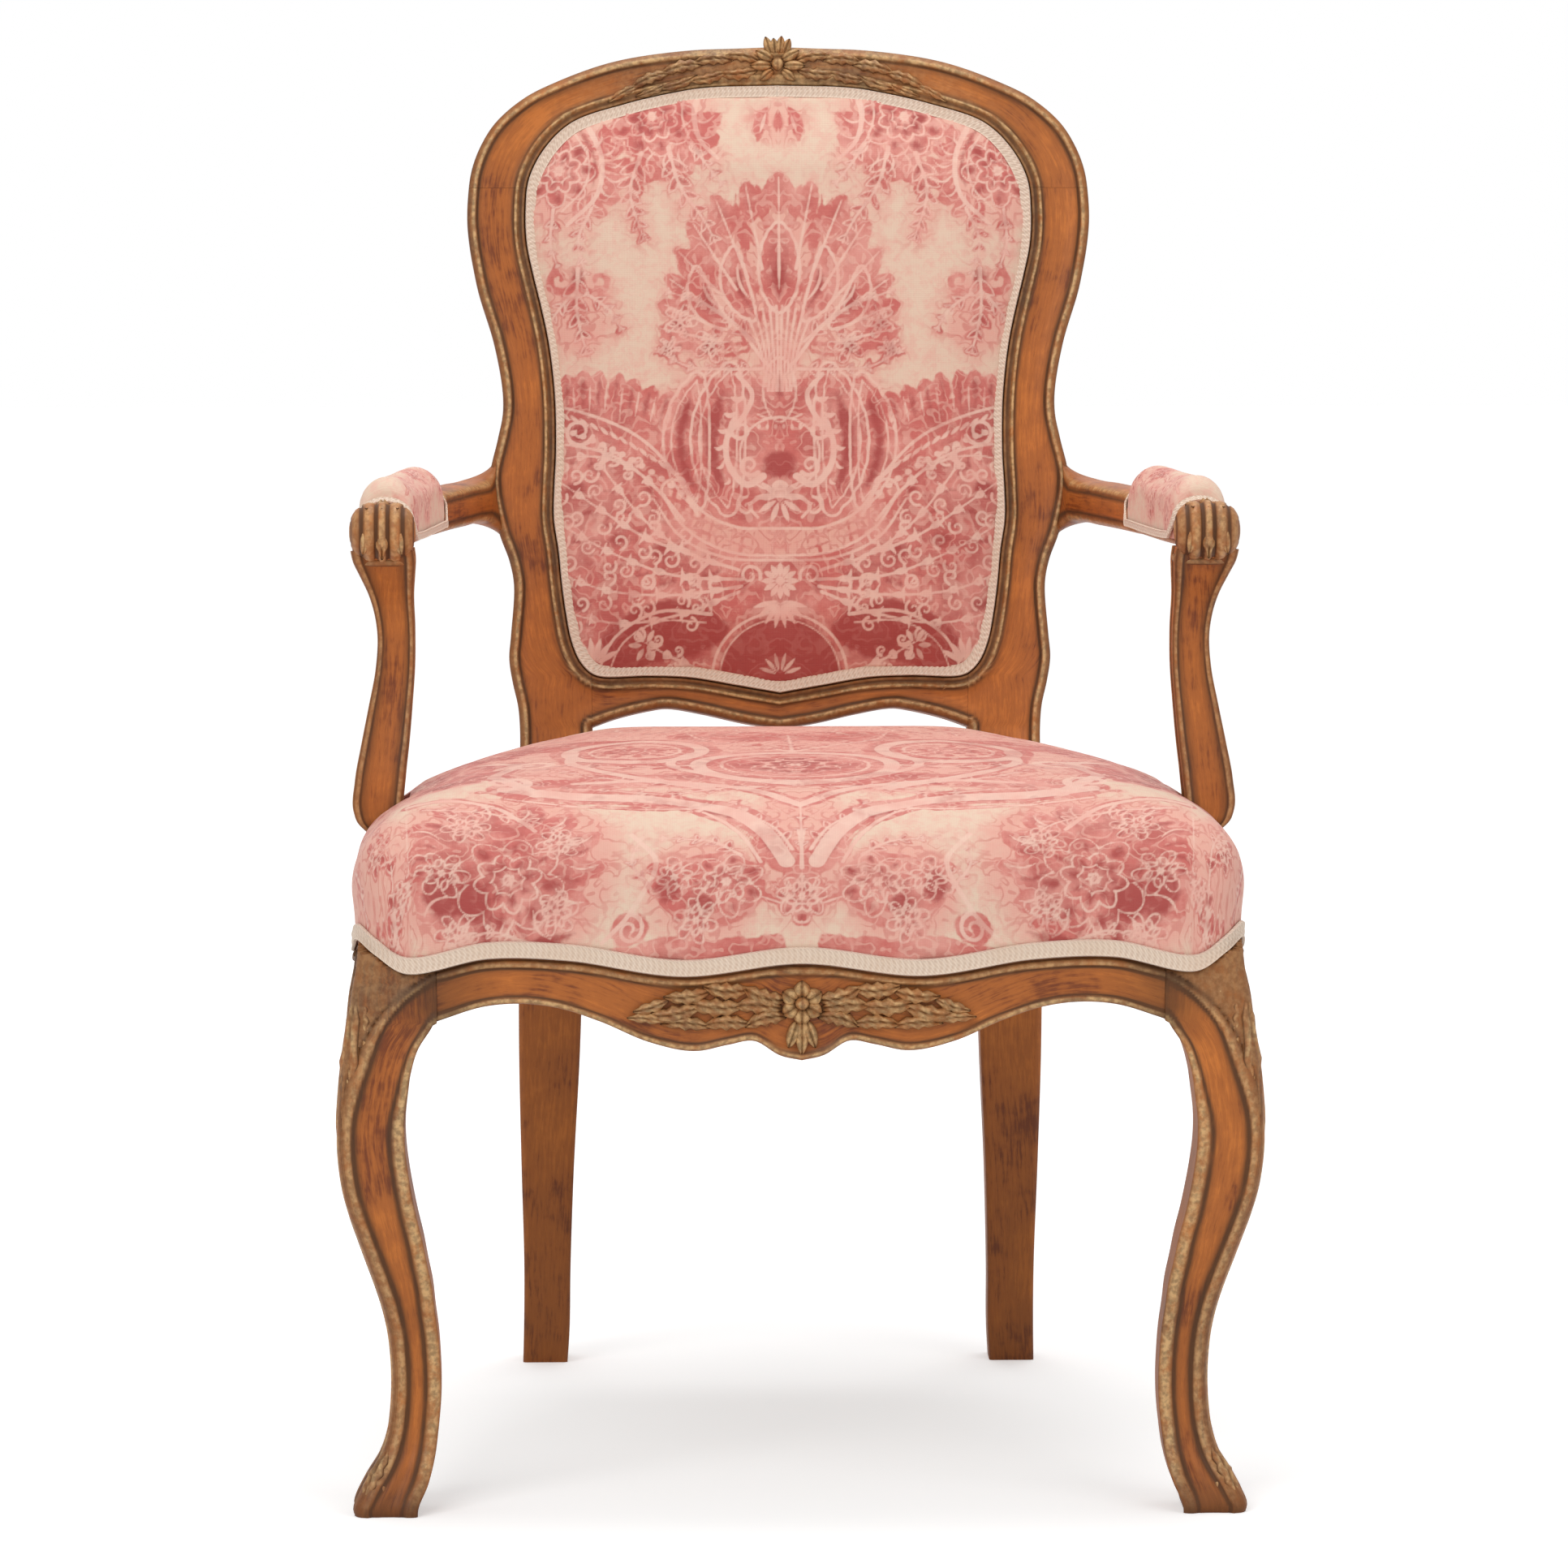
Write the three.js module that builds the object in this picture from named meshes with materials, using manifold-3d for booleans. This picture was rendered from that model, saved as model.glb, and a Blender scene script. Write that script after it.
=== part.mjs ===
// An upholstered open armchair in the rococo manner: a pegged beech frame with cabriole front legs,
// a shaped seat and back stuffed over webbing, padded arms, and gimp braid along every cloth edge.
// Millimetres. X to the viewer's right, the front faces -Y, Z up, the feet stand on Z = 0.

import * as THREE from "three";
import { mergeVertices } from "three/addons/utils/BufferGeometryUtils.js";
import Module from "manifold-3d";

const wasm = await Module();
wasm.setup();

// Clearances
const woodClearance = 0.3;
const clothClearance = 0.5;
const cutOverrun = 12;
const sharpEdge = 1.2;

// Front legs
const kneeReach = 308.7;
const kneeDepthLess = 6;
const legSweep = 35.2;
const legWidth = 60;
const legBlockWidth = 67.3;
const legBlockDepth = 62.7;
const legBlockHeight = 73;
const kneeReachY = kneeReach - kneeDepthLess;
const legInnerFaceX = kneeReach - legBlockWidth;
const legInnerFaceY = kneeReachY - legBlockDepth;

// Seat frame
const railTop = 405;
const kneeTopHeight = railTop - legBlockHeight;
const seatRailDepth = 60;
const railThickness = 30;
const railProud = 3;
const rebateInset = 3;
const railHollow = 3;
const railBead = 7;
const backRailBottom = 348;

// Upholstered seat: how far its plan stays inside the knees, and ends behind the stiles' front
const seatInsideKnee = 14.7;
const seatInsideKneeY = 0.7;
const seatPastStile = 43;
const seatCrownRise = 83;
const seatHalfWidth = kneeReach - seatInsideKnee;
const seatFrontY = seatInsideKneeY - kneeReachY;
const seatCrown = railTop + seatCrownRise;
const clothThickness = 1.2;
const coverEdgeLift = 2;
const seatCentreY = -30;

// Stiles and back
const stileOuter = 190;
const stileWidth = 48;
const stileFrontY = 205;
const stileThickness = 38;
const rearLegRake = 61;
const footThickness = 34;
const backFootBelowCrown = 58;
const backRake = THREE.MathUtils.degToRad(8);
const backHeight = 544;
const backHalfWidth = 226.6;
const backFrameThickness = 34;
const backBow = 16;
const backRebateWidth = 13;
const backRebateDepth = 5;
const backBead = 6;
const backHollow = 3;
const crestDrop = 103;
const crestJointHeight = backHeight - crestDrop;
const lowerRailInset = 5;
const backCrown = 19;
const stileInner = stileOuter - stileWidth;
const lowerRailHalf = stileInner - lowerRailInset;
const footFrontY = stileFrontY + rearLegRake;
const backFootZ = seatCrown - backFootBelowCrown;
const seatDepth = stileFrontY + seatPastStile - seatFrontY;

// Arms and arm supports
const armRootPastOuter = 6;
const armRootPastFront = 47;
const armFrontY = -170;
const armHeight = 643;
const armDepth = 31;
const armWidth = 34;
const supportInsideSeat = 9;
const supportOutsideArm = 6;
const supportBehindArm = 48;
const supportWidth = 36;
const supportTenonLength = 24;
const footTenonInset = 4;
const supportFootBelowRail = 16;
const armRootX = stileOuter + armRootPastOuter;
const armRootY = stileFrontY + armRootPastFront;
const supportX = seatHalfWidth - supportInsideSeat;
const supportY = armFrontY + supportBehindArm;
const armReach = supportX - supportOutsideArm;
const padRise = 30;
const padWidth = 42;
const padGimpWidth = 8;
const padStartShare = 0.42;
const padEndShare = 0.848;

// Joints
const tenonLength = 24;
const tenonThickness = 10;
const tenonMargin = 9;
const pegRadius = 4;
const legPegLength = 45;
const stilePegLength = 24;
const pegSides = 10;

// Webbing, hessian and gimp
const webWidth = 52;
const webThickness = 1.2;
const webLift = 0.85;
const webLanding = 16;
const webFlat = 4;
const lengthwiseWebs = 4;
const crosswiseWebs = 4;
const lengthwisePitch = 104;
const crosswisePitch = 110;
const firstCrosswiseY = -186;
const webSplayShare = 0.66;
const hessianThickness = 0.8;
const gimpWidth = 11.5;
const gimpThickness = 2.4;
const gimpStandOff = 1.5;
const cornerBlockLeg = 62;
const cornerBlockHeight = 24;

// Carved ornament, kept as plain raised forms
const crestFlowerRadius = 15;
const crestFlowerRise = 7;
const crestSprayLength = 66;
const railFlowerRadius = 17;
const railSprayLength = 62;
const sprayHalfHeight = 9;
const carvingRise = 6;
const kneeLeafHalfWidth = 16;
const kneeLeafHalfHeight = 34;

// Colours
const finishes = {
  beech: new THREE.MeshStandardMaterial({ color: 0x9c5a22, roughness: 0.42, metalness: 0 }),
  plainBeech: new THREE.MeshStandardMaterial({ color: 0x85492a, roughness: 0.5, metalness: 0 }),
  rawWood: new THREE.MeshStandardMaterial({ color: 0xb98b5a, roughness: 0.75, metalness: 0 }),
  damask: new THREE.MeshStandardMaterial({ color: 0xd98f8b, roughness: 0.85, metalness: 0 }),
  gimp: new THREE.MeshStandardMaterial({ color: 0xe6d8bd, roughness: 0.85, metalness: 0 }),
  webbing: new THREE.MeshStandardMaterial({ color: 0xa9926a, roughness: 0.9, metalness: 0 }),
  hessian: new THREE.MeshStandardMaterial({ color: 0xa78a5c, roughness: 0.95, metalness: 0 }),
  horsehair: new THREE.MeshStandardMaterial({ color: 0x3b2d22, roughness: 0.95, metalness: 0 }),
};

// Front leg from the toe up: height as a share of the seat frame's height, how far the outer corner
// has swept in from the knee, and the stick's width there, as shares of legSweep and legWidth.
const legShares = [
  [0, 0.26, 0.73],
  [0.012, 0.27, 0.73],
  [0.05, 0.47, 0.72],
  [0.092, 0.77, 0.62],
  [0.133, 0.92, 0.57],
  [0.173, 0.98, 0.56],
  [0.215, 1, 0.555],
  [0.254, 0.985, 0.555],
  [0.296, 0.935, 0.565],
  [0.336, 0.84, 0.587],
  [0.377, 0.7, 0.64],
  [0.417, 0.545, 0.68],
  [0.458, 0.386, 0.725],
  [0.499, 0.227, 0.757],
  [0.538, 0.108, 0.778],
  [0.579, 0.034, 0.778],
  [0.62, 0, 0.768],
  [0.66, 0.01, 0.76],
  [0.7, 0.037, 0.773],
  [0.741, 0.077, 0.79],
  [0.78, 0.134, 0.837],
  [0.82, 0.2, 0.965],
  [0.862, 0.247, 1],
  [0.901, 0.33, 1],
  [1, 0.42, 1],
];

// Seat plan for the right half, from the middle of the front to the middle of the back: across and
// back as shares of a half width and the depth, then the drop of the gimp's lower edge below the
// rail's top as a share of the rail's depth. In front of the stiles the half width is the seat's own,
// and beside and behind them it is the stiles'.
const seatFrontShares = [
  [0, 0, 0.55],
  [0.269, 0.005, 0.695],
  [0.524, 0.02, 0.533],
  [0.707, 0.026, 0.517],
  [0.891, 0.02, 0.67],
  [0.952, 0.032, 0.483],
  [0.99, 0.062, 0.35],
  [1.003, 0.113, 0.483],
  [1.007, 0.185, 0.617],
  [0.993, 0.331, 0.517],
  [0.942, 0.495, 0.55],
  [0.861, 0.64, 0.583],
  [0.769, 0.767, 0.55],
];
const seatRearShares = [
  [1.04138, 0.876, 0.55],
  [0.99496, 0.931, 0.55],
  [0.97948, 0.96, 0.55],
  [0.89438, 0.982, 0.55],
  [0.44719, 0.985, 0.55],
  [0, 0.985, 0.55],
];

// Cushion section from its lower edge up: height as a share of the way to the crown, and how far
// the plan has grown or drawn in there.
const cushionShares = [
  [0, 1],
  [0.22, 1.004],
  [0.46, 1.01],
  [0.62, 0.99],
  [0.75, 0.94],
  [0.85, 0.86],
  [0.93, 0.7],
  [0.975, 0.48],
  [1, 0.2],
];

// Lower edge of the front rail from the middle out: across as a share of the rail's half length,
// then the drop below the rail's top as a share of the rail's depth.
const frontApronShares = [
  [0, 1.605],
  [0.06, 1.55],
  [0.129, 1.39],
  [0.2, 1.43],
  [0.286, 1.502],
  [0.419, 1.408],
  [0.552, 1.188],
  [0.66, 1.05],
  [0.73, 1.005],
  [0.863, 1.022],
  [1, 1.183],
];

// Lower edge of a side rail from the front leg to the stile, in the same shares
const sideApronShares = [
  [0, 1.2],
  [0.12, 1.08],
  [0.3, 1.0],
  [0.5, 1.1],
  [0.68, 1.02],
  [0.86, 0.98],
  [1, 1.0],
];

// Outer edge of the back from the top middle down to the seat: across and up as shares of the
// back's half width and height.
const backOuterShares = [
  [0, 1],
  [0.13, 0.998],
  [0.281, 0.9955],
  [0.463, 0.986],
  [0.574, 0.975],
  [0.712, 0.9535],
  [0.815, 0.932],
  [0.908, 0.899],
  [0.958, 0.866],
  [0.986, 0.834],
  [0.997, 0.801],
  [1, 0.768],
  [0.993, 0.735],
  [0.98, 0.703],
  [0.963, 0.67],
  [0.916, 0.605],
  [0.888, 0.54],
  [0.888, 0.507],
  [0.904, 0.474],
  [0.93, 0.42],
  [0.9, 0.35],
  [0.867, 0.3116],
  [0.853, 0.279],
  [0.863, 0.213],
  [0.869, 0.181],
  [0.858, 0.149],
  [0.841, 0.117],
  [0.835, 0.084],
  [0.836, 0.04],
  [0.84, 0],
];

// Edge of the upholstered back panel from the top middle to the bottom middle, in the same shares
const backPanelShares = [
  [0, 0.948],
  [0.234, 0.945],
  [0.353, 0.937],
  [0.494, 0.923],
  [0.662, 0.899],
  [0.748, 0.866],
  [0.803, 0.823],
  [0.815, 0.779],
  [0.811, 0.735],
  [0.79, 0.692],
  [0.765, 0.649],
  [0.743, 0.605],
  [0.729, 0.562],
  [0.721, 0.518],
  [0.72, 0.452],
  [0.7255, 0.409],
  [0.727, 0.366],
  [0.712, 0.3224],
  [0.702, 0.279],
  [0.6875, 0.235],
  [0.672, 0.203],
  [0.646, 0.176],
  [0.613, 0.16],
  [0.578, 0.1535],
  [0.419, 0.1537],
  [0.287, 0.151],
  [0.132, 0.14],
  [0, 0.1303],
];

// Lower edge of the lower back rail from the middle out, in the same shares
const lowerRailShares = [
  [0, 0.0838],
  [0.115, 0.0914],
  [0.247, 0.104],
  [0.362, 0.112],
  [0.419, 0.1092],
  [0.525, 0.099],
  [0.6046, 0.0875],
];

// Back cushion section from its edge in: rise as a share of the crown, and the plan's share there
const backCushionShares = [
  [0, 0.982],
  [0.02, 0.915],
  [0.3, 0.87],
  [0.6, 0.79],
  [0.84, 0.63],
  [0.95, 0.42],
  [1, 0.16],
];

// Plan shares of the flat cloths of the back, from the edge in
const flatClothShares = [0.982, 0.87, 0.6, 0.2];

// Arm pad along the arm: place as a share of its length, then width and rise as shares of the pad's
const padShares = [
  [0, 0.72, 0.5],
  [0.06, 0.88, 0.74],
  [0.16, 0.97, 0.92],
  [0.35, 1, 1],
  [0.65, 1, 1],
  [0.84, 0.98, 0.94],
  [0.94, 0.9, 0.78],
  [1, 0.76, 0.55],
];

// Arm from the stile to the hand: how far forward and how far out it has gone, its height above
// armHeight in armDepth, and its depth and width as shares of armDepth and armWidth.
const armShares = [
  [0, 0, -0.06, 1.45, 0.8],
  [0.02, 0.19, -0.06, 1.2, 0.82],
  [0.071, 0.34, -0.06, 1.02, 0.85],
  [0.17, 0.48, -0.04, 1, 0.9],
  [0.277, 0.6, -0.02, 0.98, 0.94],
  [0.42, 0.747, 0, 0.97, 0.97],
  [0.597, 0.88, 0, 0.94, 1],
  [0.763, 0.96, 0.06, 0.92, 1],
  [0.858, 0.994, 0.14, 0.98, 1.06],
  [0.91, 1, 0.17, 1.24, 1.28],
  [0.948, 1, 0.15, 1.3, 1.35],
  [0.981, 1, 0.1, 1.1, 1.12],
  [1, 1, 0.04, 0.6, 0.6],
];

// Arm support from the seat rail to the hand: height as a share of its rise, how far it leans out
// and back as shares of its width, and its width and depth as shares of supportWidth.
const supportShares = [
  [0, 0.12, 0, 0.74, 1],
  [0.06, 0.12, 0, 0.76, 1],
  [0.11, 0.03, 0, 1.0, 1],
  [0.22, 0.02, 0, 1.0, 0.98],
  [0.35, -0.07, 0.07, 0.96, 0.94],
  [0.5, -0.22, 0.22, 0.88, 0.87],
  [0.66, -0.37, 0.36, 0.8, 0.82],
  [0.78, -0.39, 0.34, 0.78, 0.83],
  [0.9, -0.28, 0.0, 0.86, 0.93],
  [1, -0.16, -0.42, 1.02, 1.05],
];

// Stile below the seat, from the foot up: height as a share of the back's foot height, outer and
// inner edges as shares of stileOuter and stileInner, how far the foot's rake has gone, and the
// thickness between the foot's and the stile's.
const rearLegShares = [
  [0, 0.995, 1.1, 1, 0],
  [0.05, 0.992, 1.09, 0.93, 0.05],
  [0.165, 0.989, 1.083, 0.73, 0.2],
  [0.34, 0.997, 1.065, 0.48, 0.45],
  [0.56, 1.005, 1.03, 0.2, 0.75],
  [0.78, 1.003, 1.01, 0.04, 0.95],
  [0.9, 1, 1, 0, 1],
  [1, 1, 1, 0, 1],
];

// A smooth value for every column of a table at a place along its first column
function readRow(rows, place) {
  const last = rows.length - 1;
  let i = 0;
  while (i < last - 1 && place > rows[i + 1][0]) i += 1;
  const before = rows[Math.max(i - 1, 0)];
  const [a, b] = [rows[i], rows[i + 1]];
  const after = rows[Math.min(i + 2, last)];
  const span = b[0] - a[0];
  const t = Math.min(Math.max((place - a[0]) / span, 0), 1);
  return a.map((value, column) => {
    const slopeA = (b[column] - before[column]) / (b[0] - before[0]) * span;
    const slopeB = (after[column] - a[column]) / (after[0] - a[0]) * span;
    const rise = b[column] - value;
    return value + slopeA * t * (1 - t) ** 2 + rise * t * t * (3 - 2 * t) - slopeB * t * t * (1 - t);
  });
}

// A curve through points, sampled into steps of equal length
const fineSteps = 400;
function sampleCurve(points, steps, closed = false) {
  const samples = new THREE.CatmullRomCurve3(points, closed, "centripetal").getSpacedPoints(steps);
  return closed ? samples.slice(0, -1) : samples;
}

// The point where a polyline first reaches a value along one axis
function crossing(points, axis, value) {
  const i = points.findIndex((p, k) => k > 0 && (p[axis] - value) * (points[k - 1][axis] - value) <= 0);
  const [a, b] = [points[i - 1], points[i]];
  return a.clone().lerp(b, (value - a[axis]) / (b[axis] - a[axis] || 1));
}

// Triangles over one flat ring, by the ring's own plane
function capFaces(ring, offset) {
  const normal = new THREE.Vector3();
  ring.forEach((p, i) => {
    const q = ring[(i + 1) % ring.length];
    normal.add(new THREE.Vector3().crossVectors(p, q));
  });
  normal.normalize();
  const across = new THREE.Vector3().subVectors(ring[1], ring[0]);
  across.addScaledVector(normal, -across.dot(normal)).normalize();
  const up = new THREE.Vector3().crossVectors(normal, across);
  const flat = ring.map((p) => new THREE.Vector2(p.dot(across), p.dot(up)));
  return THREE.ShapeUtils.triangulateShape(flat, []).map((face) => face.map((i) => i + offset));
}

// A closed body through rings of points, capped at both ends, or joined round when closed
function loft(rings, closed = false) {
  const count = rings[0].length;
  const positions = rings.flat().flatMap((p) => [p.x, p.y, p.z]);
  const faces = [];
  const joins = closed ? rings.length : rings.length - 1;
  for (let r = 0; r < joins; r += 1) {
    const next = (r + 1) % rings.length;
    for (let i = 0; i < count; i += 1) {
      const j = (i + 1) % count;
      const corners = [r * count + i, r * count + j, next * count + j, next * count + i];
      faces.push([corners[0], corners[1], corners[2]], [corners[0], corners[2], corners[3]]);
    }
  }
  if (!closed) {
    capFaces(rings[0], 0).forEach((face) => faces.push(face.reverse()));
    capFaces(rings[rings.length - 1], (rings.length - 1) * count).forEach((face) => faces.push(face));
  }
  return bodyFrom(positions, faces);
}

// A geometry from positions and faces, turned so that its faces point out
function bodyFrom(positions, faces) {
  const corner = (i) => new THREE.Vector3(...positions.slice(i * 3, i * 3 + 3));
  const volume = faces.reduce((sum, [a, b, c]) => sum + corner(a).dot(corner(b).cross(corner(c))), 0);
  const index = faces.flatMap((face) => (volume < 0 ? [...face].reverse() : face));
  return new THREE.BufferGeometry()
    .setAttribute("position", new THREE.Float32BufferAttribute(positions, 3))
    .setIndex(index);
}

// A three.js geometry as a solid that can be cut and joined
function solidOf(geometry) {
  const bare = geometry.clone();
  ["normal", "uv"].forEach((name) => bare.deleteAttribute(name));
  const merged = mergeVertices(bare, 1e-3);
  return new wasm.Manifold(new wasm.Mesh({
    numProp: 3,
    vertProperties: merged.attributes.position.array,
    triVerts: new Uint32Array(merged.index.array),
  }));
}

// A solid back as a three.js geometry
function geometryOf(solid) {
  const mesh = solid.getMesh();
  return new THREE.BufferGeometry()
    .setAttribute("position", new THREE.Float32BufferAttribute(mesh.vertProperties, 3))
    .setIndex(new THREE.Uint32BufferAttribute(mesh.triVerts, 1));
}

// One geometry less others, and several made one
const cut = (body, ...tools) => geometryOf(
  tools.reduce((sum, tool) => sum.subtract(solidOf(tool)), solidOf(body)));
const join = (first, ...others) => geometryOf(
  others.reduce((sum, body) => sum.add(solidOf(body)), solidOf(first)));

// The same geometry on the other side of the middle plane
function mirrored(geometry) {
  const copy = geometry.clone();
  copy.scale(-1, 1, 1);
  const index = Array.from(copy.index.array);
  for (let i = 0; i < index.length; i += 3) [index[i + 1], index[i + 2]] = [index[i + 2], index[i + 1]];
  return copy.setIndex(index);
}

// A box between two corners
function boxBetween(low, high) {
  const size = new THREE.Vector3().subVectors(high, low);
  const middle = low.clone().add(high).multiplyScalar(0.5);
  return new THREE.BoxGeometry(size.x, size.y, size.z).translate(middle.x, middle.y, middle.z);
}

// A box grown by a margin on every side
const grownBox = (low, high, margin) => boxBetween(
  low.clone().subScalar(margin), high.clone().addScalar(margin));

// Twelve points round a rectangle with cut corners: centre, half sizes, corner size, and two axes
function roundedRing(centre, halfWidth, halfDepth, corner, across, along) {
  const inner = [halfWidth - corner, halfDepth - corner];
  const signs = [[1, 1], [-1, 1], [-1, -1], [1, -1]];
  const turn = Math.SQRT1_2 * corner;
  return signs.flatMap(([sx, sy], quarter) => {
    const arc = [[corner, 0], [turn, turn], [0, corner]];
    const order = quarter % 2 ? [...arc].reverse() : arc;
    return order.map(([a, b]) => centre.clone()
      .addScaledVector(across, sx * (inner[0] + a))
      .addScaledVector(along, sy * (inner[1] + b)));
  });
}

const axisX = new THREE.Vector3(1, 0, 0);
const axisY = new THREE.Vector3(0, 1, 0);
const axisZ = new THREE.Vector3(0, 0, 1);

// Seat plan as a closed run of points; z holds the height of the gimp's lower edge
const seatSteps = 48;
const seatPoints = (rows, halfWidth) => rows.map(([across, back, drop]) => new THREE.Vector3(
  across * halfWidth,
  seatFrontY + back * seatDepth,
  railTop - drop * seatRailDepth,
));
const seatRight = [...seatPoints(seatFrontShares, seatHalfWidth), ...seatPoints(seatRearShares, stileOuter)];
const flipX = (p) => new THREE.Vector3(-p.x, p.y, p.z);
const seatLoop = [...seatRight, ...seatRight.slice(1, -1).reverse().map(flipX)];
const seatCurve = new THREE.CatmullRomCurve3(seatLoop, true, "centripetal");
const seatOutline = seatCurve.getPoints(seatSteps).slice(0, -1);
const seatHalf = sampleCurve(seatRight, fineSteps);

// The place of the seat plan's own point nearest to another
function nearestIndex(point) {
  const distances = seatHalf.map((p) => p.distanceToSquared(point));
  return distances.reduce((best, distance, k) => (distance < distances[best] ? k : best), 0);
}

// Outward direction of the seat plan at a point on its right half
function seatNormal(point) {
  const i = nearestIndex(point);
  const a = seatHalf[Math.max(i - 1, 0)];
  const b = seatHalf[Math.min(i + 1, seatHalf.length - 1)];
  return new THREE.Vector3(b.y - a.y, a.x - b.x, 0).normalize();
}

// A section of a seat rail: inside, flat top, rebate for the cloth, hollow between two beads
function railRing(point, outward, bottom, grow = 0) {
  const at = (out, z) => new THREE.Vector3(point.x, point.y, z).addScaledVector(outward, out);
  const gimpEdge = point.z - woodClearance;
  const middle = (gimpEdge + bottom) / 2;
  const proud = railProud + grow;
  return [
    at(-railThickness - grow, bottom + sharpEdge - grow),
    at(-railThickness - grow, railTop + grow),
    at(grow - rebateInset, railTop + grow),
    at(grow - rebateInset, gimpEdge),
    at(proud, gimpEdge),
    at(proud, gimpEdge - railBead),
    at(proud - railHollow, middle),
    at(proud, bottom + railBead - grow),
    at(proud - sharpEdge, bottom - grow),
    at(sharpEdge - railThickness - grow, bottom - grow),
  ];
}

// Front leg, right side, grown on every side by a margin for cutting its neighbours
const legSteps = 23;
function legBlank(grow = 0) {
  const rings = [];
  for (let step = 0; step <= legSteps; step += 1) {
    const share = step / legSteps;
    const [, sweep, width] = readRow(legShares, share);
    const z = share * railTop;
    const outer = kneeReach - sweep * legSweep;
    const upper = z > kneeTopHeight;
    const innerX = upper ? legInnerFaceX : outer - width * legWidth;
    const innerY = upper ? legInnerFaceY : outer - kneeDepthLess - width * legWidth;
    rings.push(legRing(outer, innerX, innerY, z, grow, upper));
  }
  if (grow) {
    rings[0].forEach((p) => p.setZ(-grow));
    rings[legSteps].forEach((p) => p.setZ(railTop + grow));
  }
  return loft(rings);
}

// A section of the front leg: rounded outside corner, crisper corners where the rails meet it
function legRing(outer, innerX, innerY, z, grow, upper) {
  const front = kneeDepthLess - outer - grow;
  const [left, right, back] = [innerX - grow, outer + grow, grow - innerY];
  const round = (right - left) / 4;
  const crisp = upper ? sharpEdge : round;
  const turn = 1 - Math.SQRT1_2;
  const corner = (x, y, sx, sy, r) => [
    new THREE.Vector3(x, y - sy * r, z),
    new THREE.Vector3(x - sx * r * turn, y - sy * r * turn, z),
    new THREE.Vector3(x - sx * r, y, z),
  ];
  return [
    ...corner(right, front, 1, -1, round),
    ...corner(left, front, -1, -1, crisp).reverse(),
    ...corner(left, back, -1, 1, crisp),
    ...corner(right, back, 1, 1, crisp).reverse(),
  ];
}

// The band of cloth round the seat: what the leg's top is cut back by
function clothBand() {
  const rings = seatOutline.map((p) => {
    const outward = seatNormal(new THREE.Vector3(Math.abs(p.x), p.y, p.z));
    outward.x *= Math.sign(p.x) || 1;
    const at = (out, z) => new THREE.Vector3(p.x, p.y, z).addScaledVector(outward, out);
    const far = seatRailDepth;
    return [at(-rebateInset, p.z), at(far, p.z), at(far, seatCrown), at(-rebateInset, seatCrown)];
  });
  return loft(rings, true);
}

// A tenon across X or Y: its low and high corners about a point on the shoulder
function tenonCorners(shoulder, direction, length, bottom, top) {
  const half = tenonThickness / 2;
  const end = shoulder.clone().addScaledVector(direction, length);
  const start = shoulder.clone().addScaledVector(direction, -tenonMargin);
  const side = Math.abs(direction.x) > 0.5 ? new THREE.Vector3(0, half, 0) : new THREE.Vector3(half, 0, 0);
  const low = start.clone().min(end).sub(side).setZ(bottom);
  const high = start.clone().max(end).add(side).setZ(top);
  return [low, high];
}

// A round peg across a joint
function pegAt(centre, direction, length, grow = 0) {
  const peg = new THREE.CylinderGeometry(pegRadius + grow, pegRadius + grow, length + 2 * grow, pegSides);
  peg.applyQuaternion(new THREE.Quaternion().setFromUnitVectors(axisY, direction));
  return peg.translate(centre.x, centre.y, centre.z);
}

// A place on the back: across, up the rake, and proud of its front face, with its shallow bow
const backOut = new THREE.Vector3(0, -Math.cos(backRake), Math.sin(backRake));
const lowerRailFoot = lowerRailShares[0][1] * backHeight;
function onBack(u, v, w = 0) {
  const grown = Math.min(Math.max(v / lowerRailFoot, 0), 1);
  const bow = backBow * grown * (1 - (u / backHalfWidth) ** 2);
  const y = stileFrontY + Math.sin(backRake) * v + bow;
  return new THREE.Vector3(u, y, backFootZ + Math.cos(backRake) * v).addScaledVector(backOut, w);
}

// Edges of the back on its own flat plan
const flatPoints = (rows) => rows.map(([u, v]) => new THREE.Vector3(u * backHalfWidth, v * backHeight, 0));
const outerEdge = sampleCurve(flatPoints(backOuterShares), fineSteps);
const panelEdge = sampleCurve(flatPoints(backPanelShares), fineSteps);
const underEdge = sampleCurve(flatPoints(lowerRailShares), fineSteps);

// A moulded section of the back frame between its inner and outer edges
function frameRing(inner, outer, rebate, grow = 0) {
  const width = inner.distanceTo(outer);
  const along = outer.clone().sub(inner).divideScalar(width);
  const at = (a, w) => onBack(inner.x + along.x * a, inner.y + along.y * a, w);
  const deep = -backFrameThickness - grow;
  const bead = backBead + sharpEdge;
  const dip = grow - backHollow;
  return [
    at(-rebate - grow, deep),
    at(-rebate - grow, grow - backRebateDepth),
    at(-grow, grow - backRebateDepth),
    at(-grow, grow - sharpEdge),
    at(bead / 2 - grow, grow),
    at(bead, dip / 2 + grow / 2),
    at(width / 2, dip),
    at(width - bead, dip / 2 + grow / 2),
    at(width - bead / 2 + grow, grow),
    at(width + grow, grow - 2 * sharpEdge),
    at(width + grow, deep + 2 * sharpEdge),
    at(width - 2 * sharpEdge + grow, deep),
  ];
}

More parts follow.
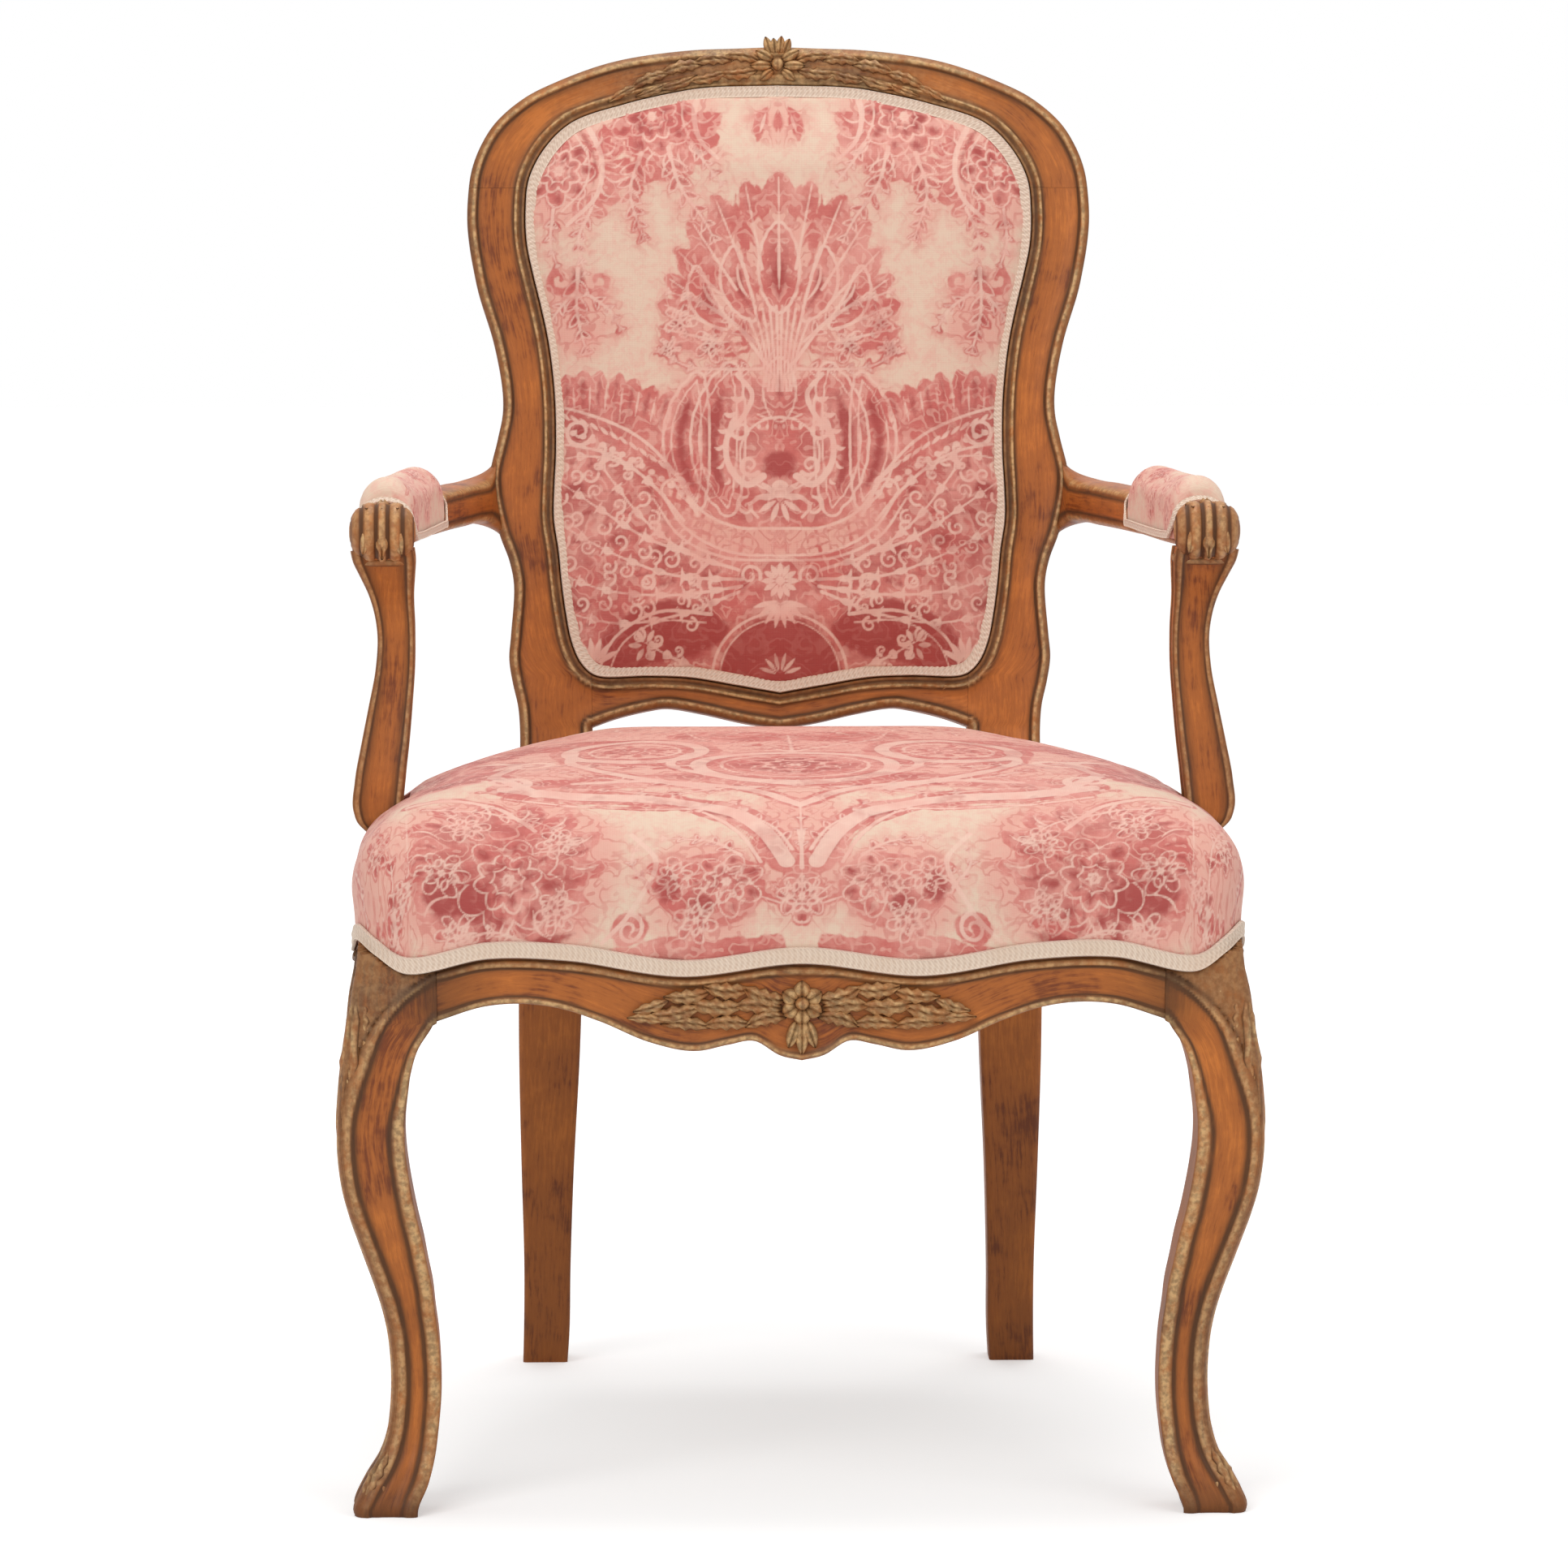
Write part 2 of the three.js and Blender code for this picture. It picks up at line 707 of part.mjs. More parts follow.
// A plain section of the rear leg at a height below the seat
function rearLegRing(share, grow) {
  const [, outerShare, innerShare, raked, thick] = readRow(rearLegShares, share);
  const z = share * backFootZ - (share === 0 ? grow : 0);
  const [outer, inner] = [outerShare * stileOuter + grow, innerShare * stileInner - grow];
  const front = stileFrontY + raked * (footFrontY - stileFrontY) - grow;
  const back = front + footThickness + thick * (stileThickness - footThickness) + 2 * grow;
  const [width, depth] = [outer - inner, back - front];
  const at = (a, b) => new THREE.Vector3(inner + a * width, front + b * depth, z);
  const edge = 3 * sharpEdge / depth;
  return [
    at(0, 1), at(0, 2 / 3), at(0, 1 / 3), at(0, edge), at(edge, 0), at(1 / 4, 0),
    at(1 / 2, 0), at(3 / 4, 0), at(1 - edge, 0), at(1, edge), at(1, 1 - edge), at(1 - edge, 1),
  ];
}

// Right stile: rear leg, then the upright of the back as far as the crest rail
const stileBackSteps = 14;
function stileBlank(grow = 0) {
  const rings = rearLegShares.map(([share]) => rearLegRing(share, grow));
  stileHeights().forEach((v) => {
    const outer = crossing(outerEdge, "y", v);
    const panel = v < panelCorner ? 0 : crossing(panelEdge, "y", v).x;
    const inner = new THREE.Vector3(Math.max(panel, lowerRailHalf + sharpEdge), v, 0);
    const room = inner.x - lowerRailHalf - sharpEdge / 2;
    const rebate = Math.min(Math.max(room, sharpEdge / 2), backRebateWidth);
    rings.push(frameRing(inner, outer, rebate, grow));
  });
  return loft(rings);
}

// Heights up the back where the upright's section is set: even steps, closer round the panel's corner
const panelCornerRow = backPanelShares.findLastIndex(([across]) => across * backHalfWidth > lowerRailHalf);
const panelCorner = backPanelShares[panelCornerRow][1] * backHeight;
function stileHeights() {
  const rows = backPanelShares.slice(panelCornerRow - 2, panelCornerRow + 1);
  const closer = rows.map(([, up]) => up * backHeight);
  const heights = [...closer, lowerRailFoot, (lowerRailFoot + panelCorner) / 2];
  const top = closer[0];
  for (let step = 1; step <= stileBackSteps; step += 1) {
    heights.push(top + (crestJointHeight - top) * step / stileBackSteps);
  }
  return heights.sort((a, b) => a - b);
}

// The crest rail between the tops of the stiles
const crestSteps = 11;
function crestBlank(grow = 0) {
  const joint = crestJointHeight + woodClearance - grow;
  const above = (edge) => {
    const end = crossing(edge, "y", joint);
    return sampleCurve([...edge.filter((p) => p.y > joint + sharpEdge), end], crestSteps);
  };
  const [outer, inner] = [above(outerEdge), above(panelEdge)];
  const right = outer.map((p, i) => frameRing(inner[i], p, backRebateWidth, grow));
  const left = right.slice(1).map((ring) => ring.map(flipX));
  return loft([...right.reverse(), ...left]);
}

// The lower rail of the back between the stiles
const lowerRailSteps = 10;
function lowerRailBlank() {
  const end = lowerRailHalf - woodClearance;
  const bottom = panelEdge.filter((p) => p.y < lowerRailFoot + backHalfWidth / 3);
  const right = [];
  for (let step = 0; step <= lowerRailSteps; step += 1) {
    const u = end * (1 - step / lowerRailSteps);
    const upper = crossing([...bottom].reverse(), "x", Math.max(u, sharpEdge / 2));
    const lower = crossing(underEdge, "x", Math.max(u, sharpEdge / 2));
    right.push(frameRing(upper.setX(u), lower.setX(u), backRebateWidth));
  }
  const left = right.slice(0, -1).reverse().map((ring) => ring.map(flipX));
  return loft([...right, ...left]);
}

// A box laid on the back between two corners given as across, up and proud
function backBox(low, high) {
  const ring = (v) => [[low[0], low[2]], [high[0], low[2]], [high[0], high[2]], [low[0], high[2]]]
    .map(([u, w]) => onBack(u, v, w));
  return loft([ring(low[1]), ring(high[1])]);
}

// A rail along the right half of the seat plan between two of its points
function railAlong(start, end, steps, bottomAt, grow = 0) {
  const between = seatHalf.slice(nearestIndex(start) + 1, nearestIndex(end));
  const run = sampleCurve([start, ...between, end], steps);
  return run.map((p, i) => railRing(p, seatNormal(p), bottomAt(p, i / steps), grow));
}

const frontHalf = legInnerFaceX - woodClearance;
const frontMiddle = seatHalf[0];
const frontEnd = crossing(seatHalf, "x", frontHalf);
const sideStart = crossing(seatHalf, "y", woodClearance - legInnerFaceY);
const sideEnd = crossing(seatHalf, "y", stileFrontY - woodClearance);
const backEnd = crossing([...seatHalf].reverse(), "x", stileInner - woodClearance);
const drop = (share) => railTop - share * seatRailDepth;

// Front rail, full width
const frontSteps = 16;
function frontRailBlank(grow = 0) {
  const bottom = (p) => drop(readRow(frontApronShares, p.x / frontHalf)[1]);
  const right = railAlong(frontMiddle, frontEnd, frontSteps, bottom, grow);
  right[0].forEach((p) => p.setX(0));
  right[frontSteps].forEach((p) => p.setX(frontHalf));
  return loft([...right.slice(1).reverse().map((ring) => ring.map(flipX)), ...right]);
}

// Right side rail
const sideSteps = 12;
function sideRailBlank(grow = 0) {
  const bottom = (p, share) => drop(readRow(sideApronShares, share)[1]);
  const rings = railAlong(sideStart, sideEnd, sideSteps, bottom, grow);
  rings[0].forEach((p) => p.setY(sideStart.y));
  rings[sideSteps].forEach((p) => p.setY(sideEnd.y));
  return loft(rings);
}

// Back rail, full width
const backRailSteps = 4;
function backRailBlank(grow = 0) {
  const right = railAlong(backEnd, seatHalf[fineSteps], backRailSteps, () => backRailBottom, grow);
  right[0].forEach((p) => p.setX(backEnd.x));
  right[backRailSteps].forEach((p) => p.setX(0));
  return loft([...right, ...right.slice(0, -1).reverse().map((ring) => ring.map(flipX))]);
}

// The level direction square to a run from one point to another
const horizontalNormal = (a, b) => new THREE.Vector3(b.y - a.y, a.x - b.x, 0).normalize();

// Where the arm's centre line is at a share of its run, with its size there
function armStation(share) {
  const [, out, rise, depth, width] = readRow(armShares, share);
  const centre = new THREE.Vector3(
    armRootX + out * (armReach - armRootX),
    armRootY - share * (armRootY - armFrontY),
    armHeight + rise * armDepth,
  );
  return { centre, halfDepth: depth * armDepth / 2, halfWidth: width * armWidth / 2 };
}

// The direction across the arm at a share of its run
function armAcross(share) {
  const step = 1 / armShares.length / 4;
  const [a, b] = [Math.max(share - step, 0), Math.min(share + step, 1)];
  return horizontalNormal(armStation(b).centre, armStation(a).centre);
}

// Right arm before its joints are cut
function armBlank(grow = 0) {
  return loft(armShares.map(([share]) => {
    const { centre, halfDepth, halfWidth } = armStation(share);
    const corner = Math.min(halfDepth, halfWidth) / 2;
    return roundedRing(centre, halfWidth + grow, halfDepth + grow, corner, armAcross(share), axisZ);
  }));
}

// Right arm support before its joints are cut
const supportBottom = railTop - supportFootBelowRail;
const supportTop = armHeight - armDepth / 4;
function supportBlank(grow = 0) {
  return loft(supportShares.map(([share]) => {
    const [, out, back, width, depth] = readRow(supportShares, share);
    const z = supportBottom + share * (supportTop - supportBottom) + (share ? grow : -grow);
    const centre = new THREE.Vector3(supportX + out * supportWidth, supportY + back * supportWidth, z);
    const half = supportWidth / 2;
    return roundedRing(centre, width * half + grow, depth * half + grow, half / 4, axisX, axisY);
  }));
}

// Tenons of the right half of the frame, each a pair of corners
const tenonBottom = railTop - seatRailDepth + tenonMargin;
const tenonTop = railTop - tenonMargin;
const halfRail = railThickness / 2;
const minusY = axisY.clone().negate();
const frontTenon = tenonCorners(
  new THREE.Vector3(frontHalf, frontEnd.y + halfRail, 0), axisX, tenonLength, tenonBottom, tenonTop);
const sideFrontTenon = tenonCorners(
  new THREE.Vector3(sideStart.x - halfRail, sideStart.y, 0), minusY, tenonLength, tenonBottom, tenonTop);
const sideBackTenon = tenonCorners(
  new THREE.Vector3(sideEnd.x - halfRail, sideEnd.y, 0), axisY, tenonLength, tenonBottom, tenonTop);
const backTenon = tenonCorners(
  new THREE.Vector3(backEnd.x, backEnd.y - halfRail, 0), axisX, tenonLength, tenonBottom, tenonTop);
const armTenonY = armRootY - armWidth / 16;
const armTenon = tenonCorners(
  new THREE.Vector3(armRootX + tenonMargin, armTenonY, 0), axisX.clone().negate(), tenonLength,
  armHeight - armDepth / 3, armHeight + armDepth / 3);
const halfTenon = tenonThickness / 2;
const handY = readRow(supportShares, 1)[2] * supportWidth + supportY;
const handX = readRow(supportShares, 1)[1] * supportWidth + supportX;
const handTenon = [
  new THREE.Vector3(handX - halfTenon, handY - halfTenon, supportTop - supportTenonLength),
  new THREE.Vector3(handX + halfTenon, handY + halfTenon, supportTop + tenonMargin),
];
const footX = supportX - footTenonInset;
const footTenon = [
  new THREE.Vector3(footX - halfTenon, supportY - tenonThickness, supportBottom - supportTenonLength),
  new THREE.Vector3(footX + halfTenon, supportY + tenonThickness, supportBottom + tenonMargin),
];
const mortise = ([low, high]) => grownBox(low, high, woodClearance);
const tenon = ([low, high]) => boxBetween(low, high);

// Tenons on the back's own plan: across, up and proud
const tenonDeep = -backFrameThickness / 2 - halfTenon;
const tenonShallow = tenonDeep + tenonThickness;
const acrossAt = (edge, up) => crossing(edge, "y", up).x;
const crestMiddle = (acrossAt(outerEdge, crestJointHeight) + acrossAt(panelEdge, crestJointHeight)) / 2;
const crestTenonAt = (grow) => backBox(
  [crestMiddle - tenonThickness - grow, crestJointHeight - tenonMargin, tenonDeep - grow],
  [crestMiddle + tenonThickness + grow, crestJointHeight + tenonLength + grow, tenonShallow + grow]);
const lowerRailEnd = lowerRailShares[lowerRailShares.length - 1][1];
const lowerRailMiddle = (lowerRailEnd + backPanelShares[panelCornerRow + 1][1]) / 2 * backHeight;
const lowerTenonAt = (grow) => backBox(
  [lowerRailHalf - tenonMargin, lowerRailMiddle - tenonThickness - grow, tenonDeep - grow],
  [lowerRailHalf + tenonLength + grow, lowerRailMiddle + tenonThickness + grow, tenonShallow + grow]);

// Pegs of the right half: where each is centred, its direction and length
const pegHigh = tenonTop - 2 * pegRadius;
const pegLow = tenonBottom + 2 * pegRadius;
const halfDrive = tenonLength / 2;
const backPegW = stilePegLength / 2 - backFrameThickness;
const halfLegPeg = legPegLength / 2;
const halfStilePeg = stilePegLength / 2;
const stileBackY = stileFrontY + stileThickness;
const place = (x, y, z) => new THREE.Vector3(x, y, z);
const rightPegs = {
  front_rail_peg: [
    place(legInnerFaceX + halfDrive, -legInnerFaceY - halfLegPeg, pegHigh), axisY, legPegLength],
  side_rail_front_peg: [
    place(legInnerFaceX + halfLegPeg, -legInnerFaceY - halfDrive, pegLow), axisX, legPegLength],
  side_rail_back_peg: [
    place(stileOuter - halfStilePeg, stileFrontY + halfDrive, pegHigh), axisX, stilePegLength],
  back_rail_peg: [
    place(stileInner + halfDrive, stileBackY - halfStilePeg, pegLow), axisY, stilePegLength],
  crest_peg: [onBack(crestMiddle, crestJointHeight + halfDrive, backPegW), backOut, stilePegLength],
  lower_rail_peg: [onBack(lowerRailHalf + halfDrive, lowerRailMiddle, backPegW), backOut, stilePegLength],
};
const peg = (name, grow = 0) => pegAt(...rightPegs[name], grow);
const hole = (name) => peg(name, woodClearance / 2);

// A raised oval form for carving: centre, half sizes and the direction it faces
const ovalSides = 10;
const ovalBands = 6;
function ovalBoss(centre, halfSizes, facing = minusY) {
  const oval = new THREE.SphereGeometry(1, ovalSides, ovalBands);
  oval.scale(...halfSizes);
  oval.applyQuaternion(new THREE.Quaternion().setFromUnitVectors(minusY, facing));
  return oval.translate(centre.x, centre.y, centre.z);
}

// Wood pieces of the right half with their joints cut
const rightLeg = () => cut(
  join(legBlank(), kneeLeaf()), clothBand(), mortise(frontTenon), mortise(sideFrontTenon),
  hole("front_rail_peg"), hole("side_rail_front_peg"));

// The carved leaf on the outside corner of a knee
function kneeLeaf() {
  const facing = new THREE.Vector3(1, -1, 0).normalize();
  const height = kneeTopHeight + kneeLeafHalfHeight / 4;
  const outer = kneeReach - readRow(legShares, height / railTop)[1] * legSweep;
  const inset = legWidth / 6;
  const centre = new THREE.Vector3(outer - inset, kneeDepthLess - outer + inset, height);
  return ovalBoss(centre, [kneeLeafHalfWidth, inset + carvingRise / 4, kneeLeafHalfHeight], facing);
}

const rightStile = () => cut(
  join(stileBlank(), crestTenonAt(0)), mortise(sideBackTenon), mortise(backTenon), mortise(armTenon),
  lowerTenonAt(woodClearance), hole("side_rail_back_peg"), hole("back_rail_peg"), hole("crest_peg"),
  hole("lower_rail_peg"));

const rightSideRail = () => cut(
  join(sideRailBlank(), tenon(sideFrontTenon), tenon(sideBackTenon)), supportBlank(woodClearance),
  mortise(footTenon), hole("side_rail_front_peg"), hole("side_rail_back_peg"));

const rightArm = () => cut(
  join(cut(armBlank(), stileBlank(woodClearance)), tenon(armTenon)), mortise(handTenon));

const rightSupport = () => join(
  cut(supportBlank(), armBlank(woodClearance)), tenon(handTenon), tenon(footTenon));

// Pieces that cross the middle
const both = (geometry) => [geometry, mirrored(geometry)];

// A run of leaves each side of a carved flower, as one plain form each side
const sprays = (centre, halfSizes, facing) => both(ovalBoss(centre, halfSizes, facing));

function frontRail() {
  const face = frontMiddle.y - railProud;
  const flowerZ = drop(frontApronShares[0][1]) + railFlowerRadius;
  const sprayZ = flowerZ + carvingRise;
  const flower = ovalBoss(place(0, face, flowerZ), [railFlowerRadius, carvingRise, railFlowerRadius]);
  const leaves = sprays(
    new THREE.Vector3(railFlowerRadius + railSprayLength / 2, face + carvingRise / 4, sprayZ),
    [railSprayLength / 2, carvingRise, sprayHalfHeight]);
  return cut(
    join(frontRailBlank(), ...both(tenon(frontTenon)), flower, ...leaves), ...both(hole("front_rail_peg")));
}

function crestRail() {
  const flowerV = backHeight - crestFlowerRadius;
  const flowerSizes = [crestFlowerRadius, crestFlowerRise, crestFlowerRadius];
  const flower = ovalBoss(onBack(0, flowerV + crestFlowerRise, 0), flowerSizes, backOut);
  const leaves = sprays(
    onBack(crestFlowerRadius + crestSprayLength / 2, flowerV, -backHollow),
    [crestSprayLength / 2, carvingRise, sprayHalfHeight], backOut);
  return cut(
    join(crestBlank(), flower, ...leaves), ...both(crestTenonAt(woodClearance)), ...both(hole("crest_peg")));
}

const lowerBackRail = () => cut(
  join(lowerRailBlank(), ...both(lowerTenonAt(0))), ...both(hole("lower_rail_peg")));
const backRail = () => cut(
  join(backRailBlank(), ...both(tenon(backTenon))), ...both(hole("back_rail_peg")));

// A flat outline of plan points raised between two heights
function slab(points, bottom, height) {
  const shape = new THREE.Shape(points.map(([x, y]) => new THREE.Vector2(x, y)));
  return new THREE.ExtrudeGeometry(shape, { depth: height, bevelEnabled: false }).translate(0, 0, bottom);
}

// Glued blocks in the right corners, scribed to the rails round them
const blockBottom = railTop - tenonMargin - cornerBlockHeight;
function frontBlock() {
  const [x, y] = [legInnerFaceX - woodClearance, -legInnerFaceY + woodClearance];
  const inFromFace = railThickness - tenonMargin;
  const [railY, railX] = [frontEnd.y + inFromFace, sideStart.x - inFromFace];
  const outline = [
    [x, railY], [x, y], [railX, y], [railX, y + cornerBlockLeg], [x - cornerBlockLeg, railY],
  ];
  const block = slab(outline, blockBottom, cornerBlockHeight);
  return cut(block, frontRailBlank(woodClearance), sideRailBlank(woodClearance));
}

function backBlock() {
  const [x, y] = [stileInner - woodClearance, stileFrontY - woodClearance];
  const inFromFace = railThickness - tenonMargin;
  const [railY, railX] = [backEnd.y - inFromFace, sideEnd.x - inFromFace];
  const outline = [
    [railX, y - cornerBlockLeg], [railX, y], [x, y], [x, railY], [x - cornerBlockLeg, railY],
  ];
  const block = slab(outline, blockBottom, cornerBlockHeight);
  return cut(block, backRailBlank(woodClearance), sideRailBlank(woodClearance));
}

// A flat strap through points, with its broad face up
function strap(points) {
  const half = webWidth / 2;
  return loft(points.map((p, i) => {
    const [a, b] = [points[Math.max(i - 1, 0)], points[Math.min(i + 1, points.length - 1)]];
    const side = horizontalNormal(a, b);
    const at = (across, up) => p.clone().addScaledVector(side, across).setZ(p.z + up);
    const rise = webThickness / 2;
    return [at(-half, -rise), at(half, -rise), at(half, rise), at(-half, rise)];
  }));
}

// Where the webbing straps run, and the two heights they weave between
const webLow = railTop + woodClearance + webThickness / 2;
const webHeight = (over) => webLow + (over ? 2 * webLift : 0);
const crosswiseY = (j) => firstCrosswiseY + j * crosswisePitch;
const webFrontY = frontMiddle.y + railThickness - webLanding;
const webBackY = backEnd.y - railThickness + webLanding;
function lengthwiseX(i, y) {
  const front = (i - (lengthwiseWebs - 1) / 2) * lengthwisePitch;
  const share = (y - webFrontY) / (webBackY - webFrontY);
  return front * (1 - share * (1 - webSplayShare));
}
const isOver = (i, j) => (i + j) % 2 === 0;
const webReach = webWidth / 2 + webFlat;

// One strap from the front rail to the back rail
function lengthwiseWeb(i) {
  const at = (y, z) => place(lengthwiseX(i, y), y, z);
  const points = [at(webFrontY, webLow)];
  for (let j = 0; j < crosswiseWebs; j += 1) {
    const z = webHeight(isOver(i, j));
    points.push(at(crosswiseY(j) - webReach, z), at(crosswiseY(j) + webReach, z));
  }
  return strap([...points, at(webBackY, webLow)]);
}

// One strap from side rail to side rail
function crosswiseWeb(j) {
  const y = crosswiseY(j);
  const end = crossing(seatHalf, "y", y).x - railThickness + webLanding;
  const points = [new THREE.Vector3(-end, y, webLow)];
  for (let i = 0; i < lengthwiseWebs; i += 1) {
    const z = webHeight(!isOver(i, j));
    const x = lengthwiseX(i, y);
    points.push(new THREE.Vector3(x - webReach, y, z), new THREE.Vector3(x + webReach, y, z));
  }
  return strap([...points, new THREE.Vector3(end, y, webLow)]);
}

// Room round the uprights that the seat's cloth and stuffing are cut away for
function uprightCuts() {
  const behind = boxBetween(
    place(stileInner - clothClearance, stileFrontY + cutOverrun, backRailBottom - seatRailDepth),
    place(stileOuter + seatRailDepth, stileBackY + stileThickness, seatCrown + seatRailDepth));
  const tools = [stileBlank(clothClearance), supportBlank(clothClearance), behind];
  return [...tools, ...tools.map(mirrored)];
}

// A point on the seat cushion over a point of the plan, at a share of its height, set in by a margin
const shoulderRow = 4;
function seatPoint(p, share, inset = 0) {
  const middle = new THREE.Vector3(0, seatCentreY, 0);
  const plan = new THREE.Vector3(p.x, p.y, 0).sub(middle);
  const reach = plan.length();
  const drawn = readRow(cushionShares, share)[1] * reach - inset;
  const sunk = inset * Math.min(share / cushionShares[shoulderRow][0], 1);
  const edge = p.z + coverEdgeLift;
  return plan.multiplyScalar(drawn / reach).add(middle).setZ(edge + share * (seatCrown - edge) - sunk);
}

// Damask over the seat, a thin skin open underneath
function seatCover() {
  const shares = cushionShares.map(([share]) => share);
  const skin = (inset) => shares.map((share) => seatOutline.map((p) => seatPoint(p, share, inset)));
  return cut(loft([...skin(0).reverse(), ...skin(clothThickness)]), ...uprightCuts());
}

const hessianBottom = webHeight(true) + webThickness / 2 + woodClearance;
const stuffingBottom = hessianBottom + hessianThickness + woodClearance;

// Horsehair over the hessian, filling the cover
function seatStuffing() {
  const inset = clothThickness + 2 * clothClearance;
  const lowest = (p) => (stuffingBottom - p.z - coverEdgeLift) / (seatCrown - p.z - coverEdgeLift);
  const shares = cushionShares.map(([share]) => share).filter((share) => share > cushionShares[1][0]);
  const base = seatOutline.map((p) => seatPoint(p, lowest(p), inset).setZ(stuffingBottom));
  const rings = shares.map((share) => seatOutline.map((p) => seatPoint(p, share, inset)));
  return cut(loft([base, ...rings]), ...uprightCuts());
}

// Hessian over the webbing
function seatHessian() {
  const scale = 1 - railThickness / 2 / seatHalfWidth;
  const ring = (z) => seatOutline.map((p) => new THREE.Vector3(
    p.x * scale, seatCentreY + (p.y - seatCentreY) * scale, z));
  return cut(loft([ring(hessianBottom), ring(hessianBottom + hessianThickness)]), ...uprightCuts());
}

// A braid along a run of the seat plan: its section stands just off the cloth
function seatBraid(points) {
  return loft(points.map((p) => {
    const outward = seatNormal(new THREE.Vector3(Math.abs(p.x), p.y, p.z));
    outward.x *= Math.sign(p.x) || 1;
    const at = (out, up) => new THREE.Vector3(p.x, p.y, p.z + up).addScaledVector(outward, out);
    const [inner, outer] = [gimpStandOff, gimpStandOff + gimpThickness];
    const [low, top] = [gimpStandOff, gimpStandOff + gimpWidth];
    return [at(inner, low), at(outer, low), at(outer, top), at(inner, top)];
  }));
}

// Braid round the front and sides, and along the back rail
function seatGimp() {
  const right = [...seatOutline.slice(0, seatSteps / 2).filter((p) => p.y < sideEnd.y), sideEnd];
  return seatBraid([...right.slice(1).reverse().map(flipX), ...right]);
}
function seatRearGimp() {
  const right = sampleCurve([seatHalf[fineSteps], backEnd], backRailSteps);
  return seatBraid([...right.slice(1).reverse(), ...right.map(flipX)]);
}

// The back panel as a closed run of points on the back's own plan
const panelSteps = 34;
const panelRight = flatPoints(backPanelShares);
const wholePanel = [...panelRight, ...panelRight.slice(1, -1).reverse().map(flipX)];
const panelLoop = sampleCurve(wholePanel, panelSteps, true);
const panelMiddle = new THREE.Vector3(0, (panelRight[0].y + panelRight[panelRight.length - 1].y) / 2, 0);
const panelPoint = (p, share, w) => {
  const at = panelMiddle.clone().lerp(p, share);
  return onBack(at.x, at.y, w);
};

// Cloths of the back, thin and bowed with it: from one depth to another, reaching a share of the panel
function backCloth(low, high) {
  const face = (w) => flatClothShares.map((share) => panelLoop.map((p) => panelPoint(p, share, w)));
  return loft([...face(high).reverse(), ...face(low)]);
}

const ledge = -backRebateDepth;
const backHessianTop = ledge + woodClearance + hessianThickness;
const coverEdge = backHessianTop + clothClearance + clothThickness;
const frontBraidBottom = coverEdge + 2 * clothClearance;

// Damask over the front of the back, a thin skin open behind
function backFrontCover() {
  const skin = (sunk) => backCushionShares.map(([rise, share]) => (
    panelLoop.map((p) => panelPoint(p, share, coverEdge + rise * backCrown - sunk))));
  return loft([...skin(0).reverse(), ...skin(clothThickness)]);
}

function backStuffing() {
  const sunk = clothThickness + woodClearance;
  const rows = backCushionShares.slice(2);
  const base = flatClothShares.slice(1).reverse().map((share) => (
    panelLoop.map((p) => panelPoint(p, share, backHessianTop + woodClearance))));
  const rings = rows.map(([rise, share]) => (
    panelLoop.map((p) => panelPoint(p, share, coverEdge + rise * backCrown - sunk))));
  return loft([...base, ...rings]);
}

// A braid round the back panel between two depths
function backBraid(low, high) {
  const loop = wholePanel;
  return loft(loop.map((p, i) => {
    const [a, b] = [loop[(i + loop.length - 1) % loop.length], loop[(i + 1) % loop.length]];
    const inward = horizontalNormal(a, b);
    const at = (far, w) => onBack(p.x + inward.x * far, p.y + inward.y * far, w);
    const [near, far] = [2 * clothClearance, 2 * clothClearance + gimpWidth];
    return [at(near, low), at(far, low), at(far, high), at(near, high)];
  }), true);
}

const rearClothTop = -backFrameThickness - woodClearance;
const rearClothBottom = rearClothTop - clothThickness;
const rearBraidTop = rearClothBottom - woodClearance;

// Right arm pad: a crowned body on top of the arm, shrunk by a margin
function padBlank(shrink, sunk = 0) {
  return loft(padShares.map(([share, width, rise]) => {
    const endwise = (share < 1 / 2 ? 1 : -1) * shrink / (armRootY - armFrontY);
    const along = padStartShare + share * (padEndShare - padStartShare) + endwise;
    const { centre, halfDepth } = armStation(along);
    const base = centre.z + halfDepth + clothClearance - sunk;
    const top = centre.z + halfDepth + rise * padRise - shrink;
    const halfHeight = (top - base) / 2;
    const halfWidth = width * padWidth / 2 - shrink;
    const corner = Math.min(halfHeight - sunk / 2, halfWidth) / 2;
    centre.setZ(base + halfHeight);
    return roundedRing(centre, halfWidth, halfHeight, corner, armAcross(along), axisZ);
  }));
}
const padCover = () => cut(padBlank(0), padBlank(clothThickness, cutOverrun));
const padStuffing = () => padBlank(clothThickness + clothClearance);

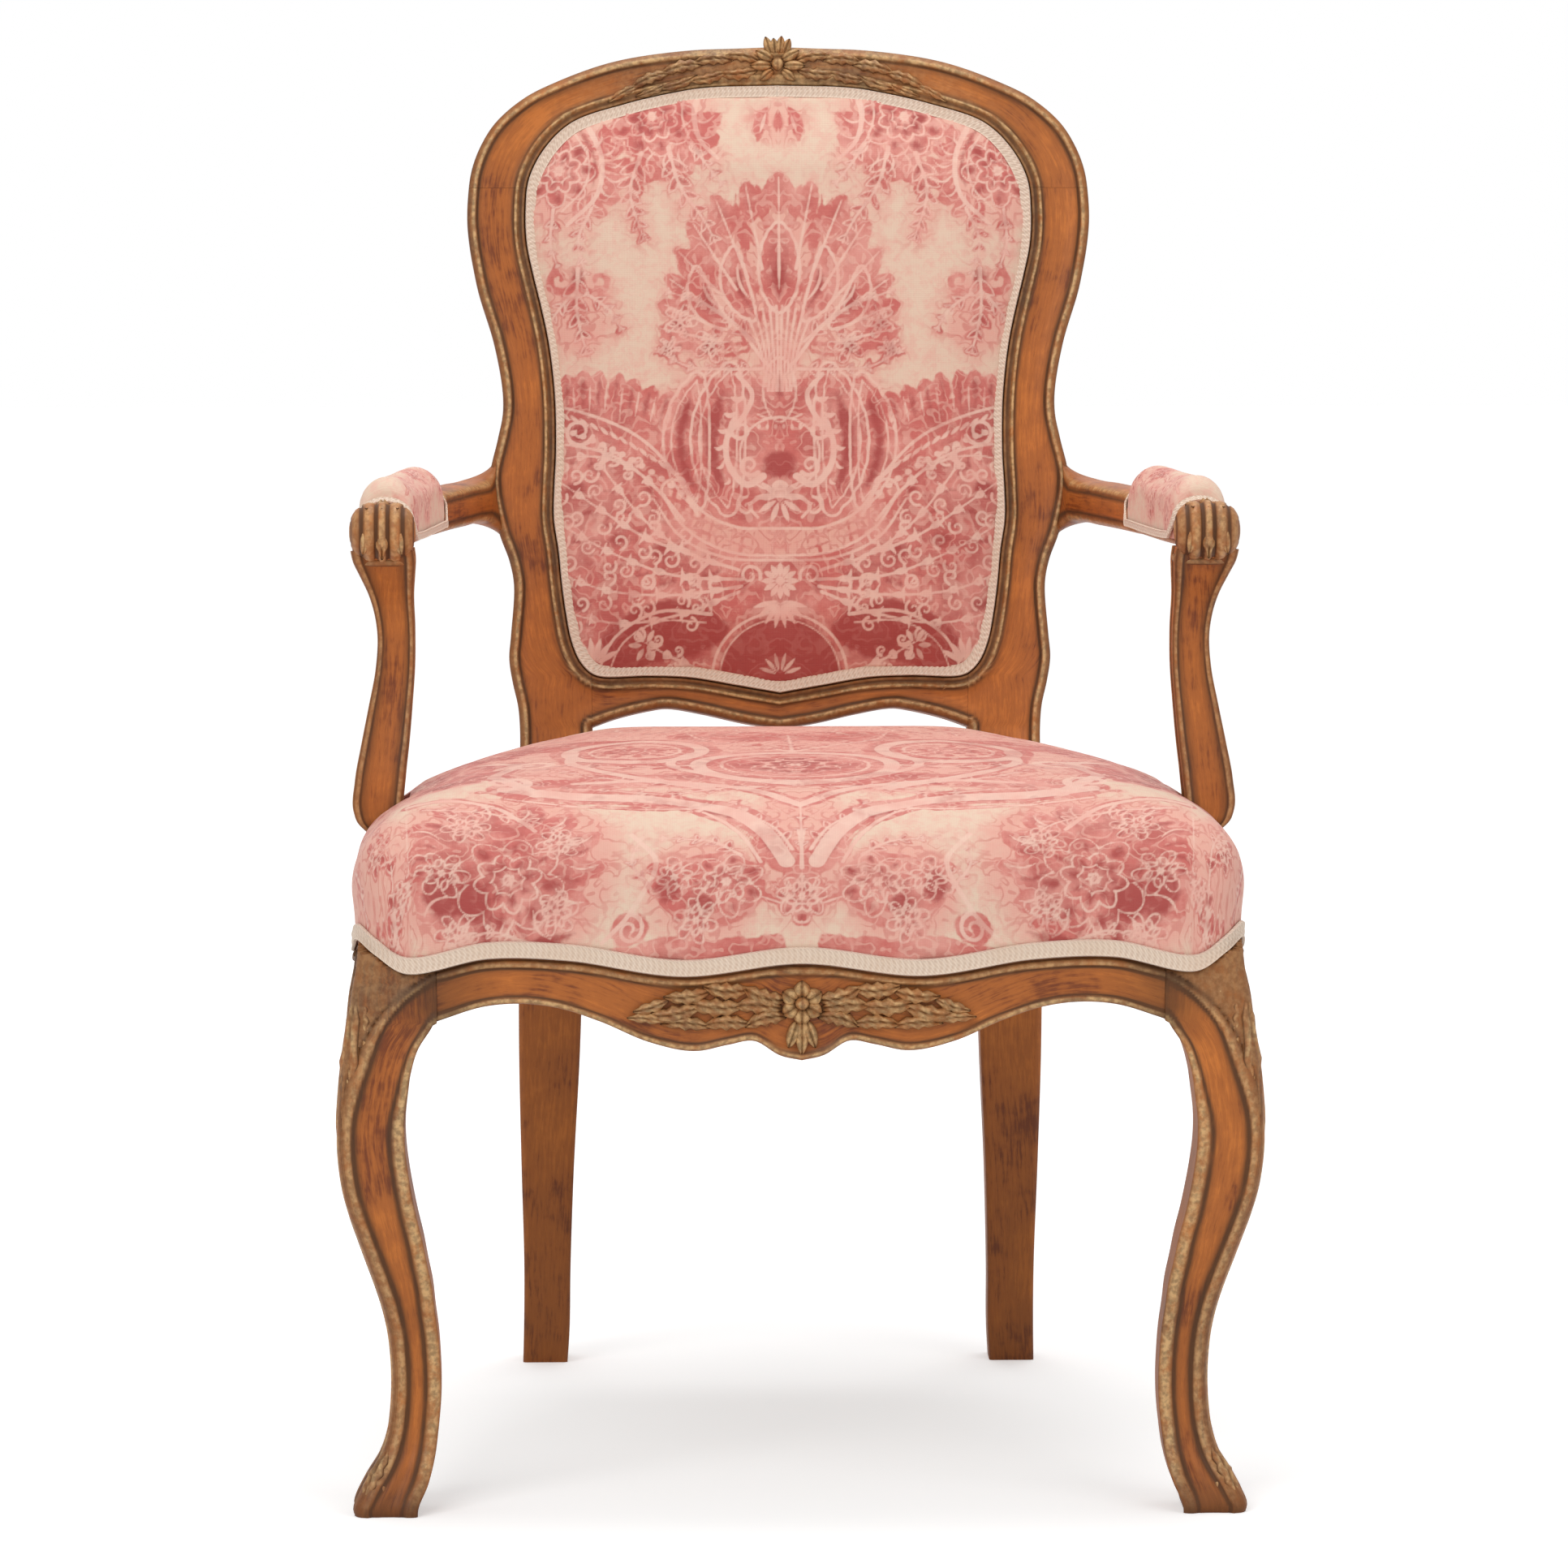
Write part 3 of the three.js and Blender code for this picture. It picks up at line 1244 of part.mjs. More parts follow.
// Braid round the foot of the right arm pad
function padGimp() {
  const sides = padShares.map(([share, width]) => {
    const along = padStartShare + share * (padEndShare - padStartShare);
    const { centre, halfDepth } = armStation(along);
    centre.setZ(centre.z + halfDepth + clothClearance);
    return { centre, across: armAcross(along), half: width * padWidth / 2 };
  });
  const edge = (sign) => sides.map(({ centre, across, half }) => (
    centre.clone().addScaledVector(across, sign * (half + clothClearance))));
  const loop = [...edge(1), ...edge(-1).reverse()];
  const middle = loop.reduce((sum, p) => sum.add(p), new THREE.Vector3()).divideScalar(loop.length);
  return loft(loop.map((p, i) => {
    const [a, b] = [loop[(i + loop.length - 1) % loop.length], loop[(i + 1) % loop.length]];
    const outward = horizontalNormal(a, b);
    if (outward.dot(p.clone().sub(middle)) < 0) outward.negate();
    const at = (out, up) => p.clone().addScaledVector(outward, out).setZ(p.z + up);
    return [at(0, 0), at(gimpThickness, 0), at(gimpThickness, padGimpWidth), at(0, padGimpWidth)];
  }), true);
}

// The chair, one named mesh to a piece
const chair = new THREE.Group();
function add(name, geometry, finish) {
  const mesh = new THREE.Mesh(geometry, finishes[finish].clone());
  mesh.name = name;
  chair.add(mesh);
}
function addPair(name, geometry, finish) {
  add(`right_${name}`, geometry, finish);
  add(`left_${name}`, mirrored(geometry), finish);
}

addPair("front_leg", rightLeg(), "beech");
addPair("stile", rightStile(), "plainBeech");
addPair("side_rail", rightSideRail(), "beech");
addPair("arm", rightArm(), "beech");
addPair("arm_support", rightSupport(), "beech");
add("front_seat_rail", frontRail(), "beech");
add("back_seat_rail", backRail(), "plainBeech");
add("crest_rail", crestRail(), "beech");
add("lower_back_rail", lowerBackRail(), "beech");
addPair("front_corner_block", frontBlock(), "rawWood");
addPair("back_corner_block", backBlock(), "rawWood");
Object.keys(rightPegs).forEach((name) => addPair(name, peg(name), "rawWood"));

for (let i = 0; i < lengthwiseWebs; i += 1) add(`seat_web_lengthwise_${i + 1}`, lengthwiseWeb(i), "webbing");
for (let j = 0; j < crosswiseWebs; j += 1) add(`seat_web_crosswise_${j + 1}`, crosswiseWeb(j), "webbing");
add("seat_hessian", seatHessian(), "hessian");
add("seat_stuffing", seatStuffing(), "horsehair");
add("seat_cover", seatCover(), "damask");
add("seat_gimp", seatGimp(), "gimp");
add("seat_rear_gimp", seatRearGimp(), "gimp");

add("back_hessian", backCloth(ledge + woodClearance, backHessianTop), "hessian");
add("back_stuffing", backStuffing(), "horsehair");
add("back_front_cover", backFrontCover(), "damask");
add("back_front_gimp", backBraid(frontBraidBottom, frontBraidBottom + gimpThickness), "gimp");
add("back_rear_cover", backCloth(rearClothBottom, rearClothTop), "damask");
add("back_rear_gimp", backBraid(rearBraidTop - gimpThickness, rearBraidTop), "gimp");

addPair("arm_pad_stuffing", padStuffing(), "horsehair");
addPair("arm_pad_cover", padCover(), "damask");
addPair("arm_pad_gimp", padGimp(), "gimp");

// The frame's origin: on the floor under the middle of the whole chair
const extent = new THREE.Box3().setFromObject(chair);
chair.position.y = -(extent.min.y + extent.max.y) / 2;

export default chair;
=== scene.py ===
import logging
import math
from dataclasses import dataclass
from enum import Enum
from typing import Callable, Iterable, Sequence

import bmesh
import bpy
import numpy as np
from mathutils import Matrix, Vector


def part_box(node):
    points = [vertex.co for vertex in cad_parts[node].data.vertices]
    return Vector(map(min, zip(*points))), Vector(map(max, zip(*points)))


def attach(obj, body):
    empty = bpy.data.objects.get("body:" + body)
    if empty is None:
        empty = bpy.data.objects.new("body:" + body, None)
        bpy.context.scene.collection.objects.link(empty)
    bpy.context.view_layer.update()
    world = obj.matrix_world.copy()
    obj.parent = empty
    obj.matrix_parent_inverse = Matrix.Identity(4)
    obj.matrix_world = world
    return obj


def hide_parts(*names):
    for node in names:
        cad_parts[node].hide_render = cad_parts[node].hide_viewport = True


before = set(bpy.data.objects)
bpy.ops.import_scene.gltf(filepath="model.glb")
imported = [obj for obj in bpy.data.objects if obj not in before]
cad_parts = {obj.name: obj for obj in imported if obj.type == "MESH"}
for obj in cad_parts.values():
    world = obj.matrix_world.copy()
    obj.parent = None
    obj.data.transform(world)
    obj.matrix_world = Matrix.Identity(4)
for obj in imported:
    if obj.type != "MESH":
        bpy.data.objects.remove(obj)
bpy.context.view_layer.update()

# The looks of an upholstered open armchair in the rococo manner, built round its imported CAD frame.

logging.basicConfig(level=logging.INFO, format="%(message)s")
log = logging.getLogger("fauteuil")

MM = 0.001
BODY = "root"
FIRST_CROSS_WEB_Y = -186.0
WELD = 1e-5
SEAM_WELD = 2e-6
TINY = 1e-9
CREASE = 50.0
GIMP_CREASE = 70.0
CLOTH_CREASE = 80.0
UP = np.array([0.0, 0.0, 1.0])

Array = np.ndarray
Mesh = bmesh.types.BMesh
Material = bpy.types.Material
Triple = tuple[float, float, float]
Points = Sequence[Sequence[float]]
Worked = tuple[Array, Array, Array]
Pair = tuple[float, float]


def frame_shift() -> float:
    """How far in mm the frame's Y lies from the drawing's own, read from a strap whose place is known."""
    low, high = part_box("seat_web_crosswise_1")
    return (low[1] + high[1]) / 2 / MM - FIRST_CROSS_WEB_Y


SHIFT_Y = frame_shift()


class Side(Enum):
    """Which side of the chair a paired piece is on, as its sign on X."""

    LEFT = -1
    RIGHT = 1

    @property
    def word(self) -> str:
        """The word that starts the piece's name."""
        return self.name.lower()


# ---------------------------------------------------------------- curves


def smooth(points: Points, closed: bool = False, per_span: int = 12) -> Array:
    """A centripetal curve through points.

    Args:
        points: the points, each of two or three numbers.
        closed: whether the curve comes back to its start.
        per_span: how many samples lie between two points.

    Returns:
        The samples as rows; a closed curve's start isn't repeated.
    """
    given = np.asarray(points, dtype=float)
    count = len(given)
    spans = count if closed else count - 1
    rows = []
    for i in range(spans):
        if closed:
            four = [given[(i + k - 1) % count] for k in range(4)]
        else:
            four = [
                given[i - 1] if i else 2 * given[0] - given[1],
                given[i],
                given[i + 1],
                given[i + 2] if i + 2 < count else 2 * given[-1] - given[-2],
            ]
        knots = np.cumsum([0.0] + [max(np.linalg.norm(four[k + 1] - four[k]) ** 0.5, 1e-6) for k in range(3)])
        times = np.linspace(knots[1], knots[2], per_span, endpoint=False)[:, None]
        layer = [
            ((knots[k + 1] - times) * four[k] + (times - knots[k]) * four[k + 1]) / (knots[k + 1] - knots[k])
            for k in range(3)
        ]
        layer = [
            ((knots[k + 2] - times) * layer[k] + (times - knots[k]) * layer[k + 1])
            / (knots[k + 2] - knots[k])
            for k in range(2)
        ]
        rows.append(((knots[2] - times) * layer[0] + (times - knots[1]) * layer[1]) / (knots[2] - knots[1]))
    if not closed:
        rows.append(given[-1:])
    return np.vstack(rows)


def unit(rows: Array) -> Array:
    """Directions made one long."""
    return rows / np.linalg.norm(rows, axis=1)[:, None]


def run_reach(run: Array) -> Array:
    """How far along a run each of its points lies."""
    return np.concatenate([[0.0], np.cumsum(np.linalg.norm(np.diff(run, axis=0), axis=1))])


def read_run(run: Array, reach: Array, places: Array) -> Array:
    """The points of a run at places along it, given how far along it its own points lie."""
    return np.column_stack([np.interp(places, reach, run[:, axis]) for axis in range(run.shape[1])])


def evenly(points: Array, step: float, closed: bool = False) -> Array:
    """A run of points set again at an even distance.

    Args:
        points: the run.
        step: about how far apart the new points are.
        closed: whether the run comes back to its start.

    Returns:
        The new points; a closed run's start isn't repeated.
    """
    run = np.vstack([points, points[:1]]) if closed else points
    reach = run_reach(run)
    count = max(int(round(reach[-1] / step)), 2)
    places = np.linspace(0, reach[-1], count + 1)
    return read_run(run, reach, places[:-1] if closed else places)


def counted(run: Array, count: int) -> Array:
    """A run set again with a given number of points."""
    reach = run_reach(run)
    return read_run(run, reach, np.linspace(0, reach[-1], count))


def table_at(rows: Points, places: Array | float) -> Array:
    """A table's columns read smoothly at places along its first column.

    Args:
        rows: the table, its first column rising.
        places: where to read it.

    Returns:
        One row to a place, without the first column.
    """
    table = np.asarray(rows, dtype=float)
    x, y = table[:, 0], table[:, 1:]
    slopes = np.gradient(y, x, axis=0)
    at = np.clip(np.atleast_1d(np.asarray(places, dtype=float)), x[0], x[-1])
    i = np.clip(np.searchsorted(x, at, side="right") - 1, 0, len(x) - 2)
    span = (x[i + 1] - x[i])[:, None]
    t = ((at - x[i]) / span[:, 0])[:, None]
    rise = y[i + 1] - y[i]
    bend = slopes[i] * (1 - t) - slopes[i + 1] * t
    return y[i] + rise * t * t * (3 - 2 * t) + bend * span * t * (1 - t)


def crossing(run: Array, axis: int, value: float) -> Array:
    """The point where a run first reaches a value along one axis.

    Args:
        run: the run of points.
        axis: the number of the axis.
        value: the value.

    Returns:
        The point, on the straight between two of the run's.
    """
    offset = run[:, axis] - value
    hits = np.nonzero(offset[:-1] * offset[1:] <= 0)[0]
    i = int(hits[0])
    span = run[i + 1, axis] - run[i, axis]
    return run[i] + (run[i + 1] - run[i]) * ((value - run[i, axis]) / (span or 1.0))


def run_distance(points: Array, run: Array) -> Array:
    """The distance from each flat point to a run of points.

    Args:
        points: rows of two numbers.
        run: the run, two numbers to a row.

    Returns:
        One distance to a point.
    """
    best = np.full(len(points), 1e9)
    for a, b in zip(run[:-1], run[1:]):
        along = b - a
        share = np.clip(((points - a) @ along) / max(along @ along, TINY), 0, 1)
        best = np.minimum(best, np.linalg.norm(points - a - share[:, None] * along, axis=1))
    return best


def mirrored_run(half: Array) -> Array:
    """A half outline from one end of the middle line to the other, closed with its mirror image.

    Args:
        half: the half, with both its ends on the middle line.

    Returns:
        The closed outline; its start isn't repeated.
    """
    other = half[1:-1][::-1].copy()
    other[:, 0] *= -1
    return np.vstack([half, other])


def both_sides(half: Array) -> Array:
    """A half run that ends at the middle, carried on by its mirror image.

    Args:
        half: the half, with its last point on the middle line.

    Returns:
        The run on both sides.
    """
    other = half[:-1][::-1].copy()
    other[:, 0] *= -1
    return np.vstack([half, other])


# ---------------------------------------------------------------- meshes


@dataclass
class Rings:
    """A body drawn through rings of points, with what its material reads at each point.

    points is rings by points by 3, in mm in the drawing's own frame; gilt and the darkening are rings by
    points, the darkening being mostly dirt and wax on the wood and painted shade on the braid.
    """

    points: Array
    gilt: Array | None = None
    dirt: Array | None = None
    closed: bool = False

    @classmethod
    def of(cls, sections: Iterable[Worked]) -> "Rings":
        """Rings from sections, each with its points, its gilding and its dirt."""
        return cls(*(np.array(part) for part in zip(*sections)))

    def mesh(self) -> Mesh:
        """The rings as a closed skin: a grid rolled into a tube, or into a ring of tube when closed.

        Returns:
            The mesh in metres.
        """
        rings, around = self.points.shape[:2]
        points = self.points
        layers = {"gilt": self.gilt, "dirt": self.dirt}
        steps = np.linalg.norm(np.diff(points, axis=0), axis=2).mean(axis=1)
        run = np.repeat(np.concatenate([[0.0], np.cumsum(steps)])[:, None], around, axis=1) * MM
        loop = np.concatenate([points, points[:, :1]], axis=1)
        width = np.linalg.norm(np.diff(loop, axis=1), axis=2)
        across = np.concatenate([np.zeros((rings, 1)), np.cumsum(width, axis=1)], axis=1)[:, :-1] * MM
        layers |= {"run": run, "across": across}
        made = bmesh.new()
        bmesh.ops.create_grid(made, x_segments=around, y_segments=rings if self.closed else rings - 1, size=1)
        rows = np.arange(rings + (1 if self.closed else 0)) % rings
        columns = np.arange(around + 1) % around
        placed = points[rows][:, columns].reshape(-1, 3)
        floats = {name: made.verts.layers.float.new(name) for name in layers}
        flat = {
            name: (values if values is not None else np.zeros((rings, around)))[rows][:, columns].ravel()
            for name, values in layers.items()
        }
        for i, vert in enumerate(made.verts):
            vert.co = placed[i] * MM
            for name, layer in floats.items():
                vert[layer] = flat[name][i]
        bmesh.ops.remove_doubles(made, verts=made.verts, dist=SEAM_WELD)
        if not self.closed:
            rim = [edge for edge in made.edges if edge.is_boundary]
            bmesh.ops.holes_fill(made, edges=rim, sides=0)
        bmesh.ops.recalc_face_normals(made, faces=made.faces)
        return made


def flesh(name: str, mesh: Mesh) -> bpy.types.Mesh:
    """Mesh data from a working mesh, which is freed.

    Args:
        name: what to call the data.
        mesh: the working mesh.

    Returns:
        The data.
    """
    data = bpy.data.meshes.new(name)
    mesh.to_mesh(data)
    mesh.free()
    return data


def stand(name: str, data: bpy.types.ID) -> bpy.types.Object:
    """A new object in the scene for a mesh, a lamp or a camera.

    Args:
        name: the object's name.
        data: what it shows.

    Returns:
        The new object.
    """
    obj = bpy.data.objects.new(name, data)
    bpy.context.scene.collection.objects.link(obj)
    return obj


def merged(parts: Sequence[Mesh]) -> Mesh:
    """Several meshes in one, each kept as its own shell.

    Args:
        parts: the meshes, freed here.

    Returns:
        The one mesh.
    """
    whole = bmesh.new()
    for part in parts:
        holder = flesh("part", part)
        whole.from_mesh(holder)
        bpy.data.meshes.remove(holder)
    return whole


def mirror_copy(part: Mesh) -> Mesh:
    """The same mesh on the other side of the middle plane, its faces turned out.

    Args:
        part: the mesh, left as it is.

    Returns:
        Its mirror image.
    """
    copy = part.copy()
    bmesh.ops.scale(copy, vec=(-1, 1, 1), verts=copy.verts)
    bmesh.ops.reverse_faces(copy, faces=copy.faces)
    return copy


class Maker:
    """Turns meshes into finished pieces that ride on the chair and stand for CAD nodes."""

    def piece(
        self,
        name: str,
        mesh: Mesh,
        material: Material,
        nodes: Sequence[str],
        sharp: float = CREASE,
    ) -> bpy.types.Object:
        """A piece from a mesh in metres that is still in the drawing's own frame.

        Args:
            name: the piece's name.
            mesh: its mesh, freed here.
            material: its finish.
            nodes: the CAD nodes it stands for.
            sharp: the angle in degrees past which an edge shows as a crease.

        Returns:
            The new object.
        """
        bmesh.ops.translate(mesh, vec=(0, SHIFT_Y * MM, 0), verts=mesh.verts)
        data = flesh(name, mesh)
        data.polygons.foreach_set("use_smooth", [True] * len(data.polygons))
        data.set_sharp_from_angle(angle=math.radians(sharp))
        data.materials.append(material)
        obj = stand(name, data)
        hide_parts(*nodes)
        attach(obj, BODY)
        log.info("%s: %d faces", name, len(data.polygons))
        return obj

    def pair(
        self, stem: str, ending: str, mesh: Mesh, material: Material, slot: str, sharp: float = CREASE
    ) -> None:
        """The left and right pieces that stand for the nodes left_ and right_ with a stem.

        Args:
            stem: what the nodes' names end with.
            ending: what the pieces' names have after that.
            mesh: the right piece's mesh, freed here.
            material: their finish.
            slot: not used.
            sharp: the angle in degrees past which an edge shows as a crease.
        """
        for side, part in ((Side.LEFT, mirror_copy(mesh)), (Side.RIGHT, mesh)):
            self.piece(f"{side.word}_{stem}_{ending}", part, material, [f"{side.word}_{stem}"], sharp)


# ---------------------------------------------------------------- shading


class Reading:
    """A socket's value in a material, with arithmetic that adds Math nodes."""

    def __init__(self, shade: "Shade", socket: bpy.types.NodeSocket | None) -> None:
        """Keeps the socket and the material it belongs to."""
        self.shade = shade
        self.socket = socket

    def math(self, operation: str, *others: "Reading | float", clamp: bool = False) -> "Reading":
        """One Math node on this value and up to two others."""
        settings = {"operation": operation, "use_clamp": clamp}
        return self.shade.add("ShaderNodeMath", settings, {i: v for i, v in enumerate((self, *others))})

    def __add__(self, other: "Reading | float") -> "Reading":
        """Sum."""
        return self.math("ADD", other)

    def __mul__(self, other: "Reading | float") -> "Reading":
        """Product."""
        return self.math("MULTIPLY", other)

    def __sub__(self, other: "Reading | float") -> "Reading":
        """Difference."""
        return self.math("SUBTRACT", other)

    def __truediv__(self, other: "Reading | float") -> "Reading":
        """Quotient."""
        return self.math("DIVIDE", other)

    __radd__ = __add__
    __rmul__ = __mul__

    def __rsub__(self, other: float) -> "Reading":
        """Difference from a number."""
        return self.shade.add("ShaderNodeMath", {"operation": "SUBTRACT"}, {0: other, 1: self})

    def held(self) -> "Reading":
        """The value held between 0 and 1."""
        return self.math("ADD", 0.0, clamp=True)

    def between(self, low: float, high: float) -> "Reading":
        """0 below low, 1 above high, smooth between; low may be the larger.

        Args:
            low: where the result is 0.
            high: where it is 1.

        Returns:
            The result.
        """
        return self.shade.add(
            "ShaderNodeMapRange",
            {"interpolation_type": "SMOOTHSTEP"},
            {"Value": self, "From Min": low, "From Max": high, "To Min": 0.0, "To Max": 1.0},
        )


class Shade:
    """One material's nodes."""

    def __init__(self, name: str = "", owner: bpy.types.World | None = None) -> None:
        """Starts with no nodes: a new material of some name, or the world given.

        Args:
            name: the new material's name.
            owner: the world, in place of a material.
        """
        self.material = owner or bpy.data.materials.new(name)
        self.material.use_nodes = True
        self.tree = self.material.node_tree
        self.tree.nodes.clear()

    def add(
        self,
        kind: str,
        settings: dict[str, object] | None = None,
        inputs: dict[object, object] | None = None,
        out: object = 0,
    ) -> Reading:
        """Any node.

        Args:
            kind: the node's type.
            settings: its own settings; stops are a ramp's places and colours.
            inputs: socket names or numbers with values or links.
            out: which output to return.

        Returns:
            The output asked for.
        """
        node = self.tree.nodes.new(kind)
        for key, value in (settings or {}).items():
            if key == "stops":
                self._stops(node.color_ramp, value)
            else:
                setattr(node, key, value)
        for key, value in (inputs or {}).items():
            socket = node.inputs[key]
            if isinstance(value, Reading):
                self.tree.links.new(value.socket, socket)
            else:
                socket.default_value = value
        return Reading(self, node.outputs[out] if len(node.outputs) else None)

    @staticmethod
    def _stops(ramp: bpy.types.ColorRamp, stops: Sequence[tuple[float, Sequence[float]]]) -> None:
        """Sets a ramp's stops.

        Args:
            ramp: the ramp.
            stops: places from 0 to 1 with their colours.
        """
        while len(ramp.elements) > 1:
            ramp.elements.remove(ramp.elements[-1])
        for i, (place, colour) in enumerate(stops):
            element = ramp.elements[0] if i == 0 else ramp.elements.new(place)
            element.position = place
            element.color = (*colour, 1.0)

    def attribute(self, name: str) -> Reading:
        """A number stored on the piece's mesh."""
        return self.add("ShaderNodeAttribute", {"attribute_name": name}, None, "Fac")

    def place(self) -> Reading:
        """Object coordinates."""
        return self.add("ShaderNodeTexCoord", None, None, "Object")

    def vector(self, x: object, y: object, z: object = 0.0) -> Reading:
        """Three numbers as a vector."""
        return self.add("ShaderNodeCombineXYZ", None, {0: x, 1: y, 2: z})

    def noise(
        self, at: Reading, scale: float, detail: float = 3.0, rough: float = 0.55, warp: float = 0.0
    ) -> Reading:
        """A noise between 0 and 1.

        Args:
            at: where it is read.
            scale: how fine it is.
            detail: how many finer layers.
            rough: how strong they are.
            warp: how far it is bent.

        Returns:
            The noise.
        """
        inputs = {"Vector": at, "Scale": scale, "Detail": detail, "Roughness": rough, "Distortion": warp}
        return self.add("ShaderNodeTexNoise", {"noise_dimensions": "3D"}, inputs)

    def cells(self, at: Reading, scale: float) -> Reading:
        """How far a place is from the middle of its cell, cells being strewn at random."""
        inputs = {"Vector": at, "Scale": scale, "Randomness": 0.9}
        return self.add("ShaderNodeTexVoronoi", {"feature": "F1"}, inputs, "Distance")

    def mix(self, share: Reading | float, a: object, b: object) -> Reading:
        """Two colours mixed; a colour is a link or three numbers.

        Args:
            share: how much of the second.
            a: the first colour.
            b: the second.

        Returns:
            The mixed colour.
        """
        settings = {"data_type": "RGBA", "blend_type": "MIX", "clamp_factor": True}
        inputs = {0: share, 6: self._colour(a), 7: self._colour(b)}
        return self.add("ShaderNodeMix", settings, inputs, 2)

    @staticmethod
    def _colour(value: object) -> object:
        """A link as it is, or three numbers with full alpha."""
        return value if isinstance(value, Reading) else (*value, 1.0)

    def ramp(self, value: Reading, stops: Sequence[tuple[float, Sequence[float]]]) -> Reading:
        """A value turned smoothly into a colour.

        Args:
            value: what is turned into a colour.
            stops: places with their colours.

        Returns:
            The colour.
        """
        made = self.add("ShaderNodeValToRGB", {"stops": stops}, {0: value})
        made.socket.node.color_ramp.interpolation = "EASE"
        return made

    def bump(self, height: Reading, strength: float, distance: float) -> Reading:
        """A bump from a height."""
        inputs = {"Height": height, "Strength": strength, "Distance": distance}
        return self.add("ShaderNodeBump", None, inputs)

    def finish(self, **sockets: object) -> Material:
        """Closes the material with a principled surface; underscores in names stand for spaces.

        Args:
            sockets: the surface's inputs by name.

        Returns:
            The finished material.
        """
        inputs = {key.replace("_", " "): value for key, value in sockets.items()}
        surface = self.add("ShaderNodeBsdfPrincipled", None, inputs)
        self.add("ShaderNodeOutputMaterial", None, {"Surface": surface})
        return self.material


@dataclass(frozen=True)
class StainedBeech:
    """Waxed beech with worn gilding on its raised edges and dark wax in its grooves."""

    name: str = "stained_beech"
    light: Triple = (0.55, 0.166, 0.027)
    dark: Triple = (0.165, 0.035, 0.005)
    gilding: Triple = (0.68, 0.43, 0.195)
    wax: Triple = (0.052, 0.021, 0.006)
    grain_scale: Pair = (9.0, 90.0)
    pore_scale: Pair = (60.0, 900.0)
    cloud_scale: float = 13.0
    blotch_scale: float = 48.0
    wear_scale: float = 95.0
    rub_scale: float = 260.0

    def material(self) -> Material:
        """The node material.

        Returns:
            The finished material.
        """
        shade = Shade(self.name)
        run, across = shade.attribute("run"), shade.attribute("across")
        place = shade.place()
        scales = (self.grain_scale, self.pore_scale)
        grain_at, pores_at = (shade.vector(run * along, across * beside, 0.0) for along, beside in scales)
        grain = shade.noise(grain_at, 5.0, 4.0, 0.6, 0.25)
        pores = shade.noise(pores_at, 2.0, 2.0)
        cloud = shade.noise(place, self.cloud_scale, 4.0, 0.6)
        blotch = shade.noise(place, self.blotch_scale, 3.0, 0.65)
        tone = grain * 0.95 + cloud * 1.35 + blotch * 0.7 - 1.02
        wood = shade.ramp(tone, [(0.12, self.dark), (0.48, self._middle()), (0.85, self.light)])
        wood = shade.mix(pores.between(0.6, 0.74) * 0.5, wood, self.dark)
        wear = shade.noise(place, self.wear_scale, 4.0, 0.65)
        gilt = (shade.attribute("gilt") * (0.35 + wear.between(0.3, 0.58) * 0.75)).held()
        worn = shade.noise(place, self.rub_scale, 2.0)
        gold = shade.mix(worn.between(0.35, 0.65), self.gilding, tuple(0.5 * part for part in self.gilding))
        colour = shade.mix(gilt * 0.9, wood, gold)
        soot = shade.attribute("dirt")
        dirt = (soot * (0.7 + blotch * 0.9)).held()
        colour = shade.mix(dirt * 0.88, colour, self.wax)
        rough = 0.42 + cloud * 0.16 + gilt * 0.04 + dirt * 0.2
        normal = shade.bump(grain * 0.5 + pores * 0.3 + wear * 0.6, 0.4, 0.0006)
        return shade.finish(
            Base_Color=colour, Roughness=rough, Normal=normal,
            Specular_IOR_Level=0.32, Coat_Weight=0.05, Coat_Roughness=0.2,
        )

    def _middle(self) -> tuple[float, ...]:
        """The tone between the light and the dark."""
        return tuple(0.6 * a + 0.4 * b for a, b in zip(self.light, self.dark))


@dataclass(frozen=True)
class PlainWood:
    """A wood with no moulding, read from Object coordinates; along says how fine its grain is each way."""

    name: str
    light: Triple
    dark: Triple
    along: Triple
    rough: float = 0.5

    def material(self) -> Material:
        """The node material.

        Returns:
            The finished material.
        """
        shade = Shade(self.name)
        place = shade.place()
        stretched = shade.add("ShaderNodeVectorMath", {"operation": "MULTIPLY"}, {0: place, 1: self.along})
        grain = shade.noise(stretched, 4.0, 4.0, 0.6, 0.4)
        fine = shade.noise(stretched, 24.0, 2.0)
        cloud = shade.noise(place, 14.0, 2.0)
        tone = grain * 0.7 + fine * 0.2 + cloud * 0.25 - 0.12
        colour = shade.ramp(tone, [(0.2, self.dark), (0.8, self.light)])
        normal = shade.bump(grain * 0.6 + fine * 0.4, 0.4, 0.0005)
        return shade.finish(Base_Color=colour, Roughness=self.rough + cloud * 0.15, Normal=normal)


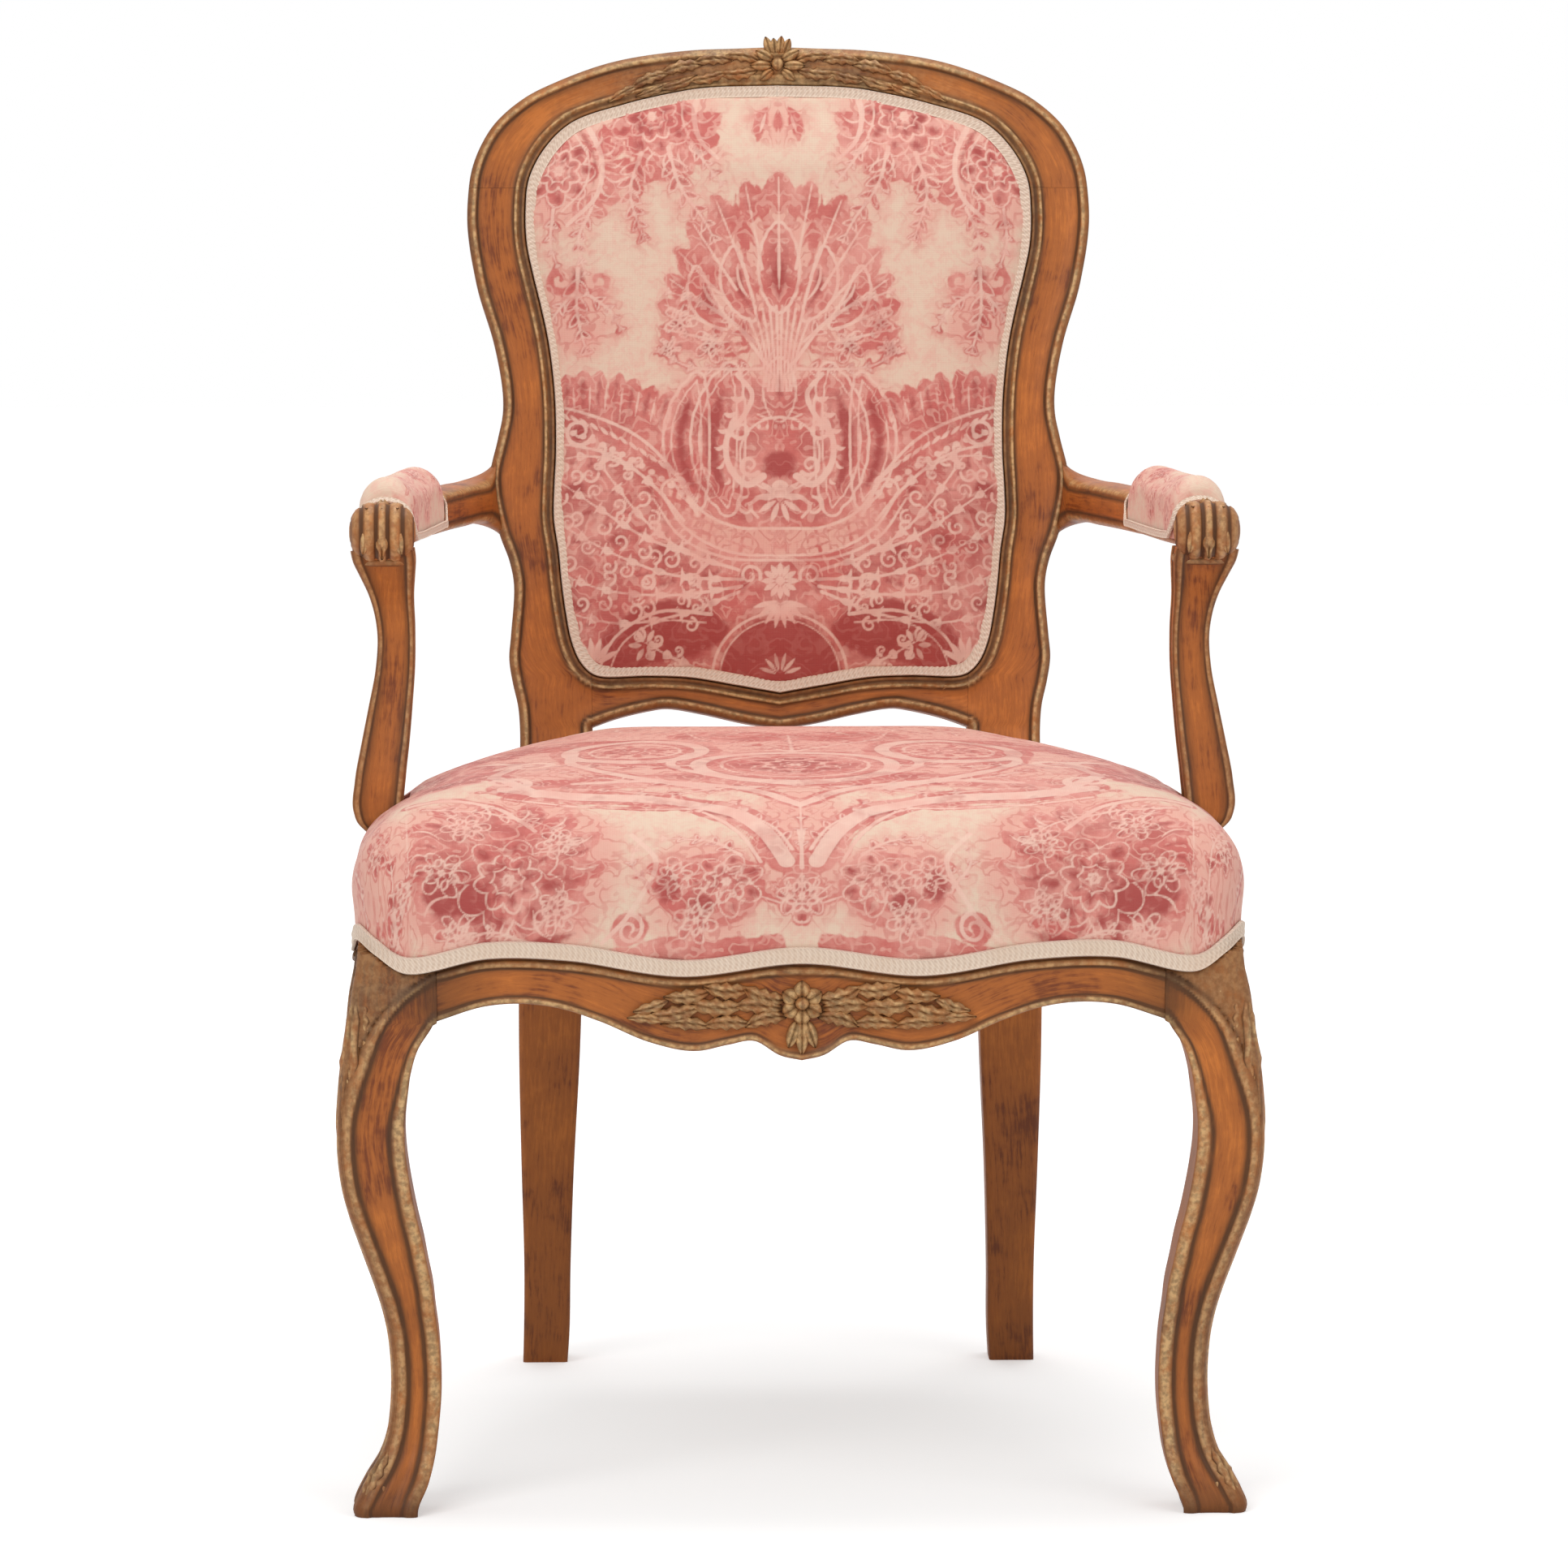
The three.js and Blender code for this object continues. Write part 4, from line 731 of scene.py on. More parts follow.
@dataclass(frozen=True)
class Damask:
    """Silk damask in four tones, from a cream ground to deep rose, drawn by distances stored on the cloth."""

    name: str = "rose_damask"
    cream: Triple = (0.80, 0.60, 0.455)
    blush: Triple = (0.80, 0.37, 0.30)
    rose: Triple = (0.57, 0.112, 0.093)
    deep: Triple = (0.345, 0.030, 0.026)
    light: Triple = (0.85, 0.53, 0.42)
    pale: Triple = (0.88, 0.62, 0.50)
    thread_shadow: Triple = (0.34, 0.10, 0.08)
    warp_rate: float = 5.2
    weft_rate: float = 6.4

    def material(self) -> Material:
        """The node material.

        Returns:
            The finished material.
        """
        shade = Shade(self.name)
        place = shade.place()
        across, along = shade.attribute("across"), shade.attribute("along")
        side = across.math("ABSOLUTE") * MM
        cloth = shade.vector(side, along * MM)
        swell = shade.noise(cloth, 46.0, 2.0)
        drift = shade.noise(shade.vector(along * MM, side, 0.7), 46.0, 2.0)
        wobble = (shade.noise(place, 230.0, 2.0) - 0.5) * 2.2
        cloud = shade.noise(place, 24.0, 3.0, 0.6)
        fleck = shade.noise(place, 120.0, 3.0, 0.75)
        fine = self._scrollwork(shade, side, along * MM, swell, drift)
        wash, figure, deep, line = (shade.attribute(key) for key in ("wash", "figure", "deep", "line"))
        worn = cloud * 1.1 + fleck * 0.5
        pull = (drift - 0.5) * 9.0 + wobble
        wash_in = (wash + pull * 1.6 + wobble * 2.0).between(9.0, -9.0)
        rose_in = (figure + pull).between(1.0, -0.9)
        deep_in = (deep + pull + wobble).between(1.6, -3.4)
        line_in = (line + wobble * 0.4).between(0.7, -0.5) * (cloud.between(0.36, 0.52) * 0.5 + 0.5)
        ground = shade.mix(fleck.between(0.44, 0.66) * 0.4 + fine * 0.14, self.cream, self.blush)
        colour = shade.mix(wash_in * (0.26 + worn * 0.6), ground, self.blush)
        colour = shade.mix(wash_in * fine * 0.42, colour, self.rose)
        faded = shade.mix(worn.between(0.62, 1.04) * 0.75, self.rose, self.blush)
        heart = (figure + pull).between(-1.0, -9.0) * swell.between(0.4, 0.6)
        full = shade.mix(heart * 0.4, faded, self.deep)
        veined = shade.mix(fine * 0.42, full, self.light)
        colour = shade.mix(rose_in * 0.95, colour, veined)
        fold = shade.mix(fine * 0.16, self.deep, self.rose)
        colour = shade.mix(deep_in * (0.42 + worn * 0.5), colour, fold)
        thread = shade.mix(cloud.between(0.42, 0.7) * 0.6, self.pale, self.blush)
        colour = shade.mix(line_in * 0.84, colour, thread)
        colour = shade.mix(fleck.between(0.56, 0.8) * (0.3 - deep_in * 0.22), colour, self.cream)
        warp = (across * self.warp_rate).math("SINE") * 0.5 + 0.5
        weft = (along * self.weft_rate + wobble).math("SINE") * 0.5 + 0.5
        threads = warp * 0.45 + weft * 0.55
        colour = shade.mix((1.0 - threads) * 0.14, colour, self.thread_shadow)
        slub = shade.noise(shade.vector(across * 0.012, along * 0.25, 0.0), 6.0, 2.0, 0.6)
        colour = shade.mix(slub.between(0.52, 0.78) * (0.22 - deep_in * 0.14), colour, self.blush)
        rough = 0.74 - rose_in * 0.12
        normal = shade.bump(threads * 0.6 + rose_in * 0.3 - line_in * 0.2, 0.4, 0.0004)
        return shade.finish(
            Base_Color=colour, Roughness=rough, Normal=normal, Sheen_Weight=0.12, Sheen_Roughness=0.4
        )

    @staticmethod
    def _scrollwork(shade: Shade, side: Reading, along: Reading, swell: Reading, drift: Reading) -> Reading:
        """Thin curling lines woven all over the cloth, the same on both sides of its middle.

        Args:
            shade: the material's nodes.
            side: how far a place is from the middle.
            along: how far it is along the cloth.
            swell: a slow noise that bends the lines across.
            drift: another that bends them along.

        Returns:
            1 in the lines and 0 between them.
        """
        bent = shade.vector(side + (swell - 0.5) * 0.03, along + (drift - 0.5) * 0.03)
        curls = (shade.cells(bent, 52.0) * 18.0).math("SINE").between(0.4, 0.9)
        veins = (swell * 36.0 + drift * 18.0).math("SINE").between(0.45, 0.92)
        where = shade.noise(shade.vector(side, along, 0.3), 34.0, 1.0).between(0.44, 0.56)
        return curls * where + veins * (1.0 - where)


@dataclass(frozen=True)
class Braid:
    """Cream gimp whose loops are raised in the mesh, with thread colour on top and painted shade between its
    loops and twisted threads.
    """

    name: str = "cream_gimp"
    light: Triple = (0.90, 0.74, 0.60)
    dark: Triple = (0.50, 0.33, 0.23)
    soiled: Triple = (0.70, 0.50, 0.36)

    def material(self) -> Material:
        """The node material.

        Returns:
            The finished material.
        """
        shade = Shade(self.name)
        run, across = shade.attribute("run"), shade.attribute("across")
        twist = (run * 2600.0 + across * 2200.0).math("SINE") * 0.5 + 0.5
        fuzz = shade.noise(shade.place(), 420.0, 3.0, 0.7)
        cloud = shade.noise(shade.place(), 22.0, 2.0)
        # Painted shade: the hollows and foot marked on the braid's rings, and the grooves between the twisted
        # threads.
        shadow = (shade.attribute("dirt") + (1.0 - twist) * 0.25 + fuzz * 0.2 - 0.1).held()
        colour = shade.mix(shadow, self.light, self.dark)
        colour = shade.mix(cloud.between(0.45, 0.7) * 0.3, colour, self.soiled)
        normal = shade.bump(twist * 0.7 + fuzz * 0.5, 0.6, 0.0006)
        return shade.finish(Base_Color=colour, Roughness=0.85, Normal=normal, Sheen_Weight=0.2)


@dataclass(frozen=True)
class Jute:
    """Plain-woven jute: webbing or hessian."""

    name: str
    light: Triple
    dark: Triple
    thread: float

    def material(self) -> Material:
        """The node material.

        Returns:
            The finished material.
        """
        shade = Shade(self.name)
        place = shade.place()
        inputs = {"Vector": place, "Scale": self.thread, "Distortion": 1.2}
        inputs |= {"Detail": 2.0, "Detail Scale": 3.0}
        waves = [
            shade.add("ShaderNodeTexWave", {"wave_type": "BANDS", "bands_direction": direction}, inputs, 1)
            for direction in ("X", "Y")
        ]
        weave = (waves[0] * waves[1]).held()
        slub = shade.noise(place, 60.0, 3.0, 0.7)
        colour = shade.mix(weave * 0.8 + slub * 0.3 - 0.1, self.dark, self.light)
        normal = shade.bump(weave + slub * 0.4, 0.7, 0.0008)
        return shade.finish(Base_Color=colour, Roughness=0.92, Normal=normal, Sheen_Weight=0.15)


@dataclass
class Finishes:
    """The chair's finishes, each made once."""

    moulded: Material
    damask: Material
    outside: Material
    braid: Material
    webbing: Material
    hessian: Material

    @classmethod
    def mixed(cls) -> "Finishes":
        """All of them, with the colours of the two kinds of jute.

        Returns:
            The finishes.
        """
        kinds = (
            StainedBeech(), Damask(), Damask(name="outside_damask"), Braid(),
            Jute("jute_webbing", light=(0.50, 0.37, 0.20), dark=(0.22, 0.14, 0.07), thread=160.0),
            Jute("hessian_canvas", light=(0.44, 0.31, 0.15), dark=(0.15, 0.09, 0.04), thread=260.0),
        )
        return cls(*(kind.material() for kind in kinds))


# ---------------------------------------------------------------- mouldings


@dataclass(frozen=True)
class Moulding:
    """The worked face of the frame: a bead near each edge, a quirk inside it, and a hollow field between.

    Each table gives, by distance in mm from an edge, the height of the face, its gilding and its dirt.
    """

    outer: tuple[tuple[float, float, float, float], ...]
    inner: tuple[tuple[float, float, float, float], ...]

    def read(self, from_outer: Array, from_inner: Array) -> Worked:
        """The face at given distances from its two edges.

        Args:
            from_outer: distances in mm from the outer edge.
            from_inner: distances in mm from the inner edge.

        Returns:
            Height in mm, gilding and dirt.
        """
        columns = []
        for column in (1, 2, 3):
            a, b = (np.asarray(rows) for rows in (self.outer, self.inner))
            first = np.interp(from_outer, a[:, 0], a[:, column])
            second = np.interp(from_inner, b[:, 0], b[:, column])
            columns.append(first + second - a[-1, column])
        return columns[0], np.clip(columns[1], 0, 1), np.clip(columns[2], 0, 1)

    def columns(self, width: float) -> Array:
        """Places across a face of some width where its section turns, from the inner edge out.

        Args:
            width: the face's width in mm.

        Returns:
            The places in mm.
        """
        inner = np.array([row[0] for row in self.inner])
        outer = width - np.array([row[0] for row in self.outer])[::-1]
        middle = np.linspace(inner[-1], outer[0], 5)[1:-1]
        places = np.concatenate([inner, middle, outer])
        if outer[0] <= inner[-1]:
            places = np.linspace(0, width, len(places))
        return places


BACK_MOULDING = Moulding(
    outer=(
        (0.0, -4.2, 0.1, 0.6), (1.2, -2.2, 0.25, 0.45), (2.8, -1.0, 0.35, 0.3), (4.2, 0.3, 1.0, 0.0),
        (5.4, 0.4, 0.9, 0.0), (6.6, -0.9, 0.2, 0.8), (7.6, -1.8, 0.0, 1.0), (8.8, -1.4, 0.0, 0.4),
        (10.5, -1.7, 0.0, 0.08), (15.0, -2.4, 0.0, 0.0),
    ),
    inner=(
        (0.0, -1.6, 0.15, 0.9), (0.8, -0.7, 0.5, 0.4), (1.8, -0.7, 0.45, 0.45), (2.8, -1.7, 0.3, 0.85),
        (4.2, -2.0, 0.35, 0.75), (5.2, -1.2, 0.45, 0.4), (6.2, 0.2, 1.1, 0.0), (7.4, 0.1, 0.9, 0.05),
        (8.3, -1.2, 0.1, 0.9), (9.3, -1.7, 0.0, 0.6), (10.8, -1.8, 0.0, 0.12), (14.0, -2.4, 0.0, 0.0),
    ),
)
LEG_MOULDING = Moulding(
    outer=(
        (0.0, -3.4, 0.2, 0.7), (1.4, -1.3, 0.35, 0.5), (3.6, 0.0, 0.45, 0.3), (6.4, 0.3, 0.75, 0.08),
        (8.4, 0.0, 0.6, 0.15), (9.6, -0.9, 0.2, 0.9), (11.0, -1.9, 0.0, 1.0), (12.6, -1.8, 0.0, 0.5),
        (14.4, -1.7, 0.0, 0.1), (18.0, -2.3, 0.0, 0.0),
    ),
    inner=(
        (0.0, -2.4, 0.2, 0.3), (1.2, -1.0, 0.7, 0.0), (3.4, -0.1, 1.0, 0.0), (6.0, -0.1, 0.8, 0.0),
        (7.6, -0.7, 0.35, 0.4), (8.8, -1.6, 0.0, 1.0), (10.2, -1.9, 0.0, 0.8), (11.8, -1.7, 0.0, 0.2),
        (15.0, -2.3, 0.0, 0.0),
    ),
)


@dataclass(frozen=True)
class Leaf:
    """A carved leaf or petal: a flattened form from its base to its tip, cupped along its middle."""

    base: Triple
    tip: Triple
    width: float
    rise: float
    facing: Triple = (0.0, -1.0, 0.0)
    lobes: int = 0
    groove: float = 0.35
    curl: float = 0.0
    bend: float = 0.0

    def mesh(self) -> Mesh:
        """The leaf in metres, a sphere drawn out along its length.

        Returns:
            The leaf's mesh.
        """
        made = bmesh.new()
        bmesh.ops.create_uvsphere(made, u_segments=18, v_segments=14, radius=1)
        gilt = made.verts.layers.float.new("gilt")
        dirt = made.verts.layers.float.new("dirt")
        base, tip = Vector(self.base), Vector(self.tip)
        along = tip - base
        length = along.length
        along.normalize()
        out = Vector(self.facing)
        out = (out - along * out.dot(along)).normalized()
        side = along.cross(out)
        for vert in made.verts:
            x, y, z = vert.co
            share = (z + 1) / 2
            full = math.sin(math.pi * share**0.75) ** 0.25 if 0 < share < 1 else 0.0
            notch = 1 + 0.2 * math.cos(self.lobes * 2 * math.pi * share) if self.lobes else 1.0
            across = x * self.width / 2 * full * notch
            lift = max(y, -0.4) * self.rise * full
            middle = math.exp(-((x / 0.22) ** 2)) if y > 0 else 0.0
            vein = 0.5 + 0.5 * math.cos(self.lobes * 2 * math.pi * share + 6 * abs(x)) if self.lobes else 1.0
            lift -= middle * self.groove * self.rise
            lift -= (1 - vein) * 0.22 * self.rise if y > 0 else 0.0
            lift += self.curl * share**3
            bow = self.bend * math.sin(math.pi * share)
            vert.co = (base + along * (share * length) + side * (across + bow) + out * lift) * MM
            high = max(y, 0.0)
            vert[gilt] = 0.4 + 0.8 * high * (1 - 0.4 * middle) * vein
            vert[dirt] = min(1.0, 0.45 * middle + 0.85 * (1 - high) ** 3 + 0.2 * (1 - vein))
        bmesh.ops.recalc_face_normals(made, faces=made.faces)
        return made


# ---------------------------------------------------------------- back frame


OUTER_SHARES = (
    (0, 1), (0.13, 0.998), (0.281, 0.9955), (0.463, 0.986), (0.574, 0.975), (0.712, 0.9535),
    (0.815, 0.932), (0.908, 0.899), (0.958, 0.866), (0.986, 0.834), (0.997, 0.801), (1, 0.768),
    (0.993, 0.735), (0.98, 0.703), (0.963, 0.67), (0.916, 0.605), (0.888, 0.54), (0.888, 0.507),
    (0.904, 0.474), (0.93, 0.42), (0.9, 0.35), (0.867, 0.3116), (0.853, 0.279), (0.863, 0.213),
    (0.869, 0.181), (0.858, 0.149), (0.841, 0.117), (0.835, 0.084), (0.836, 0.04), (0.84, 0),
)
PANEL_SHARES = (
    (0, 0.948), (0.234, 0.945), (0.353, 0.937), (0.494, 0.923), (0.662, 0.899), (0.748, 0.866),
    (0.803, 0.823), (0.815, 0.779), (0.811, 0.735), (0.79, 0.692), (0.765, 0.649), (0.743, 0.605),
    (0.729, 0.562), (0.721, 0.518), (0.72, 0.452), (0.7255, 0.409), (0.727, 0.366), (0.712, 0.3224),
    (0.702, 0.279), (0.6875, 0.235), (0.672, 0.203), (0.646, 0.176), (0.613, 0.16), (0.578, 0.1535),
    (0.419, 0.1537), (0.287, 0.151), (0.132, 0.14), (0, 0.1303),
)
UNDER_SHARES = (
    (0, 0.0838), (0.115, 0.0914), (0.247, 0.104), (0.362, 0.112),
    (0.419, 0.1092), (0.525, 0.099), (0.6046, 0.0875),
)
REAR_LEG_SHARES = (
    (0, 0.995, 1.1, 1, 0), (0.05, 0.992, 1.09, 0.93, 0.05), (0.165, 0.989, 1.083, 0.73, 0.2),
    (0.34, 0.997, 1.065, 0.48, 0.45), (0.56, 1.005, 1.03, 0.2, 0.75), (0.78, 1.003, 1.01, 0.04, 0.95),
    (0.9, 1, 1, 0, 1), (1, 1, 1, 0, 1),
)
CREST_SPRAY = (
    (3, 534, 16, 541, 8, 5.5, 0, 0), (4, 530, 20, 530, 8, 5.0, 0, 0), (3, 527, 13, 519, 7, 4.5, 0, 0),
    (12, 533, 40, 537, 8, 5.0, 4, -2), (14, 527, 44, 524, 9, 5.0, 4, 2), (32, 534, 62, 532, 9, 4.5, 4, -2),
    (36, 526, 66, 519, 8, 4.5, 4, 2), (54, 531, 86, 524, 9, 4.2, 4, -2), (58, 523, 88, 513, 7, 4.0, 3, 2),
    (78, 525, 108, 513, 8, 3.8, 4, -2), (80, 517, 104, 507, 6, 3.4, 3, 1),
    (100, 516, 124, 503, 6, 3.0, 3, -1),
)


@dataclass
class Back:
    """The back's shape: its rake, its bow and its outlines, all in mm."""

    front_y: float = 205.0
    foot_z: float = 430.0
    rake: float = math.radians(8)
    half_width: float = 226.6
    height: float = 544.0
    bow: float = 16.0
    thickness: float = 34.0
    joint_height: float = 441.0
    lower_half: float = 137.0
    stile_outer: float = 190.0
    stile_inner: float = 142.0
    stile_thickness: float = 38.0
    foot_front_y: float = 266.0
    foot_thickness: float = 34.0

    def __post_init__(self) -> None:
        """Draws the outlines."""
        size = np.array([self.half_width, self.height])
        self.outer = smooth(np.array(OUTER_SHARES) * size)
        self.panel = smooth(np.array(PANEL_SHARES) * size)
        self.under = smooth(np.array(UNDER_SHARES) * size)
        self.rail_foot = UNDER_SHARES[0][1] * self.height
        stile_inside = np.array([[self.lower_half, self.under[-1, 1]], [self.lower_half, -60.0]])
        self.edge = np.vstack([self.outer, [[self.outer[-1, 0], -60.0]]])
        self.bottom_edge = np.vstack([self.under, stile_inside])
        self.centre = np.array([0.0, (self.panel[0, 1] + self.panel[-1, 1]) / 2])

    def panel_loop(self, step: float) -> Array:
        """The whole outline of the panel at even steps."""
        return evenly(mirrored_run(self.panel), step, closed=True)

    def place(self, u: Array, v: Array, w: Array | float = 0.0) -> Array:
        """Points on the back: across, up the rake and proud of its face.

        Args:
            u: across in mm.
            v: up the rake in mm.
            w: proud of the face in mm.

        Returns:
            The points in the drawing's frame.
        """
        u, v = np.asarray(u, dtype=float), np.asarray(v, dtype=float)
        w = np.broadcast_to(np.asarray(w, dtype=float), u.shape)
        grown = np.clip(v / self.rail_foot, 0, 1)
        bow = self.bow * grown * (1 - (u / self.half_width) ** 2)
        y = self.front_y + math.sin(self.rake) * v + bow - math.cos(self.rake) * w
        z = self.foot_z + math.cos(self.rake) * v + math.sin(self.rake) * w
        return np.stack([u, y, z], axis=-1)

    def facing(self) -> Triple:
        """The way the back's face looks."""
        return (0.0, -math.cos(self.rake), math.sin(self.rake))

    def relief(self, u: Array, v: Array) -> Worked:
        """Height, gilding and dirt of the moulded face at places on the back.

        Args:
            u: places across in mm.
            v: places up the rake in mm.

        Returns:
            Height in mm, gilding and dirt, each as many as the places.
        """
        points = np.column_stack([np.abs(u).ravel(), v.ravel()])
        from_outer = np.minimum(run_distance(points, self.edge), run_distance(points, self.bottom_edge))
        from_inner = run_distance(points, self.panel)
        height, gilt, dirt = BACK_MOULDING.read(from_outer, from_inner)
        return height.reshape(u.shape), gilt.reshape(u.shape), dirt.reshape(u.shape)


@dataclass
class BackFrame:
    """The crest rail, the stiles with their rear legs, and the lower back rail."""

    back: Back
    rebate: float = 13.0
    rebate_depth: float = 5.0
    step: float = 4.0
    gap: float = 0.08
    worn_half: float = 105.0
    crest_sections: int = 64
    leg_sections: int = 70
    rail_sections: int = 60
    upright_from: float = 0.93

    def ring_set(self, inner: Array, outer: Array, rebates: Array) -> Rings:
        """Moulded sections between two edges.

        Args:
            inner: points on the inner edge, one to a section.
            outer: points on the outer edge.
            rebates: how far the ledge for the cloth reaches in from the inner edge.

        Returns:
            The sections as rings.
        """
        sections = []
        for a, b, rebate in zip(inner, outer, rebates):
            width = float(np.linalg.norm(b - a))
            along = (b - a) / width
            across = BACK_MOULDING.columns(width)
            flat = a + across[:, None] * along
            height, gilt, dirt = self.back.relief(flat[:, 0], flat[:, 1])
            deep = -self.back.thickness
            sides = [
                (width, -8.0), (width + 0.2, deep / 2), (width, deep + 4), (width - 1.2, deep + 1.2),
                (width - 4, deep), (width * 0.66, deep), (width * 0.33, deep), (0.0, deep),
                (-rebate, deep), (-rebate, -20.0), (-rebate, -self.rebate_depth), (-0.6, -self.rebate_depth),
                (0.0, -self.rebate_depth + 0.6),
            ]
            spread = np.array([s[0] for s in sides])
            edge = a + spread[:, None] * along
            u = np.concatenate([flat[:, 0], edge[:, 0]])
            v = np.concatenate([flat[:, 1], edge[:, 1]])
            w = np.concatenate([height, [s[1] for s in sides]])
            gilt = np.concatenate([gilt, np.zeros(len(sides))])
            dirt = np.concatenate([dirt, [0.25, 0.2, 0.25, 0.2] + [0.15] * (len(sides) - 4)])
            sections.append((self.back.place(u, v, w), gilt, dirt))
        return Rings.of(sections)

    def crest(self) -> Mesh:
        """The crest rail with its carved flower and sprays.

        Returns:
            The piece's mesh.
        """
        joint = self.back.joint_height + self.gap
        halves = []
        for run in (self.back.outer, self.back.panel):
            end = crossing(run, 1, joint)
            halves.append(np.vstack([run[run[:, 1] > joint + 0.5], end]))
        outer, inner = (both_sides(counted(half, self.crest_sections)[::-1]) for half in halves)
        body = self.ring_set(inner, outer, np.full(len(inner), self.rebate))
        worn = np.exp(-((body.points[:, :, 0] / self.worn_half) ** 2))
        body.gilt = np.clip(body.gilt + 0.5 * worn, 0, 1)
        body.dirt = body.dirt * (1 - 0.5 * worn)
        return merged([body.mesh(), *self._crest_carving()])

    def _crest_carving(self) -> list[Mesh]:
        """A small flower on the top of the crest with leaf sprays running out along the rail.

        Returns:
            The carving's meshes.
        """
        back, facing = self.back, self.back.facing()

        def leaf(
            u0: float, v0: float, u1: float, v1: float, width: float, rise: float, **more: float
        ) -> Mesh:
            """A leaf between two places on the crest.

            Args:
                u0: its base across.
                v0: its base up the rake.
                u1: its tip across.
                v1: its tip up the rake.
                width: its width.
                rise: how proud it stands.
                more: its lobes, groove, curl or bend.

            Returns:
                The leaf's mesh.
            """
            base, tip = (tuple(back.place(u, v, w)) for u, v, w in ((u0, v0, -1.0), (u1, v1, -0.5)))
            return Leaf(base, tip, width, rise, facing, **more).mesh()

        parts = []
        for sign in (-1, 1):
            for u0, v0, u1, v1, width, rise, lobes, bend in CREST_SPRAY:
                parts.append(leaf(sign * u0, v0, sign * u1, v1, width, rise, lobes=lobes, bend=sign * bend))
        for u, v in ((-9, 551), (-3, 550), (3, 551.5), (9, 549.5)):
            parts.append(leaf(u * 0.5, 538, u, v, 7, 5.0, curl=3.0))
        parts.append(leaf(0, 536, 0, 526, 9, 7.0, groove=0.0))
        return parts

    def stile(self) -> Mesh:
        """The right stile: the plain rear leg, then the moulded upright.

        Returns:
            The piece's mesh.
        """
        back = self.back
        top = back.joint_height - self.gap
        heights = np.concatenate([np.arange(0, 120, 2.5), np.arange(120, top, self.step), [top]])
        inner, outer, rebates = [], [], []
        panel_corner = PANEL_SHARES[22][1] * back.height
        for v in heights:
            edge = crossing(back.edge, 1, v)
            panel = crossing(back.panel, 1, v)[0] if v > panel_corner else 0.0
            start = max(panel, back.lower_half + self.gap)
            inner.append([start, v])
            outer.append([edge[0], v])
            rebates.append(float(np.clip(start - back.lower_half - self.gap, 0.1, self.rebate)))
        upright = self.ring_set(np.array(inner), np.array(outer), np.array(rebates))
        leg = self._rear_leg(upright.points.shape[1], upright.points[0])
        points = np.concatenate([leg, upright.points[1:]])
        plain = np.zeros(leg.shape[:2])
        # The plain rear leg is made steadily darker from the seat down to its foot.
        worn = np.repeat(np.linspace(0.42, 0.0, len(leg))[:, None], leg.shape[1], axis=1)
        gilt = np.concatenate([plain, upright.gilt[1:]])
        dirt = np.concatenate([worn, upright.dirt[1:]])
        return Rings(points, gilt, dirt).mesh()

    def _rear_leg(self, count: int, top: Array) -> Array:
        """Plain sections of the rear leg, turning into the upright's first section.

        Args:
            count: how many points a section has.
            top: the upright's lowest section.

        Returns:
            Sections from the foot up, the last of them the given one.
        """
        back = self.back
        shares = np.linspace(0, 1, self.leg_sections)
        rows = table_at(REAR_LEG_SHARES, shares)
        front_count = len(BACK_MOULDING.columns(1.0))
        around = self._square_section(front_count, count)
        rings = []
        for share, (outer_share, inner_share, raked, thick) in zip(shares, rows):
            outer, inner = outer_share * back.stile_outer, inner_share * back.stile_inner
            front = back.front_y + raked * (back.foot_front_y - back.front_y)
            depth = back.foot_thickness + thick * (back.stile_thickness - back.foot_thickness)
            ring = np.column_stack([
                inner + around[:, 0] * (outer - inner),
                front + around[:, 1] * depth,
                np.full(count, share * back.foot_z),
            ])
            blend = float(np.clip((share - self.upright_from) / (1 - self.upright_from), 0, 1))
            blend = blend * blend * (3 - 2 * blend)
            flat = top.copy()
            flat[:, 2] = share * back.foot_z + (top[:, 2] - back.foot_z) * blend
            rings.append(ring * (1 - blend) + flat * blend)
        return np.array(rings)

    @staticmethod
    def _square_section(front: int, count: int) -> Array:
        """Points round a square with soft corners, in the moulded section's order.

        Args:
            front: how many points lie on the face.
            count: how many in all.

        Returns:
            Their shares across and back.
        """
        soft = 0.07
        face = np.column_stack([np.linspace(soft, 1 - soft, front - 2), np.zeros(front - 2)])
        face = np.vstack([[0.012, 0.03], face, [0.988, 0.03]])
        path = np.array([
            [1, soft], [1, 0.5], [1, 1 - soft], [0.98, 0.98], [1 - soft, 1], [0.5, 1],
            [soft, 1], [0.02, 0.98], [0, 1 - soft], [0, 0.5], [0, soft],
        ])
        return np.vstack([face, counted(path, count - front)])

    def lower_rail(self) -> Mesh:
        """The lower rail of the back, with its moulded face.

        Returns:
            The piece's mesh.
        """
        back = self.back
        end = back.lower_half - self.gap
        places = np.linspace(end, 0.0, self.rail_sections)
        low_part = back.panel[back.panel[:, 1] < 0.19 * back.height][::-1]
        inner, outer = (
            both_sides(np.array([[u, crossing(run, 0, max(u, 0.01))[1]] for u in places]))
            for run in (low_part, back.under)
        )
        return self.ring_set(inner, outer, np.full(len(inner), self.rebate)).mesh()

    def build(self, maker: Maker, moulded: Material) -> None:
        """Makes the pieces of the back frame.

        Args:
            maker: makes the pieces.
            moulded: the finish of moulded wood.
        """
        maker.piece("crest_rail_carved", self.crest(), moulded, ["crest_rail"])
        maker.pair("stile", "moulded", self.stile(), moulded, "stile_beech")
        maker.piece(
            "lower_back_rail_moulded", self.lower_rail(), moulded, ["lower_back_rail"]
        )


# ---------------------------------------------------------------- seat frame


